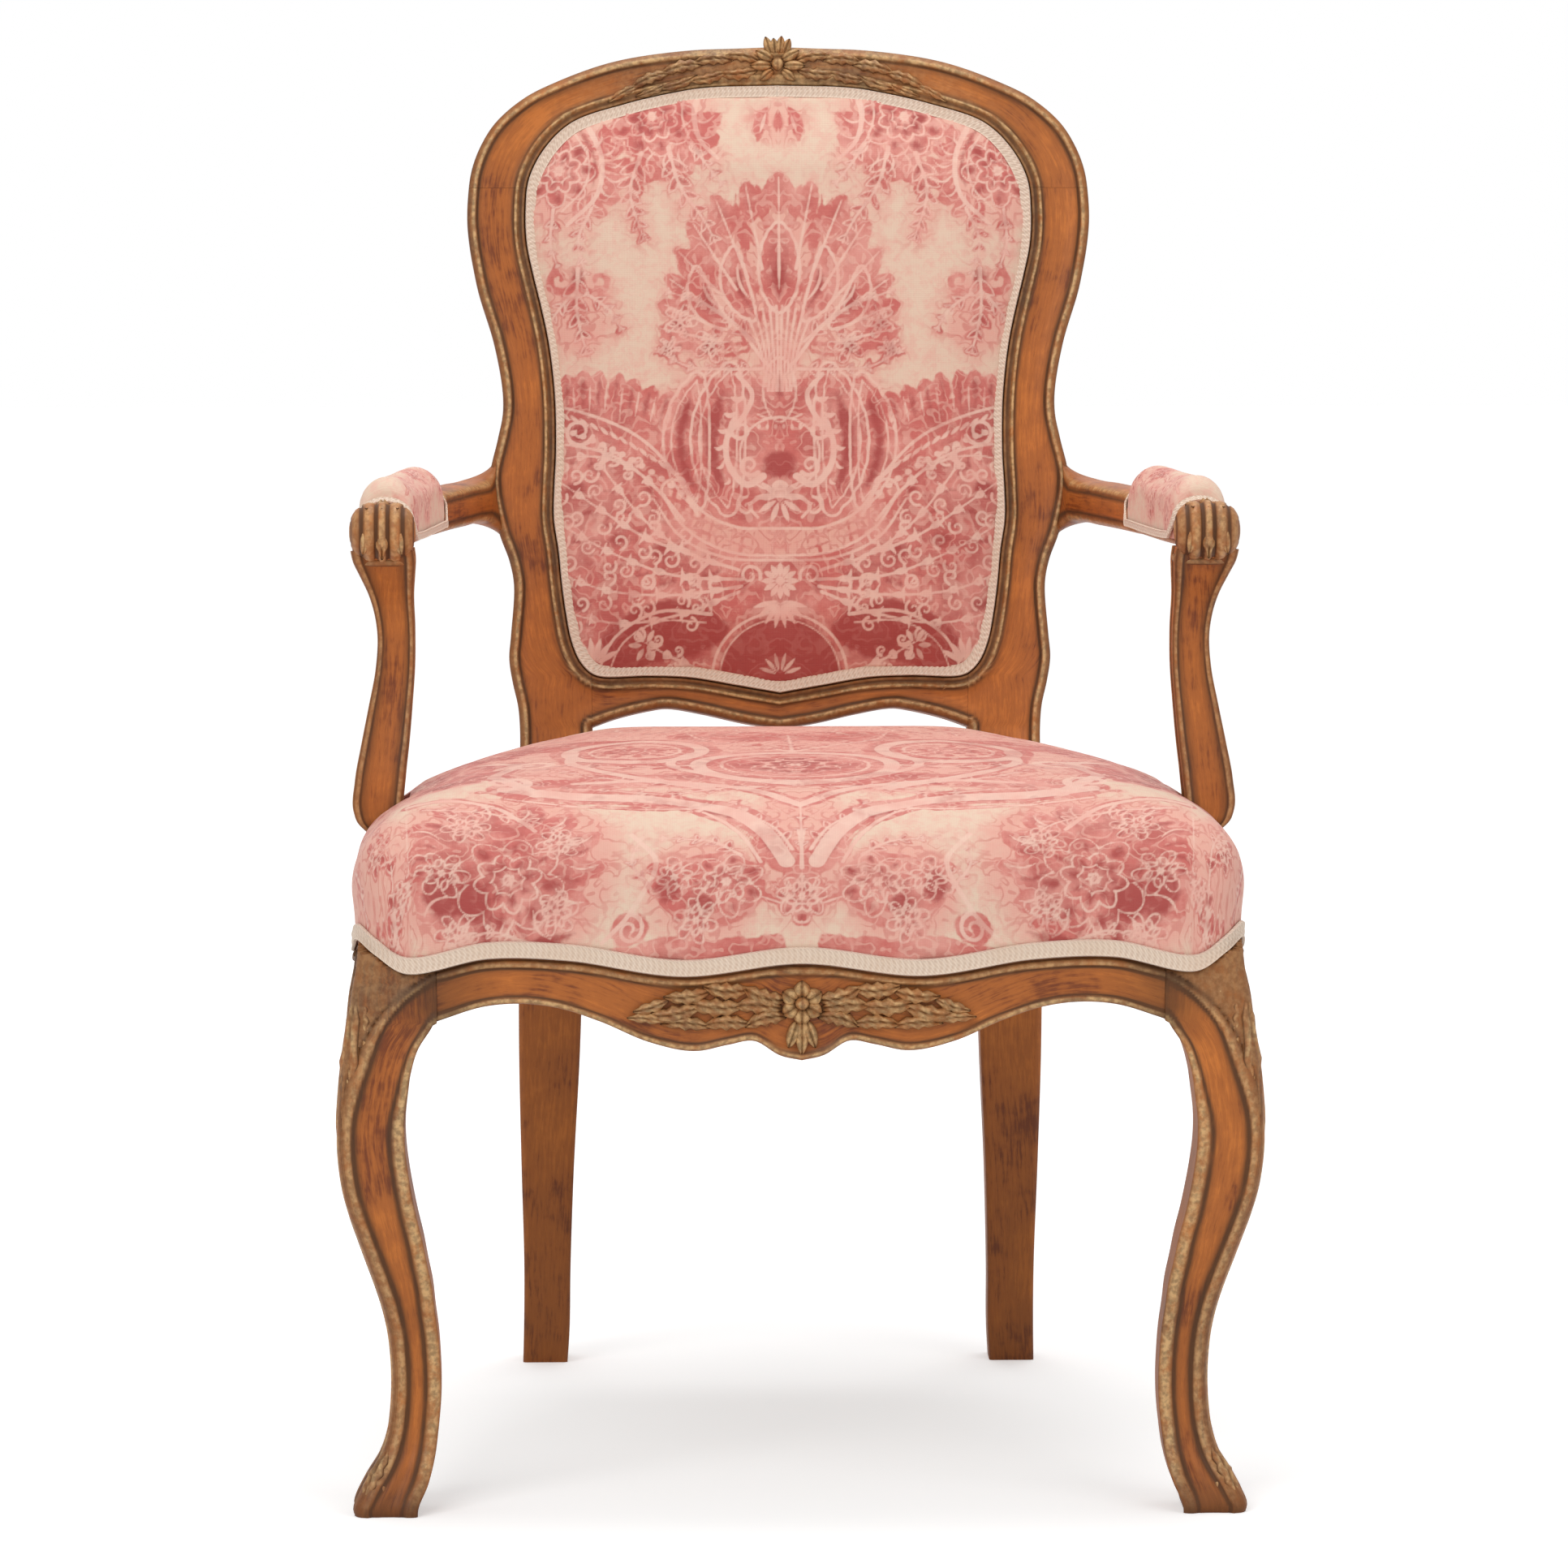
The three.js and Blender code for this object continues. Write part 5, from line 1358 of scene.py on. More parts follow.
SEAT_SHARES = (
    (0, 0, 0.55), (0.269, 0.005, 0.695), (0.524, 0.02, 0.533), (0.707, 0.026, 0.517), (0.891, 0.02, 0.67),
    (0.952, 0.032, 0.483), (0.99, 0.062, 0.35), (1.003, 0.113, 0.483), (1.007, 0.185, 0.617),
    (0.993, 0.331, 0.517), (0.942, 0.495, 0.55), (0.861, 0.64, 0.583), (0.769, 0.767, 0.55),
    (0.673, 0.876, 0.55), (0.643, 0.931, 0.55), (0.633, 0.96, 0.55), (0.578, 0.982, 0.55),
    (0.289, 0.985, 0.55), (0, 0.985, 0.55),
)
FRONT_APRON = (
    (0, 1.605), (0.06, 1.55), (0.129, 1.39), (0.2, 1.43), (0.286, 1.502), (0.419, 1.408),
    (0.552, 1.188), (0.66, 1.05), (0.73, 1.005), (0.863, 1.022), (1, 1.183),
)
SIDE_APRON = ((0, 1.2), (0.12, 1.08), (0.3, 1.0), (0.5, 1.1), (0.68, 1.02), (0.86, 0.98), (1, 1.0))
CUSHION_SHARES = (
    (0, 1), (0.22, 1.004), (0.46, 1.01), (0.62, 0.99), (0.75, 0.94), (0.85, 0.86),
    (0.93, 0.7), (0.975, 0.48), (0.995, 0.24), (1, 0.02),
)
LEG_SHARES = (
    (0, 0.26, 0.73), (0.012, 0.27, 0.73), (0.05, 0.47, 0.72), (0.092, 0.77, 0.62), (0.133, 0.92, 0.57),
    (0.173, 0.98, 0.56), (0.215, 1, 0.555), (0.254, 0.985, 0.555), (0.296, 0.935, 0.565),
    (0.336, 0.84, 0.587),
    (0.377, 0.7, 0.64), (0.417, 0.545, 0.68), (0.458, 0.386, 0.725), (0.499, 0.227, 0.757),
    (0.538, 0.108, 0.778),
    (0.579, 0.034, 0.778), (0.62, 0, 0.768), (0.66, 0.01, 0.76), (0.7, 0.037, 0.773), (0.741, 0.077, 0.79),
    (0.78, 0.134, 0.837), (0.82, 0.2, 0.965), (0.862, 0.247, 1), (0.901, 0.33, 1), (1, 0.42, 1),
)
RAIL_SPRAY = (
    (10, 349, 40, 358, 12, 6.5, 4, 3), (12, 343, 46, 345, 12, 6.5, 4, -2), (10, 338, 38, 331, 11, 6.0, 4, -3),
    (34, 356, 66, 358, 11, 6.0, 4, 2), (38, 345, 76, 347, 12, 6.0, 4, 2), (34, 333, 66, 332, 10, 5.5, 4, -2),
    (60, 355, 92, 351, 10, 5.0, 4, 2), (66, 345, 104, 338, 11, 5.5, 4, 2), (60, 331, 94, 333, 9, 5.0, 4, -2),
    (88, 349, 112, 341, 8, 4.0, 3, 1), (90, 335, 116, 337, 7, 3.6, 3, -1),
)


@dataclass
class SeatPlan:
    """The seat's outline and heights, in mm."""

    half_width: float = 294.0
    depth: float = 550.0
    front_y: float = -302.0
    rail_top: float = 405.0
    rail_depth: float = 60.0
    crown: float = 488.0
    centre_y: float = -30.0
    leg_inner_x: float = 241.4
    leg_inner_y: float = 240.0
    stile_front_y: float = 205.0
    per_span: int = 24
    step: float = 1.5

    def __post_init__(self) -> None:
        """Draws the outline; its third number is the height of the gimp's lower edge."""
        rows = np.array(SEAT_SHARES)
        points = np.column_stack([
            rows[:, 0] * self.half_width,
            self.front_y + rows[:, 1] * self.depth,
            self.rail_top - rows[:, 2] * self.rail_depth,
        ])
        whole = smooth(mirrored_run(points), closed=True, per_span=self.per_span)
        half = whole[: self.per_span * (len(points) - 1) + 1]
        self.half = evenly(half, self.step)
        self.whole = mirrored_run(self.half)

    def outward(self, run: Array) -> Array:
        """Level directions out of the seat at points along a run of its right half.

        Args:
            run: points along the right half.

        Returns:
            One direction to a point.
        """
        slope = np.gradient(run, axis=0)
        out = np.column_stack([-slope[:, 1], slope[:, 0], np.zeros(len(run))]) * -1
        return unit(out)

    def part(self, axis: int, start: float, end: float, step: float) -> Array:
        """The stretch of the right half between two values along one axis, set at even steps.

        Args:
            axis: 0 for across, 1 for along.
            start: where the stretch starts.
            end: where it ends.
            step: about how far apart its points are.

        Returns:
            The stretch.
        """
        behind = (self.half[:, 1 - axis] > 0) * (axis == 0) * 1e3
        first, last = (int(np.argmin(np.abs(self.half[:, axis] - value) + behind)) for value in (start, end))
        return evenly(self.half[first : last + 1], step)


@dataclass
class SeatFrame:
    """The front and side rails under the seat."""

    plan: SeatPlan
    thickness: float = 30.0
    proud: float = 3.0
    fine: float = 1.9
    joint_gap: float = 0.15
    front_ends: float = -250.0
    wax_reach: float = 44.0

    def rail(self, run: Array, bottoms: Array, outward: Array) -> Rings:
        """A moulded rail along a run of the plan.

        Args:
            run: points on the plan, with the gimp's lower edge as their height.
            bottoms: the height of the rail's lower edge at each.
            outward: the way out at each.

        Returns:
            The rail's sections as rings.
        """
        sections = []
        for point, bottom, out in zip(run, bottoms, outward):
            top = point[2] - 0.3
            width = top - bottom
            places = np.linspace(0, width, 30)
            height, gilt, dirt = LEG_MOULDING.read((width - places) * self.fine, places * self.fine)
            z = bottom + places
            dirt = np.clip(dirt + self._ends(point), 0, 1)
            far = self.proud + height
            inside, rail_top = -self.thickness, self.plan.rail_top
            sides = [
                (self.proud - 3.0, top + 1.5), (-2.6, top + 3), (-2.6, rail_top), (inside, rail_top),
                (inside, (rail_top + bottom) / 2), (inside, bottom + 2), (inside + 1.5, bottom),
                (-10.0, bottom - 0.4), (-3.0, bottom - 0.6),
            ]
            far = np.concatenate([far, [s[0] for s in sides]])
            z = np.concatenate([z, [s[1] for s in sides]])
            ring = np.column_stack([point[0] + out[0] * far, point[1] + out[1] * far, z])
            plain = np.zeros(len(sides))
            sections.append((ring, np.concatenate([gilt, plain]), np.concatenate([dirt, plain + 0.3])))
        return Rings.of(sections)

    def _ends(self, point: Array) -> float:
        """How much wax has gathered on a rail near its joint with the front leg.

        Args:
            point: a place on the plan.

        Returns:
            The wax, 0 far from the joint.
        """
        if point[1] < self.front_ends:
            away = max(self.plan.leg_inner_x - abs(point[0]), 0)
        else:
            away = point[1] + self.plan.leg_inner_y
        return 0.55 * max(1 - abs(away) / self.wax_reach, 0)

    def front(self) -> Mesh:
        """The front rail with its flower, pendant and sprays.

        Returns:
            The piece's mesh.
        """
        end = self.plan.leg_inner_x - self.joint_gap
        half = self.plan.part(0, 0.0, end, 3.0)
        half[-1, 0] = end
        half[0, 0] = 0.0
        shares = np.clip(half[:, 0] / end, 0, 1)
        bottoms = self.plan.rail_top - table_at(FRONT_APRON, shares)[:, 0] * self.plan.rail_depth
        out = self.plan.outward(half)
        out[0] = out[-1] = (0.0, -1.0, 0.0)
        run, outs = (both_sides(part[::-1])[::-1] for part in (half, out))
        lows = np.concatenate([bottoms[1:][::-1], bottoms])
        body = self.rail(run, lows, outs).mesh()
        return merged([body, *self._front_carving()])

    def _front_carving(self) -> list[Mesh]:
        """The flower and pendant in the middle with leaf sprays each side.

        Returns:
            The carving's meshes.
        """
        face = self.plan.front_y - self.proud + 1.2
        parts = []

        def leaf(
            x0: float, z0: float, x1: float, z1: float, width: float, rise: float, **more: float
        ) -> None:
            """A leaf on the rail's face.

            Args:
                x0: its base across.
                z0: its base's height.
                x1: its tip across.
                z1: its tip's height.
                width: its width.
                rise: how proud it stands.
                more: its lobes, groove or bend.
            """
            slope = 0.00022
            base = (x0, face + slope * x0 * x0, z0)
            tip = (x1, face + slope * x1 * x1, z1)
            parts.append(Leaf(base, tip, width, rise, **more).mesh())

        for sign in (-1, 1):
            for x0, z0, x1, z1, width, rise, lobes, bend in RAIL_SPRAY:
                leaf(sign * x0, z0, sign * x1, z1, width, rise, lobes=lobes, bend=sign * bend)
        for turn in range(6):
            angle = math.radians(60 * turn + 30)
            cos, sin = math.cos(angle), math.sin(angle)
            leaf(3 * cos, 347 + 3 * sin, 15 * cos, 347 + 15 * sin, 12, 8.5)
        leaf(0, 352, 0, 342, 10, 12.0, groove=0.0)
        for x, z in ((-9, 322), (0, 317), (9, 322)):
            leaf(x * 0.3, 336, x, z - 5, 9, 6.5)
        return parts

    def side(self) -> Mesh:
        """The right side rail.

        Returns:
            The piece's mesh.
        """
        start, end = self.joint_gap - self.plan.leg_inner_y, self.plan.stile_front_y - self.joint_gap
        half = self.plan.part(1, start, end, 4.0)
        half[0, 1], half[-1, 1] = start, end
        shares = np.linspace(0, 1, len(half))
        bottoms = self.plan.rail_top - table_at(SIDE_APRON, shares)[:, 0] * self.plan.rail_depth
        outs = self.plan.outward(half)
        outs[0] = (1.0, 0.0, 0.0)
        rings = self.rail(half, bottoms, outs)
        rings.points[-1, :, 1] = end
        return rings.mesh()

    def build(self, maker: Maker, moulded: Material) -> None:
        """Makes the rails."""
        maker.piece("front_seat_rail_carved", self.front(), moulded, ["front_seat_rail"])
        maker.pair("side_rail", "moulded", self.side(), moulded, "carved_beech")


@dataclass
class FrontLeg:
    """The right cabriole leg, its mouldings running up into the rails."""

    plan: SeatPlan
    reach: float = 308.7
    depth_less: float = 6.0
    sweep: float = 35.2
    width: float = 60.0
    height: float = 405.0
    knee_top: float = 332.0
    rail_low: float = 334.0
    fine: float = 0.9
    rim_climb: Pair = (296, 70)
    inside_climb: Pair = (256, 78)
    wax_climb: Pair = (312, 30)
    knee_curve: tuple[Pair, ...] = (
        (66.2, 271), (62.8, 286), (58.0, 301), (50.5, 318), (40.0, 336), (26.0, 351), (12.0, 361.5),
    )

    def __post_init__(self) -> None:
        """Draws the worked faces' edges, across and up, for the front and the side."""
        heights = np.arange(0, 264, 3.0)
        rows = table_at(LEG_SHARES, heights / self.height)
        self.edges = []
        faces = ((0.0, self.plan.leg_inner_x, 0), (self.depth_less, self.plan.leg_inner_y, 1))
        for less, joint, axis in faces:
            outer = self.reach - less - rows[:, 0] * self.sweep
            near = self.plan.half[self.plan.half[:, 1] < 0]
            away = np.abs(np.abs(near[:, axis]) - joint) + (near[:, 0] < 200) * 1e3 * axis
            top = float(near[np.argmin(away), 2])
            knee = [(joint + x - less * x / 60, z + (top - 368) * (z - 290) / 78) for x, z in self.knee_curve]
            ends = [(joint, top - 0.3), (joint - 30, top + 1.5)]
            rim = np.vstack([np.column_stack([outer, heights]), knee, ends])
            inner = outer - rows[:, 1] * self.width
            more = np.arange(266, self.knee_top, 4.0)
            upper = table_at(LEG_SHARES, more / self.height)
            edge = self.reach - less - upper[:, 0] * self.sweep - upper[:, 1] * self.width
            inside = np.vstack([
                np.column_stack([inner, heights]), np.column_stack([edge, more]),
                [(joint, self.rail_low), (joint - 30, self.rail_low)],
            ])
            self.edges.append((smooth(rim, per_span=3), inside))

    def mesh(self) -> Mesh:
        """The leg with its knee carving and foot leaf.

        Returns:
            The piece's mesh.
        """
        heights = np.concatenate([
            [0.0, 0.8, 2.2, 4.5], np.arange(7, 60, 2.4), np.arange(60, 270, 3.0),
            np.arange(270, self.height, 1.5), [self.height],
        ])
        rows = table_at(LEG_SHARES, heights / self.height)
        sections = []
        for z, (sweep, width) in zip(heights, rows):
            outer = self.reach - sweep * self.sweep
            upper = z > self.knee_top
            inner = self.plan.leg_inner_x if upper else outer - width * self.width
            inner_y = self.plan.leg_inner_y if upper else outer - self.depth_less - width * self.width
            ring, gilt, dirt = self._ring(z, outer, inner, outer - self.depth_less, inner_y)
            sections.append((self._under_cloth(ring), gilt, dirt))
        body = Rings.of(sections).mesh()
        return merged([body, *self._carving()])

    def _under_cloth(self, ring: Array, inset: float = 2.7) -> Array:
        """Draws a section in to lie under the seat's cloth, where it stands above the gimp's lower edge.

        Args:
            ring: the section's points.
            inset: how deep under the cloth it lies.

        Returns:
            The section drawn in.
        """
        half = self.plan.half[self.plan.half[:, 1] < -180][::3]
        outward = self.plan.outward(half)
        nearest = np.argmin(np.linalg.norm(ring[:, None, :2] - half[None, :, :2], axis=2), axis=1)
        past = np.sum((ring - half[nearest]) * outward[nearest], axis=1)
        covered = ring[:, 2] > half[nearest, 2] + 0.6
        move = np.where(covered, np.minimum(-inset - past, 0), 0)
        return ring + outward[nearest] * move[:, None]

    def _face(self, z: float, outer: float, inner: float, face: int) -> tuple[Array, Array, Array, Array]:
        """One worked face of the leg at a height.

        Args:
            z: the height.
            outer: how far out the face's outer corner is.
            inner: how far out its inner edge is.
            face: 0 for the front, 1 for the side.

        Returns:
            Places across the face from the inner edge, with height, gilding and dirt there.
        """
        rim, inside = self.edges[face]
        places = np.linspace(inner, outer, 36)
        flat = np.column_stack([places, np.full(len(places), z)])
        from_rim, from_inside = run_distance(flat, rim), run_distance(flat, inside)
        climb, close, waxed = (
            np.clip((z - start) / span, 0, 1)
            for start, span in (self.rim_climb, self.inside_climb, self.wax_climb)
        )
        outer_scale = self.fine + climb * climb * (3 - 2 * climb)
        inner_scale = self.fine + close * close * (3 - 2 * close)
        height, gilt, dirt = LEG_MOULDING.read(from_rim * outer_scale, from_inside * inner_scale)
        line = rim[rim[:, 1] > 268]
        above = (z > 270) & (places > np.interp(z, line[:, 1], line[:, 0])) | (z > line[-1, 1])
        height = np.where(above, -0.7 - np.clip(from_rim, 0, 2) * 0.5, height)
        gilt = np.where(above, 0.42, gilt)
        dirt = np.where(above, np.clip(0.75 - from_rim * 0.16, 0.38, 1), dirt)
        joint = (self.plan.leg_inner_x, self.plan.leg_inner_y)[face]
        wax = 0.8 * waxed * np.clip(1 - (places - joint) / 34, 0, 1) * ~above
        return places, height, gilt, np.clip(dirt + wax, 0, 1)

    def _ring(self, z: float, outer: float, inner: float, outer_y: float, inner_y: float) -> Worked:
        """A section of the leg: front face, side face, then the plain inside.

        Args:
            z: the height.
            outer: how far out the corner is on X.
            inner: how far out the front face's inner edge is.
            outer_y: how far forward the corner is.
            inner_y: how far forward the side face's inner edge is.

        Returns:
            The section's points, gilding and dirt.
        """
        places, rise, gilt, dirt = self._face(z, outer, inner, 0)
        places_y, rise_y, gilt_y, dirt_y = self._face(z, outer_y, inner_y, 1)
        soft = 1.6 * (1 - min(z / 4.5, 1)) ** 2
        radius = (outer - inner) / 4.5
        front = np.column_stack([places - soft * (places - inner) / (outer - inner), -outer_y - rise + soft])
        eased = -places_y + soft * (places_y - inner_y) / (outer_y - inner_y)
        side = np.column_stack([outer + rise_y - soft, eased])[::-1]
        ring = np.vstack([front, side])
        corner = np.array([outer - radius, -outer_y + radius])
        past = ring - corner
        in_corner = (past[:, 0] > 0) & (past[:, 1] < 0)
        reach = np.linalg.norm(past, axis=1)
        wanted = radius - 0.6 - soft
        pull = in_corner & (reach > wanted)
        ring[pull] = corner + past[pull] / reach[pull][:, None] * wanted
        count = 9
        back_y, left_x = -inner_y - soft, inner + soft
        inside = np.vstack([
            np.column_stack([np.linspace(outer - 1.2 - soft, left_x + 2.5, count), np.full(count, back_y)]),
            [[left_x + 0.7, back_y - 0.7]],
            np.column_stack([
                np.full(count, left_x), np.linspace(back_y - 2.5, -outer_y + 3.0 + soft, count),
            ]),
        ])
        ring = np.vstack([ring, inside])
        ring = np.column_stack([ring, np.full(len(ring), z)])
        plain = np.zeros(len(inside))
        foot = 0.75 * max(1 - z / 34, 0)
        gilts = np.concatenate([gilt, gilt_y[::-1], plain]) * (1 - foot)
        dirts = np.concatenate([dirt, dirt_y[::-1], plain + 0.25])
        return ring, gilts, np.maximum(dirts, foot)

    def _corner(self, z: float) -> Pair:
        """Where the leg's outer corner is at a height.

        Args:
            z: the height.

        Returns:
            The corner's place across and along.
        """
        sweep = float(table_at(LEG_SHARES, z / self.height)[0, 0])
        outer = self.reach - sweep * self.sweep
        inset = self.width / 4.5 * 0.32
        return outer - inset, -(outer - self.depth_less) + inset

    def _carving(self) -> list[Mesh]:
        """A leaf cartouche on the knee's corner and a small scroll leaf on the foot.

        Returns:
            The carving's meshes.
        """
        parts = []
        diagonal = (1.0, -1.0, 0.0)

        def leaf(
            z0: float, z1: float, shift0: float, shift1: float, width: float, rise: float, **more: float
        ) -> None:
            """A leaf up the corner, set across it by a shift to the front or the side.

            Args:
                z0: its base's height.
                z1: its tip's height.
                shift0: its base's shift.
                shift1: its tip's shift.
                width: its width.
                rise: how proud it stands.
                more: its lobes.
            """
            ends = []
            for z, shift in ((z0, shift0), (z1, shift1)):
                x, y = self._corner(z)
                ends.append((x - max(-shift, 0) - abs(shift) * 0.1, y + max(shift, 0) + abs(shift) * 0.1, z))
            parts.append(Leaf(ends[0], ends[1], width, rise, diagonal, **more).mesh())

        for shift in (-1, 1):
            leaf(352, 316, shift * 4, shift * 9, 10, 2.6, lobes=4)
            leaf(342, 296, shift * 9, shift * 6, 9, 2.4, lobes=4)
            leaf(356, 340, shift * 8, shift * 22, 11, 2.4, lobes=3)
        leaf(352, 262, 0, 0, 15, 2.8, lobes=6)
        leaf(10, 44, 0, 0, 12, 3.4, lobes=4)
        for shift in (-1, 1):
            leaf(9, 32, shift * 10, shift * 3, 9, 3.0, lobes=3)
        return parts

    def build(self, maker: Maker, moulded: Material) -> None:
        """Makes both front legs."""
        maker.pair("front_leg", "carved", self.mesh(), moulded, "carved_beech")


# ---------------------------------------------------------------- arms


ARM_SHARES = (
    (0, 0, -0.06, 1.45, 0.8), (0.02, 0.19, -0.06, 1.2, 0.82), (0.071, 0.34, -0.06, 1.02, 0.85),
    (0.17, 0.48, -0.04, 1, 0.9), (0.277, 0.6, -0.02, 0.98, 0.94), (0.42, 0.747, 0, 0.97, 0.97),
    (0.597, 0.88, 0, 0.94, 1), (0.763, 0.96, 0.06, 0.92, 1), (0.858, 0.994, 0.14, 0.98, 1.06),
    (0.91, 1, 0.17, 1.1, 1.15), (0.948, 1, 0.15, 1.0, 1.1), (0.981, 1, 0.1, 0.7, 0.9), (1, 1, 0.04, 0.4, 0.5),
)
SUPPORT_SHARES = (
    (0, -0.31, 0, 0.62, 0.8), (0.19, -0.31, 0, 0.62, 0.8), (0.215, -0.2, 0, 0.74, 0.9),
    (0.24, -0.1, 0, 0.87, 0.96),
    (0.27, -0.05, 0.02, 0.93, 0.97), (0.356, -0.08, 0.07, 0.95, 0.94), (0.458, -0.18, 0.18, 0.9, 0.9),
    (0.561, -0.28, 0.28, 0.82, 0.84), (0.664, -0.37, 0.36, 0.735, 0.82), (0.767, -0.39, 0.34, 0.71, 0.83),
    (0.87, -0.31, 0.12, 0.84, 0.9), (0.93, -0.24, -0.14, 1.04, 1), (0.97, -0.19, -0.32, 1.17, 1.06),
    (1, -0.16, -0.42, 1.19, 1.06),
)


HAND_PROFILE = (
    (0.0, 20.4, 1.0, 0.0), (1.6, 20.2, 0.9, 0.0), (3.0, 18.6, 0.1, 1.0), (4.6, 18.0, 0.0, 1.0),
    (6.0, 19.2, 0.6, 0.2), (8.4, 20.0, 0.9, 0.0), (11.0, 19.2, 0.8, 0.0), (13.2, 17.2, 0.1, 0.9),
    (14.6, 16.2, 0.0, 1.0), (16.0, 16.4, 0.5, 0.3), (18.2, 14.8, 0.7, 0.1), (20.2, 11.8, 0.5, 0.2),
    (21.2, 9.6, 0.1, 0.9), (20.9, 8.4, 0.0, 1.0), (21.9, 6.4, 0.7, 0.1), (22.4, 3.4, 0.8, 0.0),
    (22.5, 0.0, 0.6, 0.1),
)


@dataclass
class Arms:
    """The arms with their scrolled hands, and the supports under them."""

    back: Back
    plan: SeatPlan
    root_x: float = 196.0
    reach: float = 279.0
    root_y: float = 252.0
    front_y: float = -170.0
    height: float = 643.0
    depth: float = 31.0
    width: float = 34.0
    support_x: float = 285.0
    support_y: float = -122.0
    support_width: float = 36.0
    flare: float = 0.06
    bedded: float = 1.5
    pad_start: float = 0.42
    pad_end: float = 0.848
    pad_waist: float = 14.6
    pad_floor: float = 1.6
    hand: Pair = (-151.0, 648.0)
    collar_rings: tuple[Triple, ...] = (
        (624.5, 0.92, 0.9), (625.5, 1.03, 0.3), (627.5, 1.06, 0.1), (629.5, 1.03, 0.3), (631.0, 0.92, 0.9),
    )

    def station(self, share: float) -> tuple[Array, float, float]:
        """The arm's centre with its half depth and half width at a share of its run.

        Args:
            share: the share, 0 at the stile.

        Returns:
            The centre, half the depth and half the width.
        """
        out, rise, depth, width = table_at(ARM_SHARES, share)[0]
        centre = np.array([
            self.root_x + out * (self.reach - self.root_x),
            self.root_y - share * (self.root_y - self.front_y),
            self.height + rise * self.depth,
        ])
        return centre, depth * self.depth / 2, width * self.width / 2

    def across(self, share: float) -> Array:
        """The level direction across the arm, outwards.

        Args:
            share: the share of the arm's run.

        Returns:
            The direction, one long.
        """
        a, b = self.station(max(share - 0.02, 0))[0], self.station(min(share + 0.02, 1))[0]
        run = b - a
        out = np.array([-run[1], run[0], 0.0])
        return out / np.linalg.norm(out)

    @staticmethod
    def _section(half_width: float, half_depth: float) -> Worked:
        """A softly squared section with a quirk near each corner of its sides.

        Args:
            half_width: half its width.
            half_depth: half its depth.

        Returns:
            Flat points, gilding and dirt.
        """
        angles = np.linspace(0, 2 * math.pi, 40, endpoint=False)
        power = 0.62
        x = np.sign(np.cos(angles)) * np.abs(np.cos(angles)) ** power
        z = np.sign(np.sin(angles)) * np.abs(np.sin(angles)) ** power
        quirk = np.exp(-(((np.abs(z) - 0.52) / 0.1) ** 2)) * (np.abs(x) > 0.8)
        bead = np.exp(-(((np.abs(z) - 0.78) / 0.14) ** 2)) * (np.abs(x) > 0.6)
        spread = 1 - 0.07 * quirk + 0.02 * bead
        return np.column_stack([x * half_width * spread, z * half_depth]), bead * 0.75, np.clip(quirk, 0, 1)

    def arm(self) -> Mesh:
        """The right arm, from inside the stile to its scrolled hand.

        Returns:
            The piece's mesh.
        """
        sections = []
        root, run = np.linspace(0, self.flare, 12), np.linspace(self.flare + 0.008, 0.93, 88)
        for share in np.concatenate([root, run]):
            centre, half_depth, half_width = self.station(float(share))
            near = max(1 - float(share) / self.flare, 0)
            half_depth *= 1 + 0.5 * near**2
            flat, gilt, dirt = self._section(half_width, half_depth)
            if self.pad_start < share < self.pad_end:
                waist = flat[:, 0] * self.pad_waist / half_width
                flat = np.column_stack([waist, np.minimum(flat[:, 1], self.pad_floor)])
            across = self.across(float(share))
            ring = centre + flat[:, :1] * across + flat[:, 1:] * UP
            dirt = np.clip(dirt + 0.5 * near**2, 0, 1)
            sections.append((self._against_stile(ring, near), gilt * (1 - near), dirt))
        body = Rings.of(sections).mesh()
        return merged([body, self._scroll(), *self._hand_leaves()])

    def _against_stile(self, ring: Array, near: float) -> Array:
        """Draws a section of the arm's root toward the stile's outer edge, 1 being right at it.

        Args:
            ring: the section's points.
            near: how near the root it is, up to 1.

        Returns:
            The section's new points.
        """
        if near <= 0:
            return ring
        up = (ring[:, 2] - self.back.foot_z) / math.cos(self.back.rake)
        edge = np.array([crossing(self.back.edge, 1, v)[0] for v in up]) - self.bedded
        made = ring.copy()
        made[:, 0] += (edge - ring[:, 0]) * near**1.5
        return made

    def _scroll(self) -> Mesh:
        """The rolled hand: a fluted roller across the end of the arm.

        Returns:
            The piece's mesh.
        """
        centre = Vector((self.reach, *self.hand))
        made = bmesh.new()
        gilt, dirt = made.verts.layers.float.new("gilt"), made.verts.layers.float.new("dirt")
        verts = []
        for x, radius, g, d in [(-x, *row) for x, *row in HAND_PROFILE[:0:-1]] + list(HAND_PROFILE):
            vert = made.verts.new(((centre.x + x) * MM, centre.y * MM, (centre.z + radius) * MM))
            vert[gilt], vert[dirt] = g * 0.7, d
            verts.append(vert)
        edges = [made.edges.new(pair) for pair in zip(verts[:-1], verts[1:])]
        bmesh.ops.spin(
            made, geom=verts + edges, cent=centre * MM, axis=(1, 0, 0), dvec=(0, 0, 0),
            angle=2 * math.pi, steps=48, use_merge=True, use_duplicate=False,
        )
        bmesh.ops.remove_doubles(made, verts=made.verts, dist=WELD)
        bmesh.ops.recalc_face_normals(made, faces=made.faces)
        return made

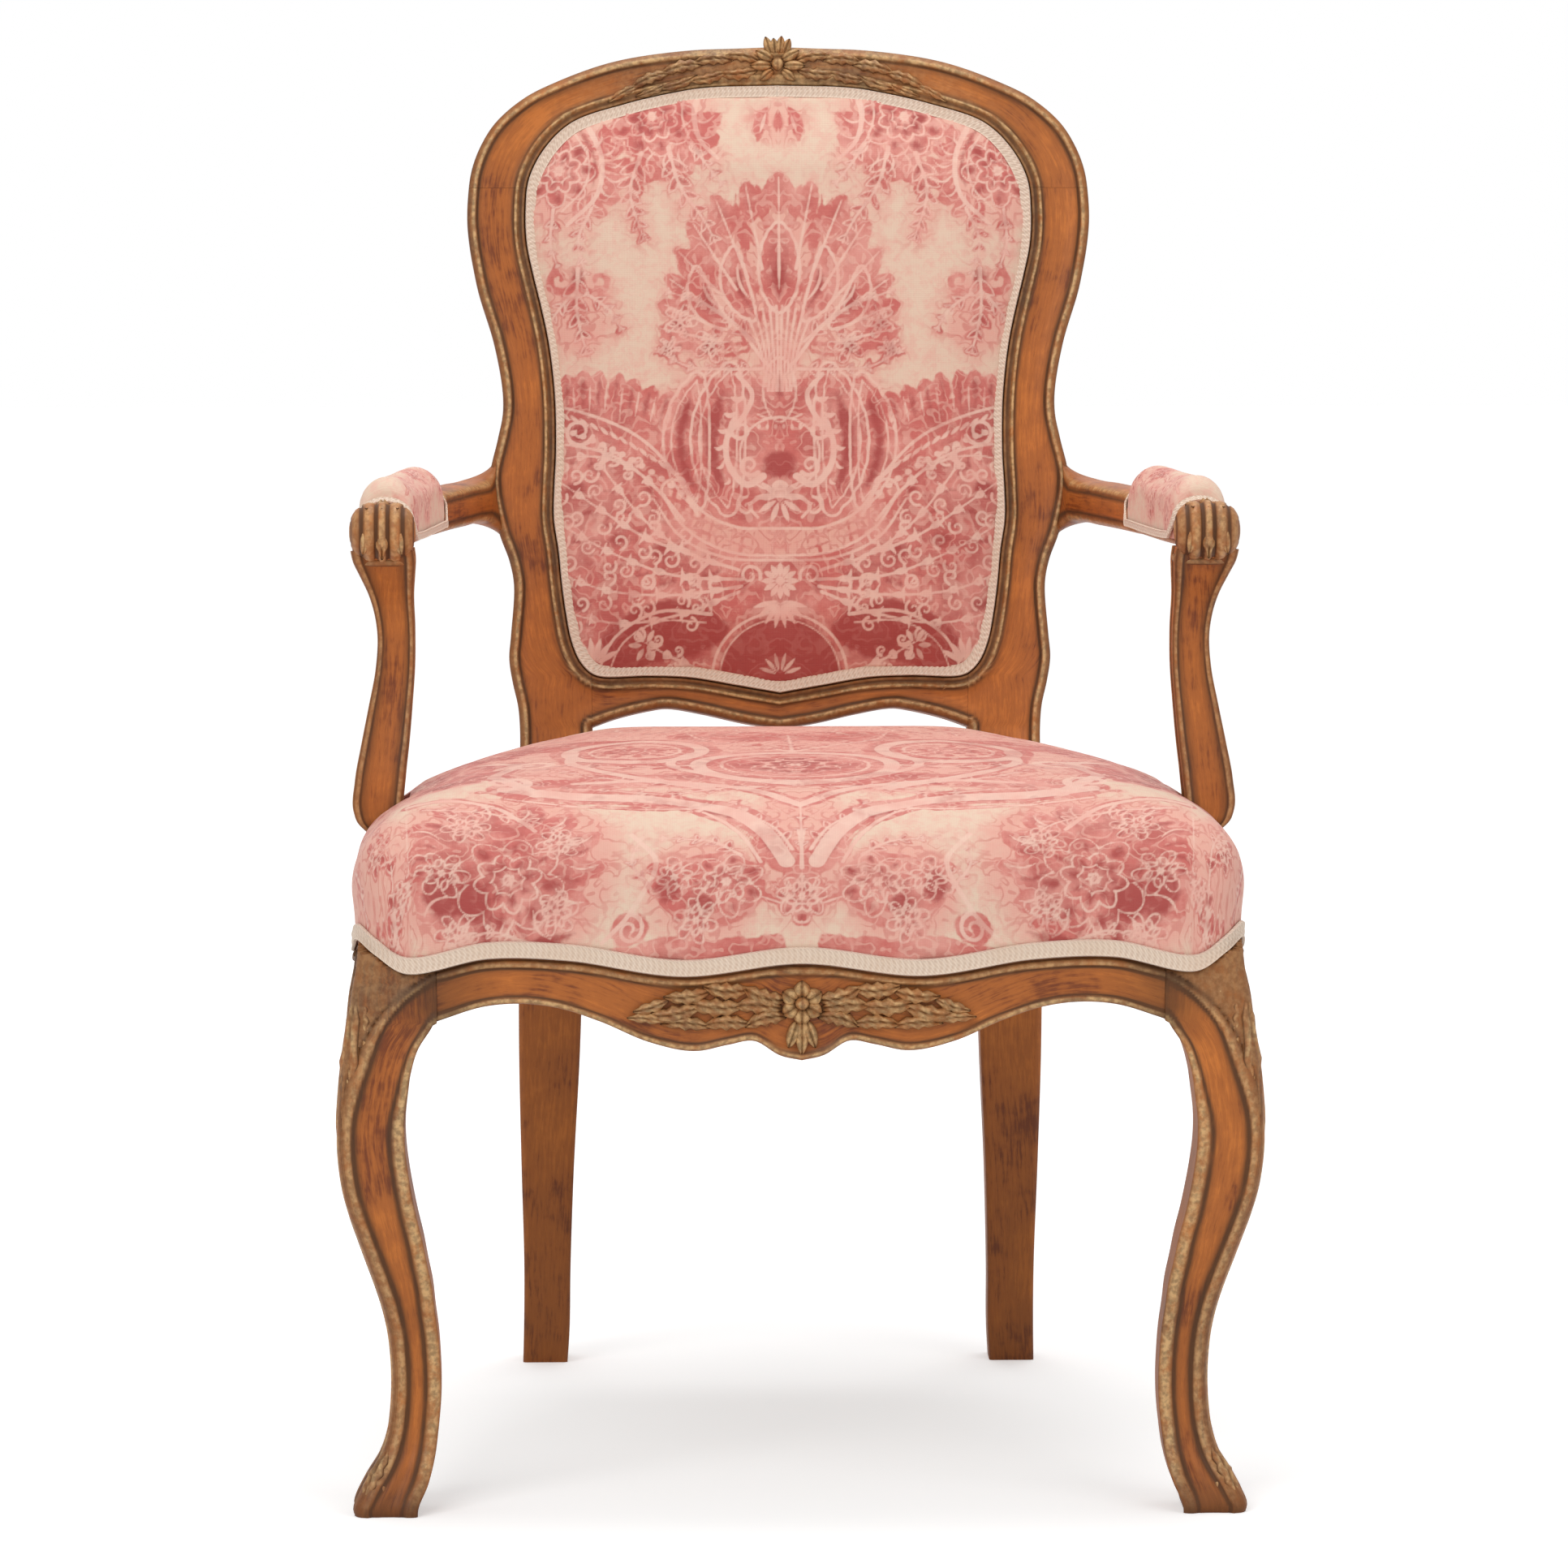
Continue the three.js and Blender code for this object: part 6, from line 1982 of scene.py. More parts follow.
    def _hand_leaves(self) -> list[Mesh]:
        """Small leaves over the hand, and the collar under it.

        Returns:
            The carving's meshes.
        """
        parts = []
        x, y, z = self.reach, *self.hand
        for shift, width, rise in ((-10.5, 9, 3.4), (0.0, 8, 6.0), (10.5, 9, 3.4)):
            base = (x + shift * 0.7, y + 34, z + 15.5)
            tip = (x + shift, y - 12, z + 17.0)
            parts.append(Leaf(base, tip, width, rise, (0, -0.2, 1), lobes=4).mesh())
        parts.append(Leaf((x, y - 14, z + 13), (x, y - 17, z - 18), 9, 5.0, (0, -1, 0), lobes=3).mesh())
        for sign in (-1, 1):
            base, tip = (x + sign * 8, y - 17, z + 8), (x + sign * 13, y - 14, z - 15)
            parts.append(Leaf(base, tip, 8, 3.0, (0, -1, 0)).mesh())
        return parts

    def support(self) -> Mesh:
        """The right arm support, its face hollowed between two beads.

        Returns:
            The piece's mesh.
        """
        low, top = self.plan.rail_top - 16.0, self.height - self.depth / 4
        sections = []
        start = (self.plan.rail_top + 0.4 - low) / (top - low)
        stretches = (np.linspace(start, 0.18, 6), np.linspace(0.19, 0.29, 16), np.linspace(0.3, 1, 64))
        for share in np.concatenate(stretches):
            out, back, width, depth = table_at(SUPPORT_SHARES, float(share))[0]
            centre = (self.support_x + out * self.support_width, self.support_y + back * self.support_width)
            half_x, half_y = width * self.support_width / 2, depth * self.support_width / 2
            flat, gilt, dirt = self._worked(half_x, half_y)
            z = np.full(len(flat), low + share * (top - low))
            sections.append((np.column_stack([flat + centre, z]), gilt, dirt))
        body = Rings.of(sections).mesh()
        return merged([body, self._collar()])

    @staticmethod
    def _worked(half_x: float, half_y: float) -> Worked:
        """A section whose four faces are hollow between beads at its corners.

        Args:
            half_x: half its width.
            half_y: half its depth.

        Returns:
            Flat points, gilding and dirt.
        """
        face = np.array([
            (-0.95, 0.95, 0.1, 0.6), (-0.86, 1.0, 0.45, 0.15), (-0.77, 0.985, 0.6, 0.1),
            (-0.7, 0.94, 0.0, 0.9),
            (-0.58, 0.93, 0.0, 0.45), (-0.3, 0.915, 0.0, 0.0), (0.0, 0.905, 0.0, 0.0), (0.3, 0.915, 0.0, 0.0),
            (0.58, 0.93, 0.0, 0.45), (0.7, 0.94, 0.0, 0.9), (0.77, 0.985, 0.6, 0.1), (0.86, 1.0, 0.45, 0.15),
        ])
        points, gilt, dirt = [], [], []
        for quarter in range(4):
            cos, sin = round(math.cos(quarter * math.pi / 2)), round(math.sin(quarter * math.pi / 2))
            for along, out, g, d in face:
                x, y = along, -out
                points.append(((x * cos - y * sin) * half_x, (x * sin + y * cos) * half_y))
                gilt.append(g)
                dirt.append(d)
        return np.array(points), np.array(gilt), np.array(dirt)

    def _collar(self) -> Mesh:
        """A rolled collar where the support meets the hand.

        Returns:
            The piece's mesh.
        """
        out, back, width, depth = table_at(SUPPORT_SHARES, 0.96)[0]
        x, y = self.support_x + out * self.support_width, self.support_y + back * self.support_width
        sections = []
        half_x, half_y = width * self.support_width / 2 * 0.95, depth * self.support_width / 2
        for z, grow, dirt in self.collar_rings:
            flat, _, _ = self._section(half_x * grow, half_y * grow)
            plain = np.ones(len(flat))
            ring = np.column_stack([flat + (x, y), plain * z])
            sections.append((ring, plain * (0.5 if grow > 1 else 0), plain * dirt))
        return Rings.of(sections).mesh()

    def build(self, maker: Maker, moulded: Material) -> None:
        """Makes both arms and supports."""
        for stem, mesh in (("arm", self.arm()), ("arm_support", self.support())):
            maker.pair(stem, "carved", mesh, moulded, "carved_beech")


# ---------------------------------------------------------------- pattern


class Drawing:
    """Part of a pattern, drawn as a distance in mm that is below 0 inside its shapes."""

    def __init__(self, points: Array) -> None:
        """Starts an empty field over flat points in mm; the pattern is mirrored about X = 0.

        Args:
            points: the places, in mm.
        """
        self.points = np.column_stack([np.abs(points[:, 0]), points[:, 1]])
        self.field = np.full(len(points), 60.0)

    def petal(
        self, x0: float, y0: float, x1: float, y1: float, width: float, bend: float = 0.0, sharp: float = 0.7
    ) -> None:
        """A leaf between two points.

        Args:
            x0: across at its base.
            y0: up at its base.
            x1: across at its tip.
            y1: up at its tip.
            width: its full width.
            bend: how far its spine bows to the left of its run.
            sharp: how pointed its ends are.
        """
        start, end = np.array([x0, y0]), np.array([x1, y1])
        along = end - start
        side = np.array([-along[1], along[0]]) / max(np.linalg.norm(along), 1e-6)
        shares = np.linspace(0, 1, 9)
        spine = start + shares[:, None] * along + np.sin(np.pi * shares)[:, None] * side * bend
        radii = np.maximum(width / 2 * np.sin(np.pi * np.clip(shares, 0.03, 0.97)) ** sharp, 0.3)
        self._chain(spine, radii)

    def stroke(self, points: Points, start: float, end: float) -> None:
        """A line of changing width through points.

        Args:
            points: what it runs through.
            start: its first width.
            end: its last.
        """
        spine = smooth(points, per_span=6)
        self._chain(spine, np.linspace(start / 2, end / 2, len(spine)))

    def blob(self, x: float, y: float, rx: float, ry: float) -> None:
        """An oval.

        Args:
            x: its middle across.
            y: its middle along.
            rx: half its width.
            ry: half its height.
        """
        near = self._near(np.array([[x, y]]), max(rx, ry))
        offset = (self.points[near] - (x, y)) / (rx, ry)
        self.field[near] = np.minimum(self.field[near], (np.linalg.norm(offset, axis=1) - 1) * min(rx, ry))

    def fan(
        self, x: float, y: float, r0: float, r1: float, a0: float, a1: float, count: int, width: float,
        bend: float = 0.0,
    ) -> None:
        """Petals set round a point, from one radius to another and between two angles in degrees.

        Args:
            x: its middle across.
            y: its middle along.
            r0: where the petals start.
            r1: where they end.
            a0: the first one's angle.
            a1: the last one's.
            count: how many there are.
            width: a petal's width.
            bend: how far a petal bows.
        """
        for i in range(count):
            angle = math.radians(a0 + (a1 - a0) * (i / max(count - 1, 1)))
            cos, sin = math.cos(angle), math.sin(angle)
            self.petal(x + r0 * cos, y + r0 * sin, x + r1 * cos, y + r1 * sin, width, bend)

    def scroll(self, x: float, y: float, radius: float, start: float, turns: float, width: float) -> None:
        """A spiral that winds in to a point; turns is negative for clockwise.

        Args:
            x: its middle across.
            y: its middle along.
            radius: its outer radius.
            start: the angle it starts at, in degrees.
            turns: how many turns it makes.
            width: its line's width.
        """
        shares = np.linspace(0, 1, 20)
        angles = math.radians(start) + shares * turns * 2 * math.pi
        reach = radius * (1 - 0.82 * shares)
        spine = np.column_stack([x + reach * np.cos(angles), y + reach * np.sin(angles)])
        self._chain(spine, np.linspace(width / 2, width / 4, len(spine)))

    def spray(
        self, points: Points, count: int, length: float, width: float, lean: float = 48.0,
        sides: Sequence[int] = (-1, 1), stem: float = 0.0, bend: float = 2.0,
    ) -> None:
        """Leaflets along a stem.

        Args:
            points: the stem.
            count: how many leaflets each side has.
            length: a leaflet's length at the foot; it falls to half at the tip.
            width: its width at the foot.
            lean: its angle from the stem in degrees.
            sides: which sides have them, 1 for the left of the run.
            stem: the stem's width, nothing for none.
            bend: how far a leaflet bows.
        """
        spine = smooth(points, per_span=10)
        reach = run_reach(spine)
        for i in range(count):
            share = (i + 0.6) / (count + 0.2)
            at, ahead = read_run(spine, reach, np.array([share, min(share + 0.05, 1)]) * reach[-1])
            way = math.atan2(*(ahead - at)[::-1])
            size = 1 - 0.5 * share
            for side in sides:
                angle = way + side * math.radians(lean)
                tip = at + size * length * np.array([math.cos(angle), math.sin(angle)])
                self.petal(*at, *tip, width * size, -side * bend)
        if stem:
            self.stroke(points, stem, stem / 2)

    def below(self, points: Points) -> None:
        """Everything below a run of points whose first numbers rise.

        Args:
            points: the run.
        """
        rows = np.asarray(points, dtype=float)
        level = np.interp(self.points[:, 0], rows[:, 0], rows[:, 1])
        self.field = np.minimum(self.field, (self.points[:, 1] - level) * 0.85)

    def outline(self, other: "Drawing", width: float, inset: float = 0.0) -> None:
        """A line along another drawing's edge."""
        self.field = np.minimum(self.field, np.abs(other.field + inset) - width / 2)

    def join(self, other: "Drawing") -> None:
        """Adds another drawing to this one."""
        self.field = np.minimum(self.field, other.field)

    def cut(self, other: "Drawing") -> None:
        """Takes another drawing out of this one."""
        self.field = np.maximum(self.field, -other.field)

    def _near(self, spine: Array, margin: float) -> Array:
        """Which points lie near enough to a spine to matter."""
        low, high = spine.min(axis=0) - margin - 12, spine.max(axis=0) + margin + 12
        return np.nonzero(np.all((self.points > low) & (self.points < high), axis=1))[0]

    def _chain(self, spine: Array, radii: Array) -> None:
        """A run of rounded links of changing width.

        Args:
            spine: the links' joints.
            radii: half the width at each.
        """
        near = self._near(spine, float(radii.max()))
        points = self.points[near]
        best = self.field[near]
        for a, b, ra, rb in zip(spine[:-1], spine[1:], radii[:-1], radii[1:]):
            along = b - a
            share = np.clip(((points - a) @ along) / max(along @ along, TINY), 0, 1)
            offset = points - a - share[:, None] * along
            distance = np.sqrt(offset[:, 0] ** 2 + offset[:, 1] ** 2) - (ra + (rb - ra) * share)
            best = np.minimum(best, distance)
        self.field[near] = best


@dataclass
class Pattern:
    """What the cloth's material reads: places on the cloth in mm, then its four drawings."""

    places: Array
    wash: Drawing
    figure: Drawing
    deep: Drawing
    line: Drawing

    @classmethod
    def over(cls, places: Array) -> "Pattern":
        """An empty pattern over places on the cloth."""
        return cls(places, *(Drawing(places) for _ in range(4)))

    def flower(self, x: float, y: float, size: float, turn: float = 0.0, petals: int = 7) -> None:
        """An open flower: a rose mass, dark petal hearts, light outlines and a seeded eye.

        Args:
            x: its middle across.
            y: its middle along.
            size: its radius.
            turn: the first petal's angle.
            petals: how many there are.
        """
        last = turn + 360 * (petals - 1) / petals
        self.wash.blob(x, y, size * 1.15, size * 1.1)
        outer, inner = Drawing(self.places), Drawing(self.places)
        outer.fan(x, y, size * 0.3, size, turn, last, petals, size * 0.66, 2)
        inner.fan(x, y, size * 0.12, size * 0.6, turn + 24, last + 24, petals, size * 0.36)
        self.figure.join(outer)
        self.figure.join(inner)
        self.line.outline(outer, 1.0, 1.6)
        self.line.outline(inner, 1.3)
        self.deep.fan(x, y, size * 0.66, size * 0.92, turn, last, petals, size * 0.2)
        self.deep.fan(x, y, size * 0.2, size * 0.5, turn + 24, last + 24, petals, size * 0.18)
        self.line.fan(x, y, 0.5, size * 0.16, turn, turn + 300, 6, 1.5)

    def leaf(self, points: Points, width: float, lobes: int = 5, light: bool = False) -> None:
        """A long toothed leaf with a light rib and edge.

        Args:
            points: its rib, from base to tip.
            width: how far its teeth reach.
            lobes: how many teeth each side has.
            light: drawn light on the rose field, in place of rose on the cream.
        """
        blade, folds = Drawing(self.places), Drawing(self.places)
        blade.spray(points, lobes, width, width * 0.56, 38, bend=1.5, stem=width * 0.3)
        folds.spray(points, lobes, width * 0.72, width * 0.17, 34, bend=1.5)
        if light:
            self.line.spray(points, lobes - 1, width, 3.4, 32, bend=4.5)
            self._curls(points, width * 0.42, lobes // 2)
            shade = Drawing(self.places)
            shade.spray([(x + 2.0, y - 4.0) for x, y in points], lobes, width, width * 0.36, 34)
            shade.cut(blade)
            self.deep.join(shade)
        else:
            self.wash.spray(points, lobes, width * 1.2, width * 0.9, 38, stem=width * 0.6)
            self.figure.join(blade)
            self.deep.join(folds)
            self.line.outline(blade, 1.0, 1.3)
        self.line.stroke(points, 2.2, 0.9)

    def _curls(self, points: Points, size: float, count: int) -> None:
        """Small light curls on both sides of a stem.

        Args:
            points: the stem.
            size: a curl's radius.
            count: how many each side.
        """
        spine = smooth(points, per_span=10)
        for i in range(count):
            place = int((i + 0.9) / (count + 0.5) * (len(spine) - 2)) + 1
            (x, y), run = spine[place], spine[place] - spine[place - 1]
            way = math.degrees(math.atan2(run[1], run[0]))
            for side in (-1, 1):
                turn = math.radians(way + side * 62)
                across, up = x + 1.9 * size * math.cos(turn), y + 1.9 * size * math.sin(turn)
                self.line.scroll(across, up, size, way - side * 118, -side * 1.1, 2.0)

    def band(self, points: Points, start: float, end: float) -> None:
        """A broad light band of changing width with rose along both its sides."""
        self.figure.stroke(points, start * 2.1, end * 2.1)
        self.line.stroke(points, start, end)

    def net(self, points: Points, width: float, pitch: float) -> None:
        """A paler band crossed by a rose net and rimmed with light lines.

        Args:
            points: the band's middle.
            width: its width at the start.
            pitch: how wide a mesh of the net is.
        """
        band, net, rim = (Drawing(self.places) for _ in range(3))
        band.stroke(points, width, width * 0.8)
        rim.outline(band, 1.8)
        x, y = net.points.T
        ways = (x + y * 0.2, y - x * 0.35)
        lines = [np.abs((way + pitch / 2) % pitch - pitch / 2) - pitch / 7 for way in ways]
        net.field = np.maximum(np.minimum(*lines), band.field + 1.5)
        self.figure.cut(band)
        self.figure.join(net)
        self.line.join(rim)

    def scatter(self, box: tuple[float, float, float, float], pitch: float, seed: int) -> None:
        """Fills a box of cloth with small flowers and leaves, set at random but always the same.

        Args:
            box: its low and high across, then its low and high along.
            pitch: about how far apart they stand.
            seed: the seed of their places.
        """
        chance = np.random.default_rng(seed)
        for x in np.arange(box[0], box[1], pitch):
            for y in np.arange(box[2], box[3], pitch):
                cx, cy = x + chance.uniform(-0.3, 0.3) * pitch, y + chance.uniform(-0.3, 0.3) * pitch
                if chance.random() < 0.45:
                    self.flower(cx, cy, pitch * chance.uniform(0.3, 0.46), chance.uniform(0, 60), 6)
                else:
                    turn = chance.uniform(0, 2 * math.pi)
                    reach = pitch * 0.5
                    tip = (cx + reach * math.cos(turn), cy + reach * math.sin(turn))
                    side = (cx + 0.3 * reach * math.sin(turn), cy - 0.3 * reach * math.cos(turn))
                    self.leaf([(2 * cx - tip[0], 2 * cy - tip[1]), side, tip], pitch * 0.3, 4)


def back_pattern(places: Array) -> Pattern:
    """A palmette over a vase among leaf branches, for the back; across and up the back in mm.

    Args:
        places: places on the cloth.

    Returns:
        The pattern.
    """
    made = Pattern.over(places)
    _back_top(made)
    _back_palmette(made)
    _back_vase(made)
    _back_branches(made)
    _back_foot(made)
    return made


def _back_top(made: Pattern) -> None:
    """Shell flowers, corner masses and side sprigs hung on the cream ground.

    Args:
        made: the pattern, drawn on here.
    """
    wash, figure, deep, line = made.wash, made.figure, made.deep, made.line
    wash.blob(6, 488, 16, 16)
    figure.petal(7, 500, 15, 474, 10, 2)
    figure.petal(1, 496, 1, 480, 4)
    line.petal(9, 494, 13, 480, 2.4)
    wash.blob(84, 488, 42, 36)
    made.flower(92, 492, 30, 12, 9)
    figure.fan(84, 486, 20, 42, 170, 285, 6, 17, 4)
    line.fan(84, 486, 22, 38, 170, 285, 6, 1.6, 4)
    deep.blob(96, 504, 14, 9)
    line.stroke([(52, 520), (61, 496), (57, 474), (44, 460)], 5, 2)
    line.stroke([(64, 516), (70, 496), (66, 478), (56, 464)], 1.6, 1)
    wash.stroke([(58, 516), (56, 486), (46, 460)], 22, 12)
    made.leaf([(80, 468), (72, 440), (54, 414), (46, 398)], 17, 6)
    made.leaf([(100, 464), (108, 436), (98, 400)], 17, 6)
    made.leaf([(64, 472), (50, 452), (40, 440)], 11, 4)
    wash.blob(152, 452, 38, 46)
    made.flower(160, 452, 26, 0, 8)
    figure.fan(146, 452, 20, 38, 120, 262, 7, 12, 4)
    line.fan(146, 452, 20, 34, 120, 262, 7, 1.5, 4)
    line.stroke([(140, 488), (129, 462), (132, 434), (154, 412)], 4, 2.6)
    line.stroke([(148, 480), (138, 460), (141, 440), (158, 422)], 1.4, 1.2)
    deep.stroke([(146, 486), (134, 461), (137, 436), (156, 416)], 1.6, 1.2)
    made.leaf([(136, 424), (146, 400), (140, 374)], 12, 5)
    made.leaf([(164, 424), (166, 398), (160, 380)], 10, 4)
    wash.blob(146, 348, 27, 34)
    figure.scroll(132, 371, 11, 0, -1.0, 5)
    figure.scroll(160, 373, 11, 180, 1.0, 5)
    made.leaf([(146, 380), (147, 350), (140, 318)], 17, 5)
    made.leaf([(140, 362), (124, 350), (114, 334)], 11, 4)
    made.leaf([(152, 360), (164, 346), (172, 328)], 11, 4)
    deep.blob(146, 374, 6, 7)


def _back_palmette(made: Pattern) -> None:
    """The tall palmette with its tulips, seeds and fruit.

    Args:
        made: the pattern, drawn on here.
    """
    wash, figure, deep, line = made.wash, made.figure, made.deep, made.line
    for angle, reach in ((90, 130), (79, 128), (68, 122), (57, 114), (46, 105), (35, 97), (24, 91), (13, 86)):
        turn = math.radians(angle)
        tip = (reach * math.cos(turn), 316 + reach * math.sin(turn))
        foot = (0.3 * reach * math.cos(turn), 316 + 0.3 * reach * math.sin(turn))
        blade = Drawing(made.places)
        blade.petal(*foot, *tip, 27, 2, 0.5)
        wash.join(blade)
        figure.outline(blade, 2.0, 1.0)
        figure.petal(0.8 * tip[0], 316 + 0.8 * (tip[1] - 316), *tip, 17, 0, 0.5)
        for side in (-1, 1):
            a, b = turn + side * 0.1, turn + side * 0.055
            figure.petal(
                0.66 * reach * math.cos(a), 316 + 0.66 * reach * math.sin(a),
                0.99 * reach * math.cos(b), 316 + 0.99 * reach * math.sin(b), 6, side * 3,
            )
        line.stroke([(0.5 * reach * math.cos(turn), 316 + 0.5 * reach * math.sin(turn)), tip], 2.2, 1)
    tulips = Drawing(made.places)
    fronds = ((0, 352, 0, 408, 30, 0), (20, 344, 33, 392, 20, -6), (39, 338, 60, 378, 18, -7))
    for x0, y0, x1, y1, width, bend in fronds:
        tulips.petal(x0, y0, x1, y1, width, bend, 0.45)
        deep.petal(x0, y0 + 6, x0 + 0.7 * (x1 - x0), y0 + 0.7 * (y1 - y0), width * 0.34, bend * 0.6, 0.5)
        line.petal(x0, y0 + 12, x0 + 0.8 * (x1 - x0), y0 + 0.8 * (y1 - y0), 2.2, bend * 0.6)
    figure.join(tulips)
    line.outline(tulips, 2.0)
    wash.stroke([(0, 300), (6, 330), (10, 356)], 34, 40)
    for x, top in ((2, 352), (7, 352), (12, 350), (17, 347), (22, 343)):
        line.stroke([(x * 0.4, 290), (x * 0.6, 318), (x, top)], 1.1, 1.7)
        figure.stroke([(x * 0.4 + 1.6, 292), (x * 0.6 + 1.8, 318), (x + 2.4, top - 4)], 1.0, 1.2)
    for row in range(6):
        figure.blob(4 + 0.8 * row, 304 + row * 8, 1.7, 2.3)
        figure.blob(11 + 1.1 * row, 302 + row * 8, 1.5, 2.1)
    for x, y, size in ((49, 324, 14), (72, 341, 13), (80, 322, 9)):
        made.flower(x, y, size, 30, 5)
        deep.blob(x + 2, y - 2, size * 0.45, size * 0.4)
    made.leaf([(18, 326), (44, 348), (84, 364)], 12, 6)
    made.leaf([(12, 306), (40, 306), (66, 308), (92, 322)], 11, 6)
    line.stroke([(10, 310), (34, 340), (70, 362)], 2.4, 1.4)


def _back_vase(made: Pattern) -> None:
    """The vase with its rounded shoulders and light scrolls, on the rose field of the lower half.

    Args:
        made: the pattern, drawn on here.
    """
    wash, figure, deep, line = made.wash, made.figure, made.deep, made.line
    figure.below([
        (0, 296), (24, 302), (36, 300), (60, 302), (72, 290), (80, 268), (92, 272), (118, 286), (170, 290),
    ])
    wash.below([(0, 308), (60, 310), (78, 290), (92, 290), (170, 300)])
    heads = ((88, 276), (99, 282), (110, 286), (121, 289), (132, 291), (143, 291), (154, 290), (164, 288))
    for i, (x, y) in enumerate(heads):
        turn = math.radians(122 - 6 * i)
        figure.petal(x, y - 8, x + 16 * math.cos(turn), y + 13 * math.sin(turn), 13, 0, 0.5)
        deep.petal(x, y - 12, x + 10 * math.cos(turn), y + 7 * math.sin(turn), 4)
        line.petal(x - 5, y - 14, x - 5 + 9 * math.cos(turn), y + 4 * math.sin(turn), 1.4)
    for x0, y0, x1, y1, width, bend in ((36, 304, 38, 206, 40, 8), (60, 298, 60, 210, 34, 8)):
        lobe = Drawing(made.places)
        lobe.petal(x0, y0, x1, y1, width, bend, 0.45)
        line.outline(lobe, 1.8)
        deep.petal(x0 + 5, y0 - 14, x1 + 4, y1 + 12, width * 0.26, bend, 0.5)
        line.outline(lobe, 1.2, 6.0)
    bowl, neck = Drawing(made.places), Drawing(made.places)
    bowl.blob(0, 244, 29, 27)
    neck.petal(0, 310, 0, 272, 24, 0, 0.4)
    line.outline(bowl, 1.5)
    line.outline(neck, 1.4)
    deep.blob(0, 236, 13, 11)
    deep.petal(0, 302, 0, 284, 8)
    line.stroke([(31, 302), (20, 288), (26, 272), (38, 257), (37, 236), (24, 222), (12, 228)], 3.0, 5.0)
    line.scroll(28, 262, 9, 60, -1.2, 3)
    line.scroll(22, 236, 8, 220, 1.3, 3)
    line.spray([(22, 292), (34, 270), (42, 242), (34, 220)], 6, 10, 4.0, 60, (1,))
    line.stroke([(0, 271), (8, 270), (16, 273)], 1.8, 1.4)
    for x in (3, 9, 15):
        line.blob(x, 264, 1.3, 1.8)
    line.blob(0, 220, 6, 5)
    line.stroke([(0, 214), (14, 213), (22, 206), (16, 198)], 3.2, 2)
    line.scroll(24, 206, 7, 90, -1.2, 2.2)
    line.fan(0, 212, 4, 18, -70, 40, 4, 4)


def _back_branches(made: Pattern) -> None:
    """Light leaf branches that leave the foot of the vase for the sides, and the pierced band.

    Args:
        made: the pattern, drawn on here.
    """
    wash, deep, line = made.wash, made.deep, made.line
    line.stroke([(60, 200), (76, 230), (104, 258), (150, 278), (172, 282)], 2.4, 1.8)
    line.stroke([(70, 196), (90, 220), (120, 243), (150, 252), (172, 254)], 2.0, 1.6)
    for i in range(14):
        share = i / 13
        x, y = 72 + 92 * share, 216 + 72 * share - 22 * share**2
        line.blob(x, y, 2.5, 2.1)
        line.petal(x - 4, y + 7, x + 2, y + 13, 2.6)
    line.scroll(146, 262, 11, 200, 1.5, 3.0)
    deep.blob(146, 262, 8, 7)
    made.net([(0, 180), (34, 182), (62, 196), (78, 218)], 20, 8.0)
    line.stroke([(0, 167), (40, 169), (72, 184), (92, 212)], 2.0, 1.5)
    branches = (
        ([(30, 160), (66, 172), (98, 196), (122, 226), (134, 244)], 15, 7),
        ([(60, 170), (98, 184), (132, 206), (168, 232)], 14, 7),
        ([(28, 153), (76, 156), (120, 172), (168, 200)], 14, 8),
        ([(28, 148), (76, 142), (126, 146), (170, 164)], 14, 8),
        ([(30, 144), (72, 128), (118, 122), (166, 134)], 13, 7),
        ([(84, 214), (110, 236), (140, 244), (170, 240)], 9, 6),
    )
    for points, width, lobes in branches:
        made.leaf(points, width, lobes, True)
    wash.fan(120, 200, 10, 50, -30, 60, 5, 18)
    curls = ((134, 218), (154, 196), (140, 178), (156, 152), (112, 160), (92, 198), (104, 140), (64, 152))
    for x, y in curls:
        line.scroll(x, y, 5.5, 40 * x, 1.3, 1.5)
    for x, y in ((150, 220), (118, 182), (146, 136), (88, 174), (166, 184)):
        deep.blob(x, y, 8, 6)


def _back_foot(made: Pattern) -> None:
    """The eyed rosette and the deep domes at the bottom.

    Args:
        made: the pattern, drawn on here.
    """
    deep, line = made.deep, made.line
    line.fan(0, 152, 4, 13, 0, 330, 12, 3.8)
    line.blob(0, 152, 3, 3)
    line.scroll(22, 156, 8, 200, -1.3, 2.4)
    deep.fan(24, 153, 2, 10, -60, 60, 3, 6)
    line.fan(0, 138, 3, 20, -165, -15, 8, 3.6)
    dome = Drawing(made.places)
    dome.blob(0, 84, 49, 45)
    line.outline(dome, 1.8)
    line.outline(dome, 0.9, 5.0)
    deep.blob(0, 84, 46, 42)
    deep.petal(46, 116, 126, 98, 46, 8, 0.4)
    line.stroke([(50, 128), (88, 130), (120, 112), (134, 84)], 2.4, 1.6)
    line.stroke([(54, 122), (88, 123), (114, 108), (126, 84)], 1.2, 1.0)
    made.leaf([(58, 88), (80, 98), (98, 108)], 9, 4, True)
    line.fan(98, 106, 3, 12, 0, 300, 6, 3.6)
    line.fan(136, 92, 4, 20, 40, 150, 6, 4)
    line.fan(0, 84, 4, 16, 20, 160, 6, 2.6)


def seat_pattern(places: Array) -> Pattern:
    """Scroll bands and flower masses for the seat; across, and back from the front edge's gimp in mm.

    Args:
        places: places on the cloth.

    Returns:
        The pattern.
    """
    made = Pattern.over(places)
    _seat_front(made)
    _seat_top(made)
    made.wash.blob(345, -90, 62, 330)
    made.scatter((285, 390, -380, 210), 44, 5)
    made.scatter((30, 250, 60, 250), 46, 9)
    return made


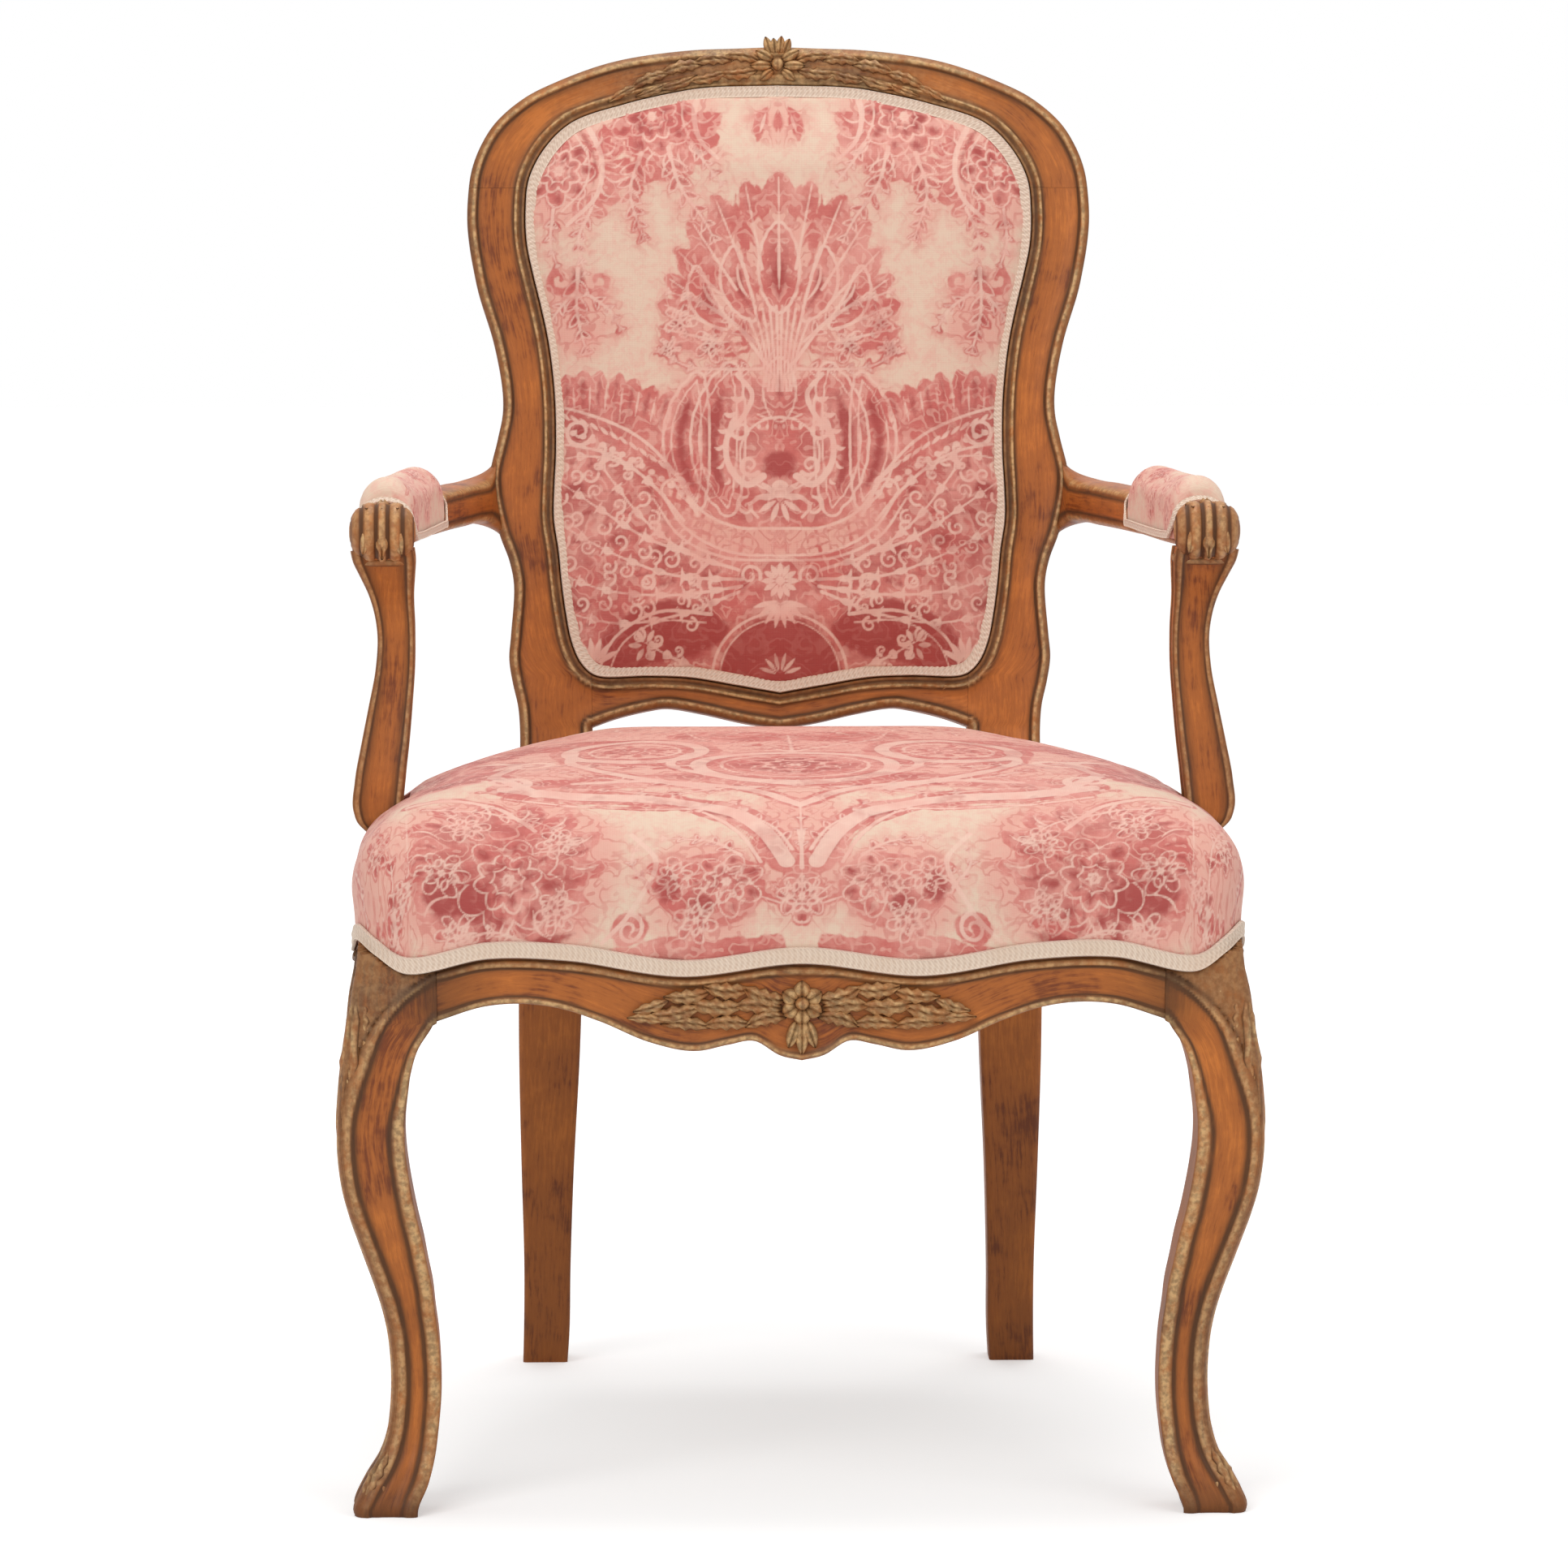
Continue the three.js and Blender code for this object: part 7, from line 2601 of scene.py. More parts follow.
def _seat_front(made: Pattern) -> None:
    """The flower masses, clusters and middle stem over the front edge.

    Args:
        made: the pattern, drawn on here.
    """
    wash, figure, deep, line = made.wash, made.figure, made.deep, made.line
    wash.blob(200, -322, 84, 80)
    figure.blob(202, -330, 62, 56)
    figure.blob(60, -352, 36, 30)
    wash.blob(300, -330, 40, 90)
    figure.stroke([(18, -393), (80, -396), (150, -396), (252, -398)], 13, 15)
    figure.blob(0, -352, 15, 24)
    figure.fan(200, -322, 30, 70, 0, 345, 14, 22, 5)
    line.fan(200, -322, 44, 66, 0, 345, 14, 1.6, 4)
    deep.fan(200, -322, 40, 60, 12, 357, 14, 4, 3)
    made.flower(194, -338, 36, 10, 8)
    for x, y, size in ((238, -334, 19), (160, -306, 16), (162, -362, 15), (222, -288, 17), (228, -376, 15)):
        made.flower(x, y, size, x, 6)
    deep.blob(218, -352, 13, 16)
    deep.blob(240, -350, 12, 15)
    deep.petal(150, -376, 190, -386, 12)
    made.leaf([(250, -262), (210, -268), (170, -284), (146, -310)], 15, 6)
    made.leaf([(180, -380), (206, -372), (236, -384)], 11, 4)
    line.stroke([(262, -240), (264, -320), (262, -410)], 1.3, 1.3)
    made.leaf([(288, -392), (292, -350), (284, -300), (296, -262)], 20, 6)
    made.flower(296, -346, 20, 0, 6)
    wash.blob(64, -350, 42, 44)
    made.flower(50, -350, 25, 0, 7)
    made.flower(84, -344, 19, 20, 6)
    made.flower(70, -376, 15, 10, 6)
    deep.blob(88, -350, 9, 13)
    deep.blob(64, -366, 10, 8)
    line.scroll(114, -378, 10, 90, 1.4, 2.8)
    figure.blob(114, -378, 12, 10)
    figure.petal(74, -386, 116, -391, 8)
    made.leaf([(40, -326), (62, -308), (94, -304)], 13, 5)
    made.leaf([(100, -352), (112, -330), (104, -300)], 10, 4)
    wash.blob(0, -350, 30, 30)
    made.flower(0, -362, 17, 0, 8)
    figure.fan(0, -372, 14, 30, 20, 160, 7, 7, 2)
    line.fan(0, -372, 14, 28, 20, 160, 7, 1.3)
    line.stroke([(0, -340), (0, -318), (2, -300)], 3.0, 2.0)
    wash.petal(0, -336, 0, -240, 64, 0, 0.4)
    made.leaf([(6, -322), (18, -296), (34, -276), (46, -250)], 14, 5)
    made.leaf([(0, -330), (0, -296), (0, -262)], 10, 4)
    run = [(10, -334), (26, -298), (52, -266), (96, -248), (152, -240), (196, -226)]
    for start, end, offset in ((11.0, 12.0, 0), (2.4, 2.6, 17)):
        made.band([(x + offset * (x < 60), y - offset * (x > 60)) for x, y in run], start, end)
    deep.stroke([(16, -332), (32, -298), (58, -270), (100, -253), (152, -246)], 2.4, 1.8)
    figure.stroke([(24, -330), (40, -298), (64, -274), (104, -258), (156, -252)], 5, 4)
    line.scroll(196, -208, 18, 270, -1.3, 7)
    made.band([(0, -262), (40, -226), (96, -206), (150, -212)], 7.0, 6.0)
    line.stroke([(112, -300), (96, -330), (112, -366), (132, -384)], 3.6, 2.6)
    made.band([(262, -250), (232, -246), (200, -262), (176, -292)], 5.0, 3.0)


def _seat_top(made: Pattern) -> None:
    """The cartouches and leaf scrolls over the flat of the seat.

    Args:
        made: the pattern, drawn on here.
    """
    wash, figure, deep, line = made.wash, made.figure, made.deep, made.line
    wash.blob(0, -40, 330, 196)
    shadows = (
        (150, -214, 44, 16), (70, -196, 40, 15), (228, -130, 34, 60), (160, -10, 60, 34), (40, 20, 46, 40),
    )
    for x, y, rx, ry in shadows:
        figure.blob(x, y, rx, ry)
    for x, y, rx, ry in ((0, -150, 66, 62), (108, -70, 46, 66)):
        ring = Drawing(made.places)
        ring.blob(x, y, rx, ry)
        wash.join(ring)
        figure.outline(ring, 26.0)
        line.outline(ring, 10.0)
        line.outline(ring, 2.4, 15.0)
        made.flower(x, y, rx * 0.5, 8, 9)
        figure.fan(x, y, rx * 0.55, rx * 0.86, 0, 345, 14, rx * 0.2, 2)
    figure.blob(0, -150, 52, 46)
    made.flower(0, -150, 36, 0, 9)
    made.leaf([(20, -226), (70, -216), (130, -196), (176, -150)], 22, 7)
    made.leaf([(70, -150), (120, -156), (176, -126), (206, -80)], 20, 7)
    made.leaf([(40, -222), (90, -238), (150, -226), (214, -232)], 13, 7)
    made.leaf([(0, -82), (30, -40), (60, 0), (70, 50)], 20, 6)
    made.leaf([(0, -86), (0, -40), (0, 30)], 18, 6)
    made.flower(236, -176, 32, 0, 8)
    made.flower(214, -40, 32, 0, 8)
    made.flower(258, -110, 26, 0, 7)
    made.leaf([(262, -226), (276, -180), (270, -130)], 18, 6)
    made.leaf([(160, 10), (200, 20), (246, 0), (268, -50)], 22, 6)
    deep.blob(240, -180, 12, 14)
    made.band([(176, -236), (204, -180), (190, -110), (216, -84)], 10, 8)
    made.band([(60, -226), (120, -186), (150, -140), (150, -60)], 9, 7)
    made.band([(0, -220), (48, -196), (84, -150), (70, -90)], 7, 6)
    line.scroll(180, -130, 22, 0, 1.3, 7)


def pad_pattern(places: Array) -> Pattern:
    """Loose sprigs for the arm pads; along the arm and round the pad in mm.

    Args:
        places: places on the cloth.

    Returns:
        The pattern.
    """
    made = Pattern.over(places)
    for i in range(6):
        x, y = 8 + i * 36, (-12 if i % 2 else 13)
        made.wash.blob(x, y, 22, 20)
        made.flower(x, y, 15, 30.0 * i, 6)
        made.leaf([(x - 12, -y), (x + 6, -y + 5), (x + 24, -y)], 10, 4)
    return made


def mesh_points(obj: bpy.types.Object) -> Array:
    """An object's points in metres.

    Args:
        obj: the object.

    Returns:
        Its points, one to a row.
    """
    flat = np.empty(len(obj.data.vertices) * 3, dtype=np.float32)
    obj.data.vertices.foreach_get("co", flat)
    return flat.reshape(-1, 3).astype(float)


def drawn_points(obj: bpy.types.Object) -> Array:
    """A piece's points in mm in the drawing's own frame."""
    return mesh_points(obj) / MM - np.array([0, SHIFT_Y, 0])


def store_pattern(obj: bpy.types.Object, pattern: Pattern) -> None:
    """Keeps a pattern on a piece's points for its material to read.

    Args:
        obj: the piece.
        pattern: drawn over as many places as it has points.
    """
    values = {name: getattr(pattern, name).field for name in ("wash", "figure", "deep", "line")}
    values |= {"across": pattern.places[:, 0], "along": pattern.places[:, 1]}
    for name, field_values in values.items():
        if name in obj.data.attributes:
            obj.data.attributes.remove(obj.data.attributes[name])
        attribute = obj.data.attributes.new(name, "FLOAT", "POINT")
        attribute.data.foreach_set("value", field_values.astype(np.float32))


# ---------------------------------------------------------------- soft work


@dataclass(frozen=True)
class Stuffing:
    """How a padded form is puffed: voxel size, cloth pressure and how far a point may travel."""

    voxel: float = 5.0
    pressure: float = 4.0
    travel: float = 5.0
    stiffness: float = 25.0
    frames: int = 20

    def puff(self, name: str, mesh: Mesh, hold: Callable[[Array], Array]) -> Mesh:
        """Remeshes a closed form, blows it up as cloth and caps its travel.

        Args:
            name: what to call the scratch object.
            mesh: the closed form in metres, freed here.
            hold: gives each point, in mm, a share from 0, held, to 1, free.

        Returns:
            The puffed form in metres.
        """
        obj = stand(name, flesh(name, mesh))
        remesh = obj.modifiers.new("even", "REMESH")
        remesh.mode = "VOXEL"
        remesh.voxel_size = self.voxel * MM
        self._apply(obj)
        start = mesh_points(obj)
        self._blow(obj)
        move = mesh_points(obj) - start
        reach = np.linalg.norm(move, axis=1)
        free = np.clip(hold(start / MM), 0, 1) * self.travel * MM
        move *= (np.minimum(reach, free) / np.maximum(reach, TINY))[:, None]
        made = bmesh.new()
        made.from_mesh(obj.data)
        for vert, point in zip(made.verts, start + move):
            vert.co = point
        bpy.data.objects.remove(obj)
        bmesh.ops.smooth_vert(
            made, verts=made.verts, factor=0.5, use_axis_x=True, use_axis_y=True, use_axis_z=True
        )
        return made

    def _blow(self, obj: bpy.types.Object) -> None:
        """Runs the cloth with pressure and applies it.

        Args:
            obj: the form, changed here.
        """
        cloth = obj.modifiers.new("puff", "CLOTH")
        cloth.settings.use_pressure = True
        cloth.settings.uniform_pressure_force = self.pressure
        cloth.settings.effector_weights.gravity = 0.0
        cloth.settings.tension_stiffness = self.stiffness
        cloth.point_cache.frame_start = 1
        cloth.point_cache.frame_end = self.frames
        for number in range(1, self.frames + 1):
            bpy.context.scene.frame_set(number)
        self._apply(obj)
        bpy.context.scene.frame_set(1)

    @staticmethod
    def _apply(obj: bpy.types.Object) -> None:
        """Makes the modifiers' result the object's own mesh.

        Args:
            obj: the object.
        """
        evaluated = obj.evaluated_get(bpy.context.evaluated_depsgraph_get())
        data = bpy.data.meshes.new_from_object(evaluated)
        obj.modifiers.clear()
        obj.data = data


def soft_subdivide(mesh: Mesh, toward: Triple | None = None, least: float = 0.5) -> Mesh:
    """One smooth subdivision of a quad form.

    Args:
        mesh: the form, changed here.
        toward: divides only the faces that look this way, all when missing.
        least: how nearly they must look that way, as a cosine.

    Returns:
        The same mesh.
    """
    edges = list(mesh.edges)
    if toward is not None:
        mesh.normal_update()
        edges = list({edge for face in mesh.faces if face.normal.dot(toward) > least for edge in face.edges})
    rounding = 0.6 if toward is None else 0.0
    bmesh.ops.subdivide_edges(mesh, edges=edges, cuts=1, use_grid_fill=True, smooth=rounding)
    return mesh


LOOP_PITCH = 3.9
LOOP_LEAN = 2.4
CORD_AT, CORD_WIDTH = 0.86, 0.13
MIDDLE_WIDTH = 0.16


def gimp_rings(
    centres: Array, out: Array, rise: Array, width: float, thickness: float, closed: bool
) -> Rings:
    """A woven braid along a run.

    Args:
        centres: points along the middle of the braid's foot, about a millimetre apart.
        out: the way the braid's face looks, at each point.
        rise: the way across the braid, at each point.
        width: its width.
        thickness: how far it stands off.
        closed: whether it joins its own start.

    Returns:
        Rings whose face carries two rows of loops and a raised cord down each edge, with painted shade in the
        hollows between the loops and on the foot.
    """
    reach = run_reach(centres)
    shares = np.linspace(-1, 1, 15)
    face = []
    dirt = []
    for place in reach:
        wave = np.sin(place * 2 * math.pi / LOOP_PITCH + shares * LOOP_LEAN * np.sign(shares))
        cord = np.exp(-(((np.abs(shares) - CORD_AT) / CORD_WIDTH) ** 2))
        middle = np.exp(-((shares / MIDDLE_WIDTH) ** 2))
        height = 0.66 + 0.11 * wave * (1 - cord) + 0.22 * cord + 0.1 * middle
        height *= np.where(np.abs(shares) > 0.99, 0.35, 1.0)
        face.append(height * thickness)
        # Painted shade: darker in the hollows between the loops, barely on the cords.
        dirt.append(np.clip(0.5 - 0.5 * wave, 0, 1) * (1 - cord) * 0.32 + 0.08)
    face, dirt = np.array(face), np.array(dirt)
    foot = np.array([0.9, 0.0, -0.9])
    front, backs = (
        centres[:, None] + rise[:, None] * (row[None, :, None] * width / 2) for row in (shares, foot)
    )
    points = np.concatenate([front + out[:, None] * face[:, :, None], backs], axis=1)
    # Painted shade on the foot, where the braid lies against the cloth.
    plain = np.full((len(points), 3), 0.6)
    return Rings(points, None, np.concatenate([dirt, plain], axis=1), closed)


GIMP_THICKNESS = 2.8
BETWEEN_STILES = 141.0


@dataclass
class SeatUpholstery:
    """The seat's stuffed cover and its braids."""

    plan: SeatPlan
    lift: float = 2.0
    core_low: float = 300.0
    core_top: float = 409.6
    gimp_width: float = 11.5
    held_below: float = 6.0
    free_over: float = 40.0
    uprights: tuple[Triple, ...] = ((285, -122, 46), (170, 215, 52))
    front_fold: Pair = (190, 60)
    side_fold: Pair = (190, 70)
    rear_fold: Pair = (225, 15)

    def cushion(self, cutters: Sequence[Mesh]) -> Mesh:
        """The crowned seat, puffed, hollowed under for its frame and notched round the uprights.

        Args:
            cutters: closed forms in metres to leave room for, freed here.

        Returns:
            The seat in metres.
        """
        outline = evenly(self.plan.whole, 6.0, closed=True)
        middle = np.array([0.0, self.plan.centre_y])
        shares = np.concatenate([np.linspace(0, 0.9, 22), np.linspace(0.92, 1, 14)])
        edge = outline[:, 2] + self.lift
        rings = []
        for share, far in zip(shares, table_at(CUSHION_SHARES, shares)[:, 0]):
            plan = middle + (outline[:, :2] - middle) * max(far, 0.02) * 1.001
            rings.append(np.column_stack([plan, edge + share * (self.plan.crown - 2.0 - edge)]))
        body = Rings(np.array(rings)).mesh()
        floor = self.plan.rail_top

        def hold(points: Array) -> Array:
            """Free on top, held low down and beside the uprights.

            Args:
                points: places in mm.

            Returns:
                0 where held, 1 where free.
            """
            height = np.clip((points[:, 2] - floor - self.held_below) / self.free_over, 0, 1)
            clear = np.ones(len(points))
            for x, y, size in self.uprights:
                away = np.hypot(np.abs(points[:, 0]) - x, points[:, 1] - y)
                clear = np.minimum(clear, np.clip((away - size * 0.55) / size, 0, 1))
            return height * clear

        puffed = soft_subdivide(Stuffing().puff("seat_form", body, hold))
        puffed = soft_subdivide(puffed, (0.0, -1.0, 0.0), 0.45)
        return self._notched(puffed, [self._core(), *cutters])

    def _core(self, inset: float = 2.35) -> Mesh:
        """The room under the seat's cloth: the plan drawn in, up to just above the rails.

        Args:
            inset: how far in from the plan's edge.

        Returns:
            The room's mesh.
        """
        half = self.plan.half - self.plan.outward(self.plan.half) * inset
        half[0, 0] = half[-1, 0] = 0.0
        outline = evenly(mirrored_run(half), 4.0, closed=True)
        flat, plain = outline[:, :2], np.ones(len(outline))
        levels = [np.column_stack([flat, plain * z]) for z in (self.core_low, self.core_top)]
        return Rings(np.array(levels)).mesh()

    @staticmethod
    def _notched(body: Mesh, cutters: Sequence[Mesh]) -> Mesh:
        """A form less several cutters.

        Args:
            body: the form.
            cutters: what is taken out of it.

        Returns:
            What is left.
        """
        objects = []
        for mesh in (body, *cutters):
            bmesh.ops.recalc_face_normals(mesh, faces=mesh.faces)
            objects.append(stand("notch", flesh("notch", mesh)))
        for tool in objects[1:]:
            boolean = objects[0].modifiers.new("room", "BOOLEAN")
            boolean.operation = "DIFFERENCE"
            boolean.solver = "MANIFOLD"
            boolean.object = tool
        evaluated = objects[0].evaluated_get(bpy.context.evaluated_depsgraph_get())
        made = bmesh.new()
        made.from_mesh(bpy.data.meshes.new_from_object(evaluated))
        for scratch in objects:
            bpy.data.objects.remove(scratch)
        return made

    def cloth_places(self, points: Array) -> Array:
        """Where each point lies on the flat cloth: across, and back, with the drops over the edges.

        Args:
            points: points in the drawing's frame.

        Returns:
            Two numbers in mm to a point.
        """
        x, y, z = points.T
        plan = np.column_stack([np.abs(x), y])
        crown = self.plan.crown - 12
        drop = np.clip(crown - z, 0, None)
        inside = np.clip((self.plan.half_width - plan[:, 0]) / 40, 0, 1)
        ahead, aside, behind = (
            np.clip((way - start) / span, 0, 1)
            for way, (start, span) in ((-y, self.front_fold), (plan[:, 0], self.side_fold), (y, self.rear_fold))
        )
        ahead = ahead * inside
        aside = aside * (1 - ahead)
        return np.column_stack([x + np.sign(x) * drop * aside * 0.8, y - drop * (ahead - behind)])

    def build(self, maker: Maker, finishes: Finishes) -> None:
        """Makes the cover and both braids.

        Args:
            maker: makes the pieces.
            finishes: the chair's finishes.
        """
        nodes = ["seat_cover", "seat_stuffing"]
        cushion = self.cushion(upright_cutters())
        obj = maker.piece("seat_cushion", cushion, finishes.damask, nodes, CLOTH_CREASE)
        points = drawn_points(obj)
        store_pattern(obj, seat_pattern(self.cloth_places(points)))
        self._braids(maker, finishes.braid)

    def _braids(self, maker: Maker, braid: Material) -> None:
        """The gimp round the front and sides, and along the back rail.

        Args:
            maker: makes the pieces.
            braid: the gimp's finish.
        """
        half = self.plan.half
        last = int(np.argmax(half[:, 1] > self.plan.stile_front_y - 1))
        right = evenly(half[:last], 1.0)
        out = self.plan.outward(right)
        out[0] = (0, -1, 0)
        run, outs = (both_sides(part[::-1])[::-1] for part in (right, out))
        self._gimp(maker, "seat_gimp", run, outs, braid)
        run = both_sides(evenly(half[(half[:, 0] < BETWEEN_STILES) & (half[:, 1] > 0)], 1.0))
        self._gimp(maker, "seat_rear_gimp", run, np.tile([0.0, 1.0, 0.0], (len(run), 1)), braid)

    def _gimp(self, maker: Maker, node: str, run: Array, outs: Array, braid: Material) -> None:
        """One braid on a run of the plan, for the node of its name.

        Args:
            maker: makes the piece.
            node: the node.
            run: its run.
            outs: the way out at each point.
            braid: the gimp's finish.
        """
        centres = run + outs * 1.2 + UP * (self.gimp_width / 2 + 1)
        rings = gimp_rings(centres, outs, np.tile(UP, (len(run), 1)), self.gimp_width, GIMP_THICKNESS, False)
        maker.piece(f"{node}_braid", rings.mesh(), braid, [node], GIMP_CREASE)


BACK_SECTION = (
    (-1.0, 0.972), (0.0, 0.982), (0.25, 0.96), (0.5, 0.9), (0.72, 0.82),
    (0.86, 0.7), (0.94, 0.52), (0.985, 0.3), (1.0, 0.03),
)


@dataclass
class BackUpholstery:
    """The back's stuffed front, its outside cloth and both braids."""

    back: Back
    crown: float = 19.0
    edge_height: float = -2.0
    gimp_inset: float = 4.9
    gimp_width: float = 8.8
    held_edge: float = 16.0
    free_over: float = 40.0
    cloth_inset: float = 0.3
    canvas_height: float = -3.9

    def cushion(self) -> Mesh:
        """The crowned front of the back, puffed.

        Returns:
            The piece's mesh.
        """
        back = self.back
        outline = back.panel_loop(5.0)
        shares = np.concatenate([[-1.0], np.linspace(0, 0.9, 18), np.linspace(0.92, 1, 12)])
        rings = []
        for share, far in zip(shares, table_at(BACK_SECTION, shares)[:, 0]):
            flat = back.centre + (outline - back.centre) * max(far, 0.02)
            height = self.edge_height + max(share, 0) * self.crown + min(share, 0) * 1.8
            rings.append(back.place(flat[:, 0], flat[:, 1], height))
        body = Rings(np.array(rings)).mesh()

        def hold(points: Array) -> Array:
            """Free in the middle, held at the edge."""
            flat = np.column_stack([np.abs(points[:, 0]), (points[:, 2] - back.foot_z) / math.cos(back.rake)])
            return np.clip((run_distance(flat, back.panel) - self.held_edge) / self.free_over, 0, 1)

        return Stuffing().puff("back_form", body, hold)

    def flat_places(self, points: Array) -> Array:
        """Across and up the back at points in the drawing's frame.

        Args:
            points: points on or near the back.

        Returns:
            Two numbers in mm to a point.
        """
        back = self.back
        u = points[:, 0]
        rel_y = points[:, 1] - back.front_y - back.bow * (1 - (u / back.half_width) ** 2)
        rel_z = points[:, 2] - back.foot_z
        return np.column_stack([u, math.sin(back.rake) * rel_y + math.cos(back.rake) * rel_z])

    def build(self, maker: Maker, finishes: Finishes) -> None:
        """Makes the stuffed front, the outside cloth, the hessian between and both braids.

        Args:
            maker: makes the pieces.
            finishes: the chair's finishes.
        """
        whole = soft_subdivide(self.cushion())
        mesh = soft_subdivide(whole, self.back.facing(), 0.4)
        nodes = ["back_front_cover", "back_stuffing"]
        obj = maker.piece("back_cushion", mesh, finishes.damask, nodes, CLOTH_CREASE)
        points = drawn_points(obj)
        store_pattern(obj, back_pattern(self.flat_places(points)))
        self._braid(maker, "back_front_gimp", self.edge_height + 1.6, 1.0, finishes.braid)
        self._braid(maker, "back_rear_gimp", -self.back.thickness - 1.7, -1.0, finishes.braid)
        self._outside_cloth(maker, finishes.outside)
        self._hessian(maker, finishes.hessian)

    def _braid(self, maker: Maker, node: str, height: float, way: float, braid: Material) -> None:
        """The gimp round the panel, on the front or the outside, for the node of its name.

        Args:
            maker: makes the piece.
            node: the node.
            height: how proud of the back's face its foot lies.
            way: 1 to face forward, -1 to face back.
            braid: the gimp's finish.
        """
        back = self.back
        run = back.panel_loop(1.0)
        slope = np.roll(run, -1, axis=0) - np.roll(run, 1, axis=0)
        inward = unit(np.column_stack([slope[:, 1], -slope[:, 0]]))
        inward *= np.sign(np.sum(inward * (back.centre - run), axis=1))[:, None]
        insets = (self.gimp_inset, self.gimp_inset + 1)
        centres, edges = (back.place(*(run + inward * far).T, height) for far in insets)
        out = np.tile(np.array(back.facing()) * way, (len(run), 1))
        rings = gimp_rings(centres, out, unit(edges - centres), self.gimp_width, GIMP_THICKNESS, True)
        maker.piece(f"{node}_braid", rings.mesh(), braid, [node], GIMP_CREASE)

    def _panel_skin(self, height: float, thickness: float, share: float, ripple: float) -> Mesh:
        """A thin bowed skin over the panel.

        Args:
            height: how proud of the back's face it lies.
            thickness: its thickness.
            share: its size as a share of the panel.
            ripple: how far its middle swells.

        Returns:
            The piece's mesh.
        """
        back = self.back
        outline = back.panel_loop(6.0)
        reaches = np.linspace(share, 0.02, 26)
        faces = []
        for top, order in ((height, reaches[::-1]), (height - thickness, reaches)):
            for far in order:
                flat = back.centre + (outline - back.centre) * far
                faces.append(back.place(flat[:, 0], flat[:, 1], top + ripple * (1 - far**2)))
        return Rings(np.array(faces)).mesh()

    def _outside_cloth(self, maker: Maker, outside: Material) -> None:
        """The cloth stretched over the outside of the back.

        Args:
            maker: makes the piece.
            outside: the cloth's finish.
        """
        mesh = self._panel_skin(-self.back.thickness - self.cloth_inset, 1.0, 0.985, 1.2)
        name = "outside_back_cloth"
        obj = maker.piece(name, mesh, outside, ["back_rear_cover"], CLOTH_CREASE)
        points = drawn_points(obj)
        store_pattern(obj, back_pattern(self.flat_places(points)))

    def _hessian(self, maker: Maker, hessian: Material) -> None:
        """The canvas that carries the stuffing."""
        mesh = self._panel_skin(self.canvas_height, 0.8, 0.975, 0.0)
        maker.piece("back_canvas", mesh, hessian, ["back_hessian"], CLOTH_CREASE)


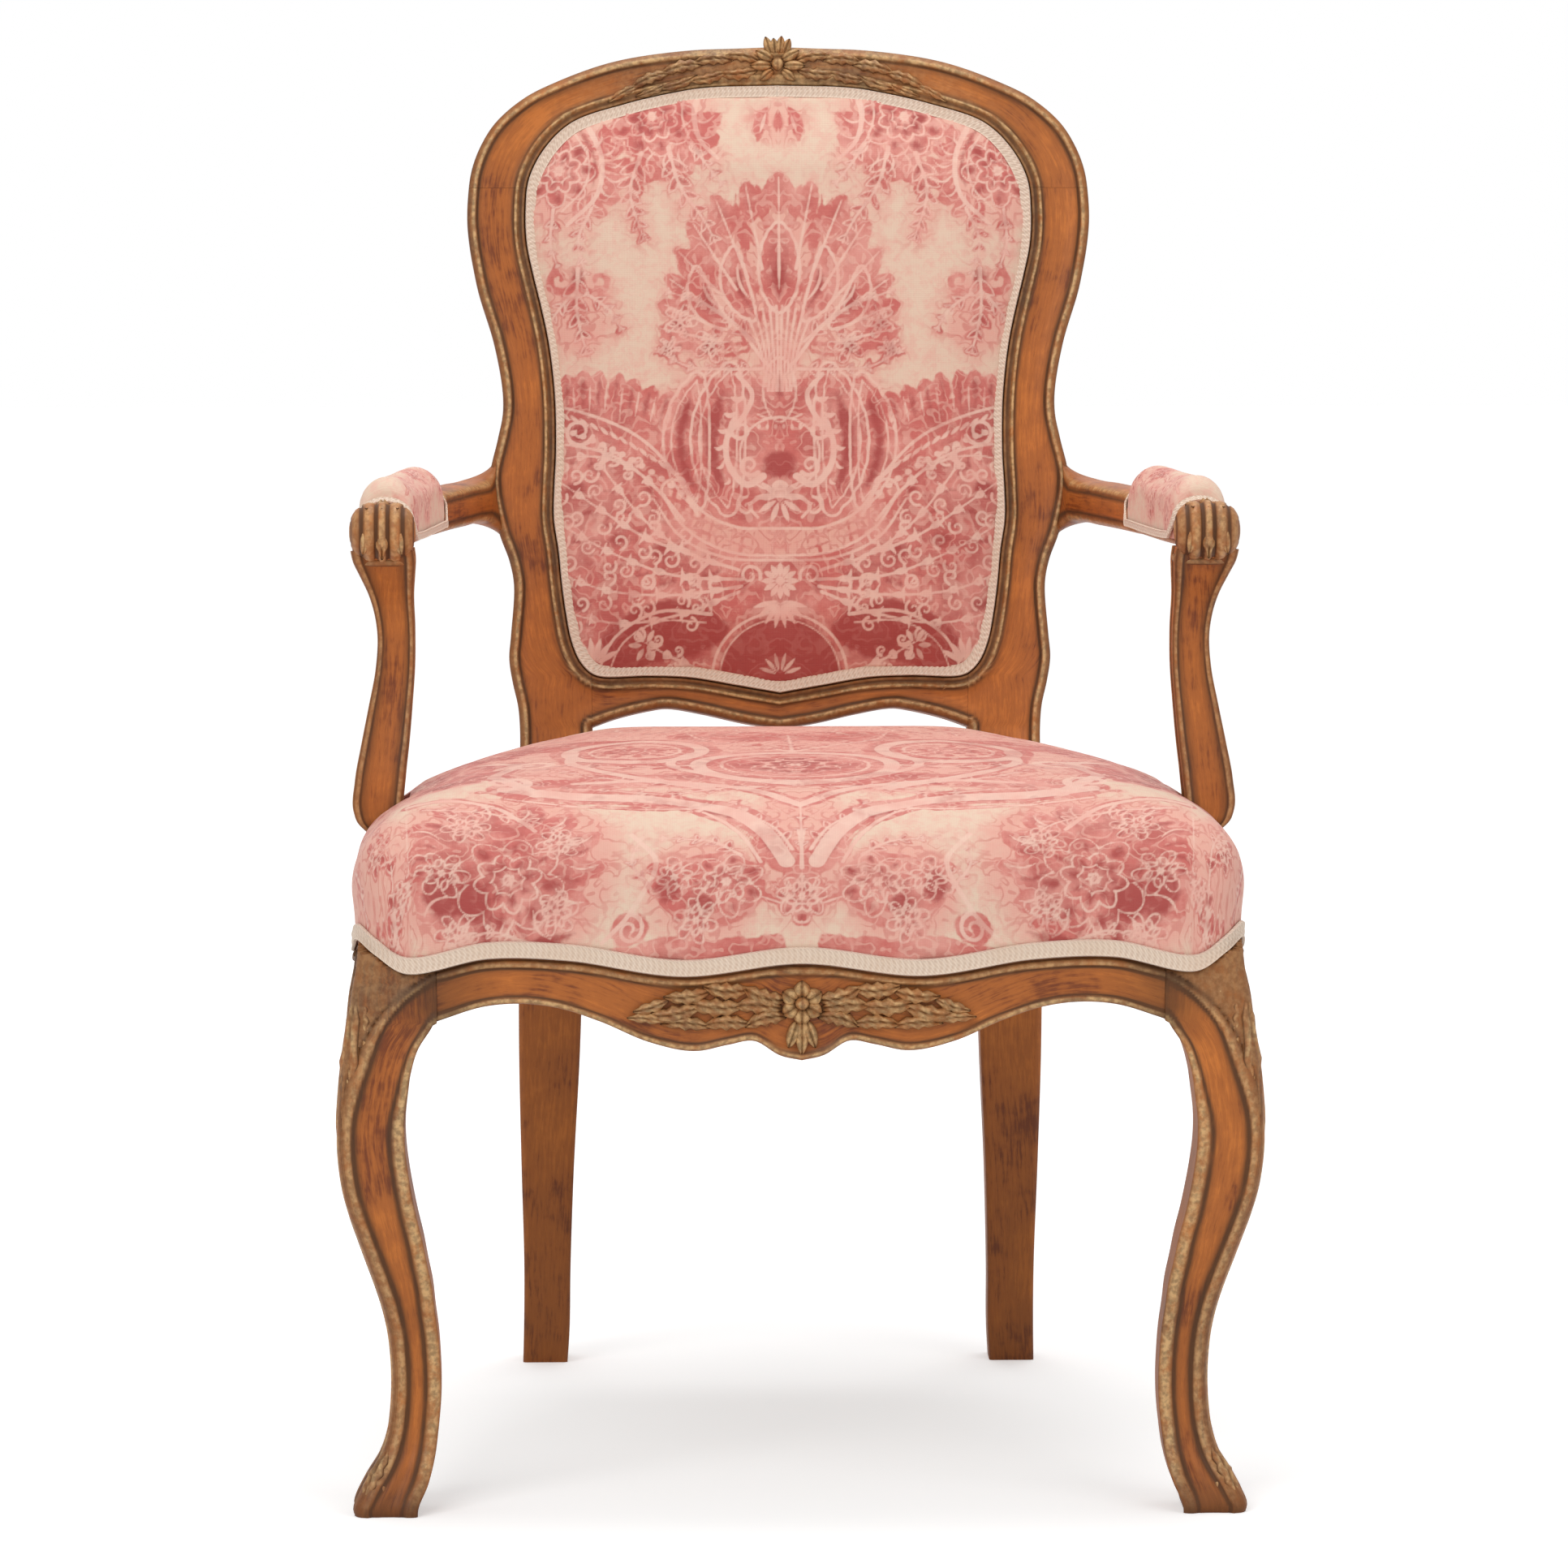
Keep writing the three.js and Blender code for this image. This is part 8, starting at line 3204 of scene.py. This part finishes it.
@dataclass
class ArmPads:
    """The small stuffed pads on the arms and the gimp round their feet."""

    arms: Arms
    width: float = 42.0
    crown: float = 38.0
    skirt: float = -8.5
    gimp_width: float = 5.4
    gimp_thickness: float = 2.0
    end_half: float = 18.2
    end_rise: float = 24.2
    held_below: float = 12.0
    free_over: float = 16.0

    def _stations(self, count: int) -> list[tuple[Array, Array, float]]:
        """Centres along the padded stretch, with the way across and how full the pad is there.

        Args:
            count: how many.

        Returns:
            Each with its centre, the way across and its fullness.
        """
        arms = self.arms
        made = []
        for share in np.linspace(0, 1, count):
            along = arms.pad_start + 0.004 + share * (arms.pad_end - arms.pad_start - 0.008)
            end = min(share, 1 - share) * (arms.pad_end - arms.pad_start) * (arms.root_y - arms.front_y)
            full = math.sqrt(max(1 - max(1 - end / 18, 0) ** 2, 0.0))
            made.append((arms.station(along)[0], arms.across(along), full))
        return made

    def pad(self) -> Mesh:
        """The right pad: a crowned form that wraps the top and sides of the arm, puffed.

        Returns:
            The piece's mesh.
        """
        rings = []
        waist, floor = self.arms.pad_waist + 0.6, self.arms.pad_floor + 0.8
        angles = np.linspace(0, math.pi, 15)
        for centre, across, full in self._stations(60):
            half = (self.width / 2 - 1.5) * (0.86 + 0.14 * full)
            rise = 13.0 + (self.crown - 16.5) * full
            swell = 1 + 0.06 * np.sin(angles * 2) ** 2
            top = np.column_stack([np.cos(angles) * half * swell, np.sin(angles) ** 0.75 * rise])
            side = [
                (half, self.skirt * 0.5), (half - 0.5, self.skirt),
                (waist, self.skirt), (waist, -2.0), (waist, floor),
            ]
            flat = np.vstack([top, [(-x, z) for x, z in side], [(0.0, floor)], side[::-1]])
            rings.append(centre + flat[:, :1] * across + flat[:, 1:] * UP)
        body = Rings(np.array(rings)).mesh()
        middle = self.arms.height

        def hold(points: Array) -> Array:
            """Free on top, held at the foot."""
            return np.clip((points[:, 2] - middle - self.held_below) / self.free_over, 0, 1)

        return Stuffing(voxel=2.4, travel=2.0).puff("pad_form", body, hold)

    def build(self, maker: Maker, finishes: Finishes) -> None:
        """Makes both pads with their braids.

        Args:
            maker: makes the pieces.
            finishes: the chair's finishes.
        """
        pad = soft_subdivide(self.pad())
        for side in Side:
            mesh = mirror_copy(pad) if side is Side.LEFT else pad.copy()
            nodes = [f"{side.word}_arm_pad_cover", f"{side.word}_arm_pad_stuffing"]
            obj = maker.piece(f"{side.word}_arm_pad", mesh, finishes.damask, nodes, CLOTH_CREASE)
            x, y, z = (mesh_points(obj) / MM).T
            flat = np.column_stack([y + 140, (np.abs(x) - 262) * 1.2 + (z - 660)])
            store_pattern(obj, pad_pattern(flat))
        pad.free()
        maker.pair("arm_pad_gimp", "braid", self._gimp(), finishes.braid, "gimp", GIMP_CREASE)

    def _gimp(self) -> Mesh:
        """The braid along the right pad's skirt and over both its ends.

        Returns:
            The piece's mesh.
        """
        places, outs = [], []
        stations = self._stations(40)
        for sign, order in ((1, stations), (-1, stations[::-1])):
            for centre, across, full in order[2:-2]:
                half = self.width / 2 * (0.88 + 0.12 * full) - 0.4
                places.append(centre + across * half * sign + UP * (self.skirt + self.gimp_width / 2 + 0.3))
                outs.append(across * sign)
            centre, across, _ = order[-1]
            ahead = np.array([across[1], -across[0], 0.0]) * sign
            for degrees in range(15, 166, 15):
                turn = math.radians(degrees)
                side, rise = math.cos(turn) * sign, math.sin(turn) ** 0.6
                up = self.skirt + 3.0 + self.end_rise * rise
                places.append(centre + ahead * 0.8 + across * side * self.end_half + UP * up)
                way = across * side + UP * rise * 1.1 + ahead * 0.7
                outs.append(way / np.linalg.norm(way))
        whole = smooth(np.hstack([np.array(places), np.array(outs)]), closed=True, per_span=3)
        whole = evenly(whole, 0.9, closed=True)
        loop, out = whole[:, :3], whole[:, 3:]
        slope = np.roll(loop, -1, axis=0) - np.roll(loop, 1, axis=0)
        rise = unit(np.cross(unit(out), slope))
        out = unit(np.cross(slope, rise))
        return gimp_rings(loop, out, rise, self.gimp_width, self.gimp_thickness, True).mesh()


# ---------------------------------------------------------------- carried pieces and studio


CARRIED_WOODS = {
    "back_seat_rail": PlainWood(
        "plain_beech", light=(0.30, 0.11, 0.035), dark=(0.12, 0.04, 0.012), along=(1.0, 12.0, 12.0)
    ),
    "corner_block": PlainWood(
        "block_wood", light=(0.52, 0.33, 0.17), dark=(0.30, 0.17, 0.08), along=(9.0, 9.0, 1.5), rough=0.7
    ),
    "peg": PlainWood(
        "peg_oak", light=(0.34, 0.18, 0.07), dark=(0.15, 0.07, 0.03), along=(9.0, 9.0, 9.0), rough=0.55
    ),
}


@dataclass
class Carried:
    """CAD nodes that keep their own shape and get a finish, by a part of their names."""

    woods: dict[str, PlainWood]

    def dress(self) -> None:
        """Gives every node that is still shown its finish."""
        for key, wood in self.woods.items():
            material = wood.material()
            for name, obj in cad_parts.items():
                if key in name:
                    obj.data.materials.clear()
                    obj.data.materials.append(material)


class Under:
    """The webbing straps and the hessian under the seat."""

    def build(self, maker: Maker, finishes: Finishes) -> None:
        """Replaces each strap and the hessian by a finer copy of its own solid.

        Args:
            maker: makes the pieces.
            finishes: the chair's finishes.
        """
        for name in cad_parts:
            if "seat_web" in name:
                self._copy(maker, name, f"{name}_strap", finishes.webbing, "webbing")
            elif name == "seat_hessian":
                self._copy(maker, name, "seat_canvas", finishes.hessian, "hessian")

    @staticmethod
    def _copy(maker: Maker, node: str, name: str, material: Material, slot: str) -> None:
        """A smoothed copy of a cloth's solid.

        Args:
            maker: makes the piece.
            node: the solid's node.
            name: the piece's name.
            material: its finish.
            slot: not used.
        """
        made = bmesh.new()
        made.from_mesh(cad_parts[node].data)
        bmesh.ops.remove_doubles(made, verts=made.verts, dist=WELD)
        bmesh.ops.dissolve_limit(made, angle_limit=math.radians(1), verts=made.verts, edges=made.edges)
        edges = [edge for edge in made.edges if edge.calc_length() > 4 * MM]
        bmesh.ops.bevel(
            made, geom=edges, offset=0.2 * MM, segments=1, profile=0.5, affect="EDGES", material=-1
        )
        bmesh.ops.translate(made, vec=(0, -SHIFT_Y * MM, 0), verts=made.verts)
        maker.piece(name, made, material, [node], 40)


@dataclass
class Studio:
    """Floor, lamps and the camera at the photograph's angle."""

    eye: Triple = (-150.0, -5270.0, 1039.8)
    pitch: float = 83.716
    yaw: float = -1.593
    lens: float = 174.22
    lamps: tuple[tuple[str, Triple, float, float], ...] = (
        ("key", (-1.9, -3.2, 3.0), 2.6, 66.0),
        ("fill", (2.6, -2.8, 1.8), 2.4, 26.0),
        ("top", (0.1, 0.4, 3.0), 1.6, 32.0),
    )
    aim: Triple = (0.0, 0.0, 0.5)

    def build(self) -> None:
        """Sets the whole stage."""
        scene = bpy.context.scene
        scene.view_settings.view_transform = "Standard"
        self._camera(scene)
        self._floor()
        self._world(scene)
        for lamp in self.lamps:
            self._lamp(*lamp)

    def _camera(self, scene: bpy.types.Scene) -> None:
        """The camera.

        Args:
            scene: the scene.
        """
        data = bpy.data.cameras.new("camera")
        data.lens = self.lens
        data.sensor_width = 36.0
        data.sensor_fit = "HORIZONTAL"
        data.clip_end = 100.0
        camera = stand("camera", data)
        camera.location = (self.eye[0] * MM, (self.eye[1] + SHIFT_Y) * MM, self.eye[2] * MM)
        camera.rotation_euler = (math.radians(self.pitch), 0.0, math.radians(self.yaw))
        scene.camera = camera

    def _floor(self) -> None:
        """A pale floor that keeps the chair's shadow and reads white to the camera."""
        made = bmesh.new()
        bmesh.ops.create_grid(made, x_segments=1, y_segments=1, size=12)
        floor = stand("floor", flesh("floor", made))
        shade = Shade("pale_floor")
        rays = self._seen(shade)
        matt = shade.add("ShaderNodeBsdfDiffuse", None, {"Color": (0.88, 0.88, 0.88, 1.0)})
        away = shade.add("ShaderNodeVectorMath", {"operation": "LENGTH"}, {0: shade.place()}, "Value")
        lift = away.between(0.9, 2.6) * 0.2 + 0.4
        white = shade.add("ShaderNodeEmission", None, {"Color": (1.0, 1.0, 1.0, 1.0), "Strength": lift})
        seen = shade.add("ShaderNodeAddShader", None, {0: matt, 1: white})
        both = shade.add("ShaderNodeMixShader", None, {0: rays, 1: matt, 2: seen})
        shade.add("ShaderNodeOutputMaterial", None, {"Surface": both})
        floor.data.materials.append(shade.material)

    @staticmethod
    def _seen(shade: "Shade") -> Reading:
        """1 for rays from the camera, and for reflections and refractions.

        Args:
            shade: the material's nodes.

        Returns:
            1 or 0.
        """
        kinds = ("Is Camera Ray", "Is Glossy Ray", "Is Transmission Ray")
        camera, glossy, through = (shade.add("ShaderNodeLightPath", None, None, kind) for kind in kinds)
        return camera.math("MAXIMUM", glossy).math("MAXIMUM", through)

    def _world(self, scene: bpy.types.Scene) -> None:
        """A soft even sky that reads white to the camera.

        Args:
            scene: the scene.
        """
        world = bpy.data.worlds.new("studio")
        shade = Shade(owner=world)
        strength = self._seen(shade) * 0.52 + 0.48
        sky = shade.add("ShaderNodeBackground", None, {"Color": (1.0, 1.0, 1.0, 1.0), "Strength": strength})
        shade.add("ShaderNodeOutputWorld", None, {"Surface": sky})
        scene.world = world

    def _lamp(self, name: str, at: Triple, size: float, power: float) -> None:
        """A square softbox aimed at the seat.

        Args:
            name: its name.
            at: its place in metres.
            size: its side in metres.
            power: its power in watts.
        """
        data = bpy.data.lights.new(name, "AREA")
        data.shape = "SQUARE"
        data.size = size
        data.energy = power
        lamp = stand(name, data)
        lamp.location = at
        lamp.rotation_euler = (Vector(self.aim) - Vector(at)).to_track_quat("-Z", "Y").to_euler()


UPRIGHT_ROOM = (
    (262.0, -141.5, 312.0, -103.0, 441.5, 600.0),
    (259.5, -139.0, 288.0, -105.5, 400.0, 443.0),
    (136.0, 203.0, 193.5, 300.0, 300.0, 600.0),
)


def upright_cutters() -> list[Mesh]:
    """Plain boxes of room for the arm supports and the stiles, that the seat is notched round.

    Returns:
        The boxes in metres.
    """
    cutters = []
    for x0, y0, x1, y1, z0, z1 in UPRIGHT_ROOM:
        made = bmesh.new()
        bmesh.ops.create_cube(made, size=1)
        size, middle = Vector((x1 - x0, y1 - y0, z1 - z0)) * MM, Vector((x0 + x1, y0 + y1, z0 + z1)) / 2 * MM
        bmesh.ops.scale(made, vec=size, verts=made.verts)
        bmesh.ops.translate(made, vec=middle, verts=made.verts)
        cutters += [made, mirror_copy(made)]
    return cutters


def main() -> None:
    """Builds every sub-assembly in turn."""
    Studio().build()
    maker = Maker()
    finishes = Finishes.mixed()
    plan, back = SeatPlan(), Back()
    arms = Arms(back, plan)
    for frame_part in (BackFrame(back), SeatFrame(plan), FrontLeg(plan), arms):
        frame_part.build(maker, finishes.moulded)
    for soft_part in (BackUpholstery(back), ArmPads(arms), SeatUpholstery(plan), Under()):
        soft_part.build(maker, finishes)
    Carried(CARRIED_WOODS).dress()


if __name__ == "__main__":
    main()
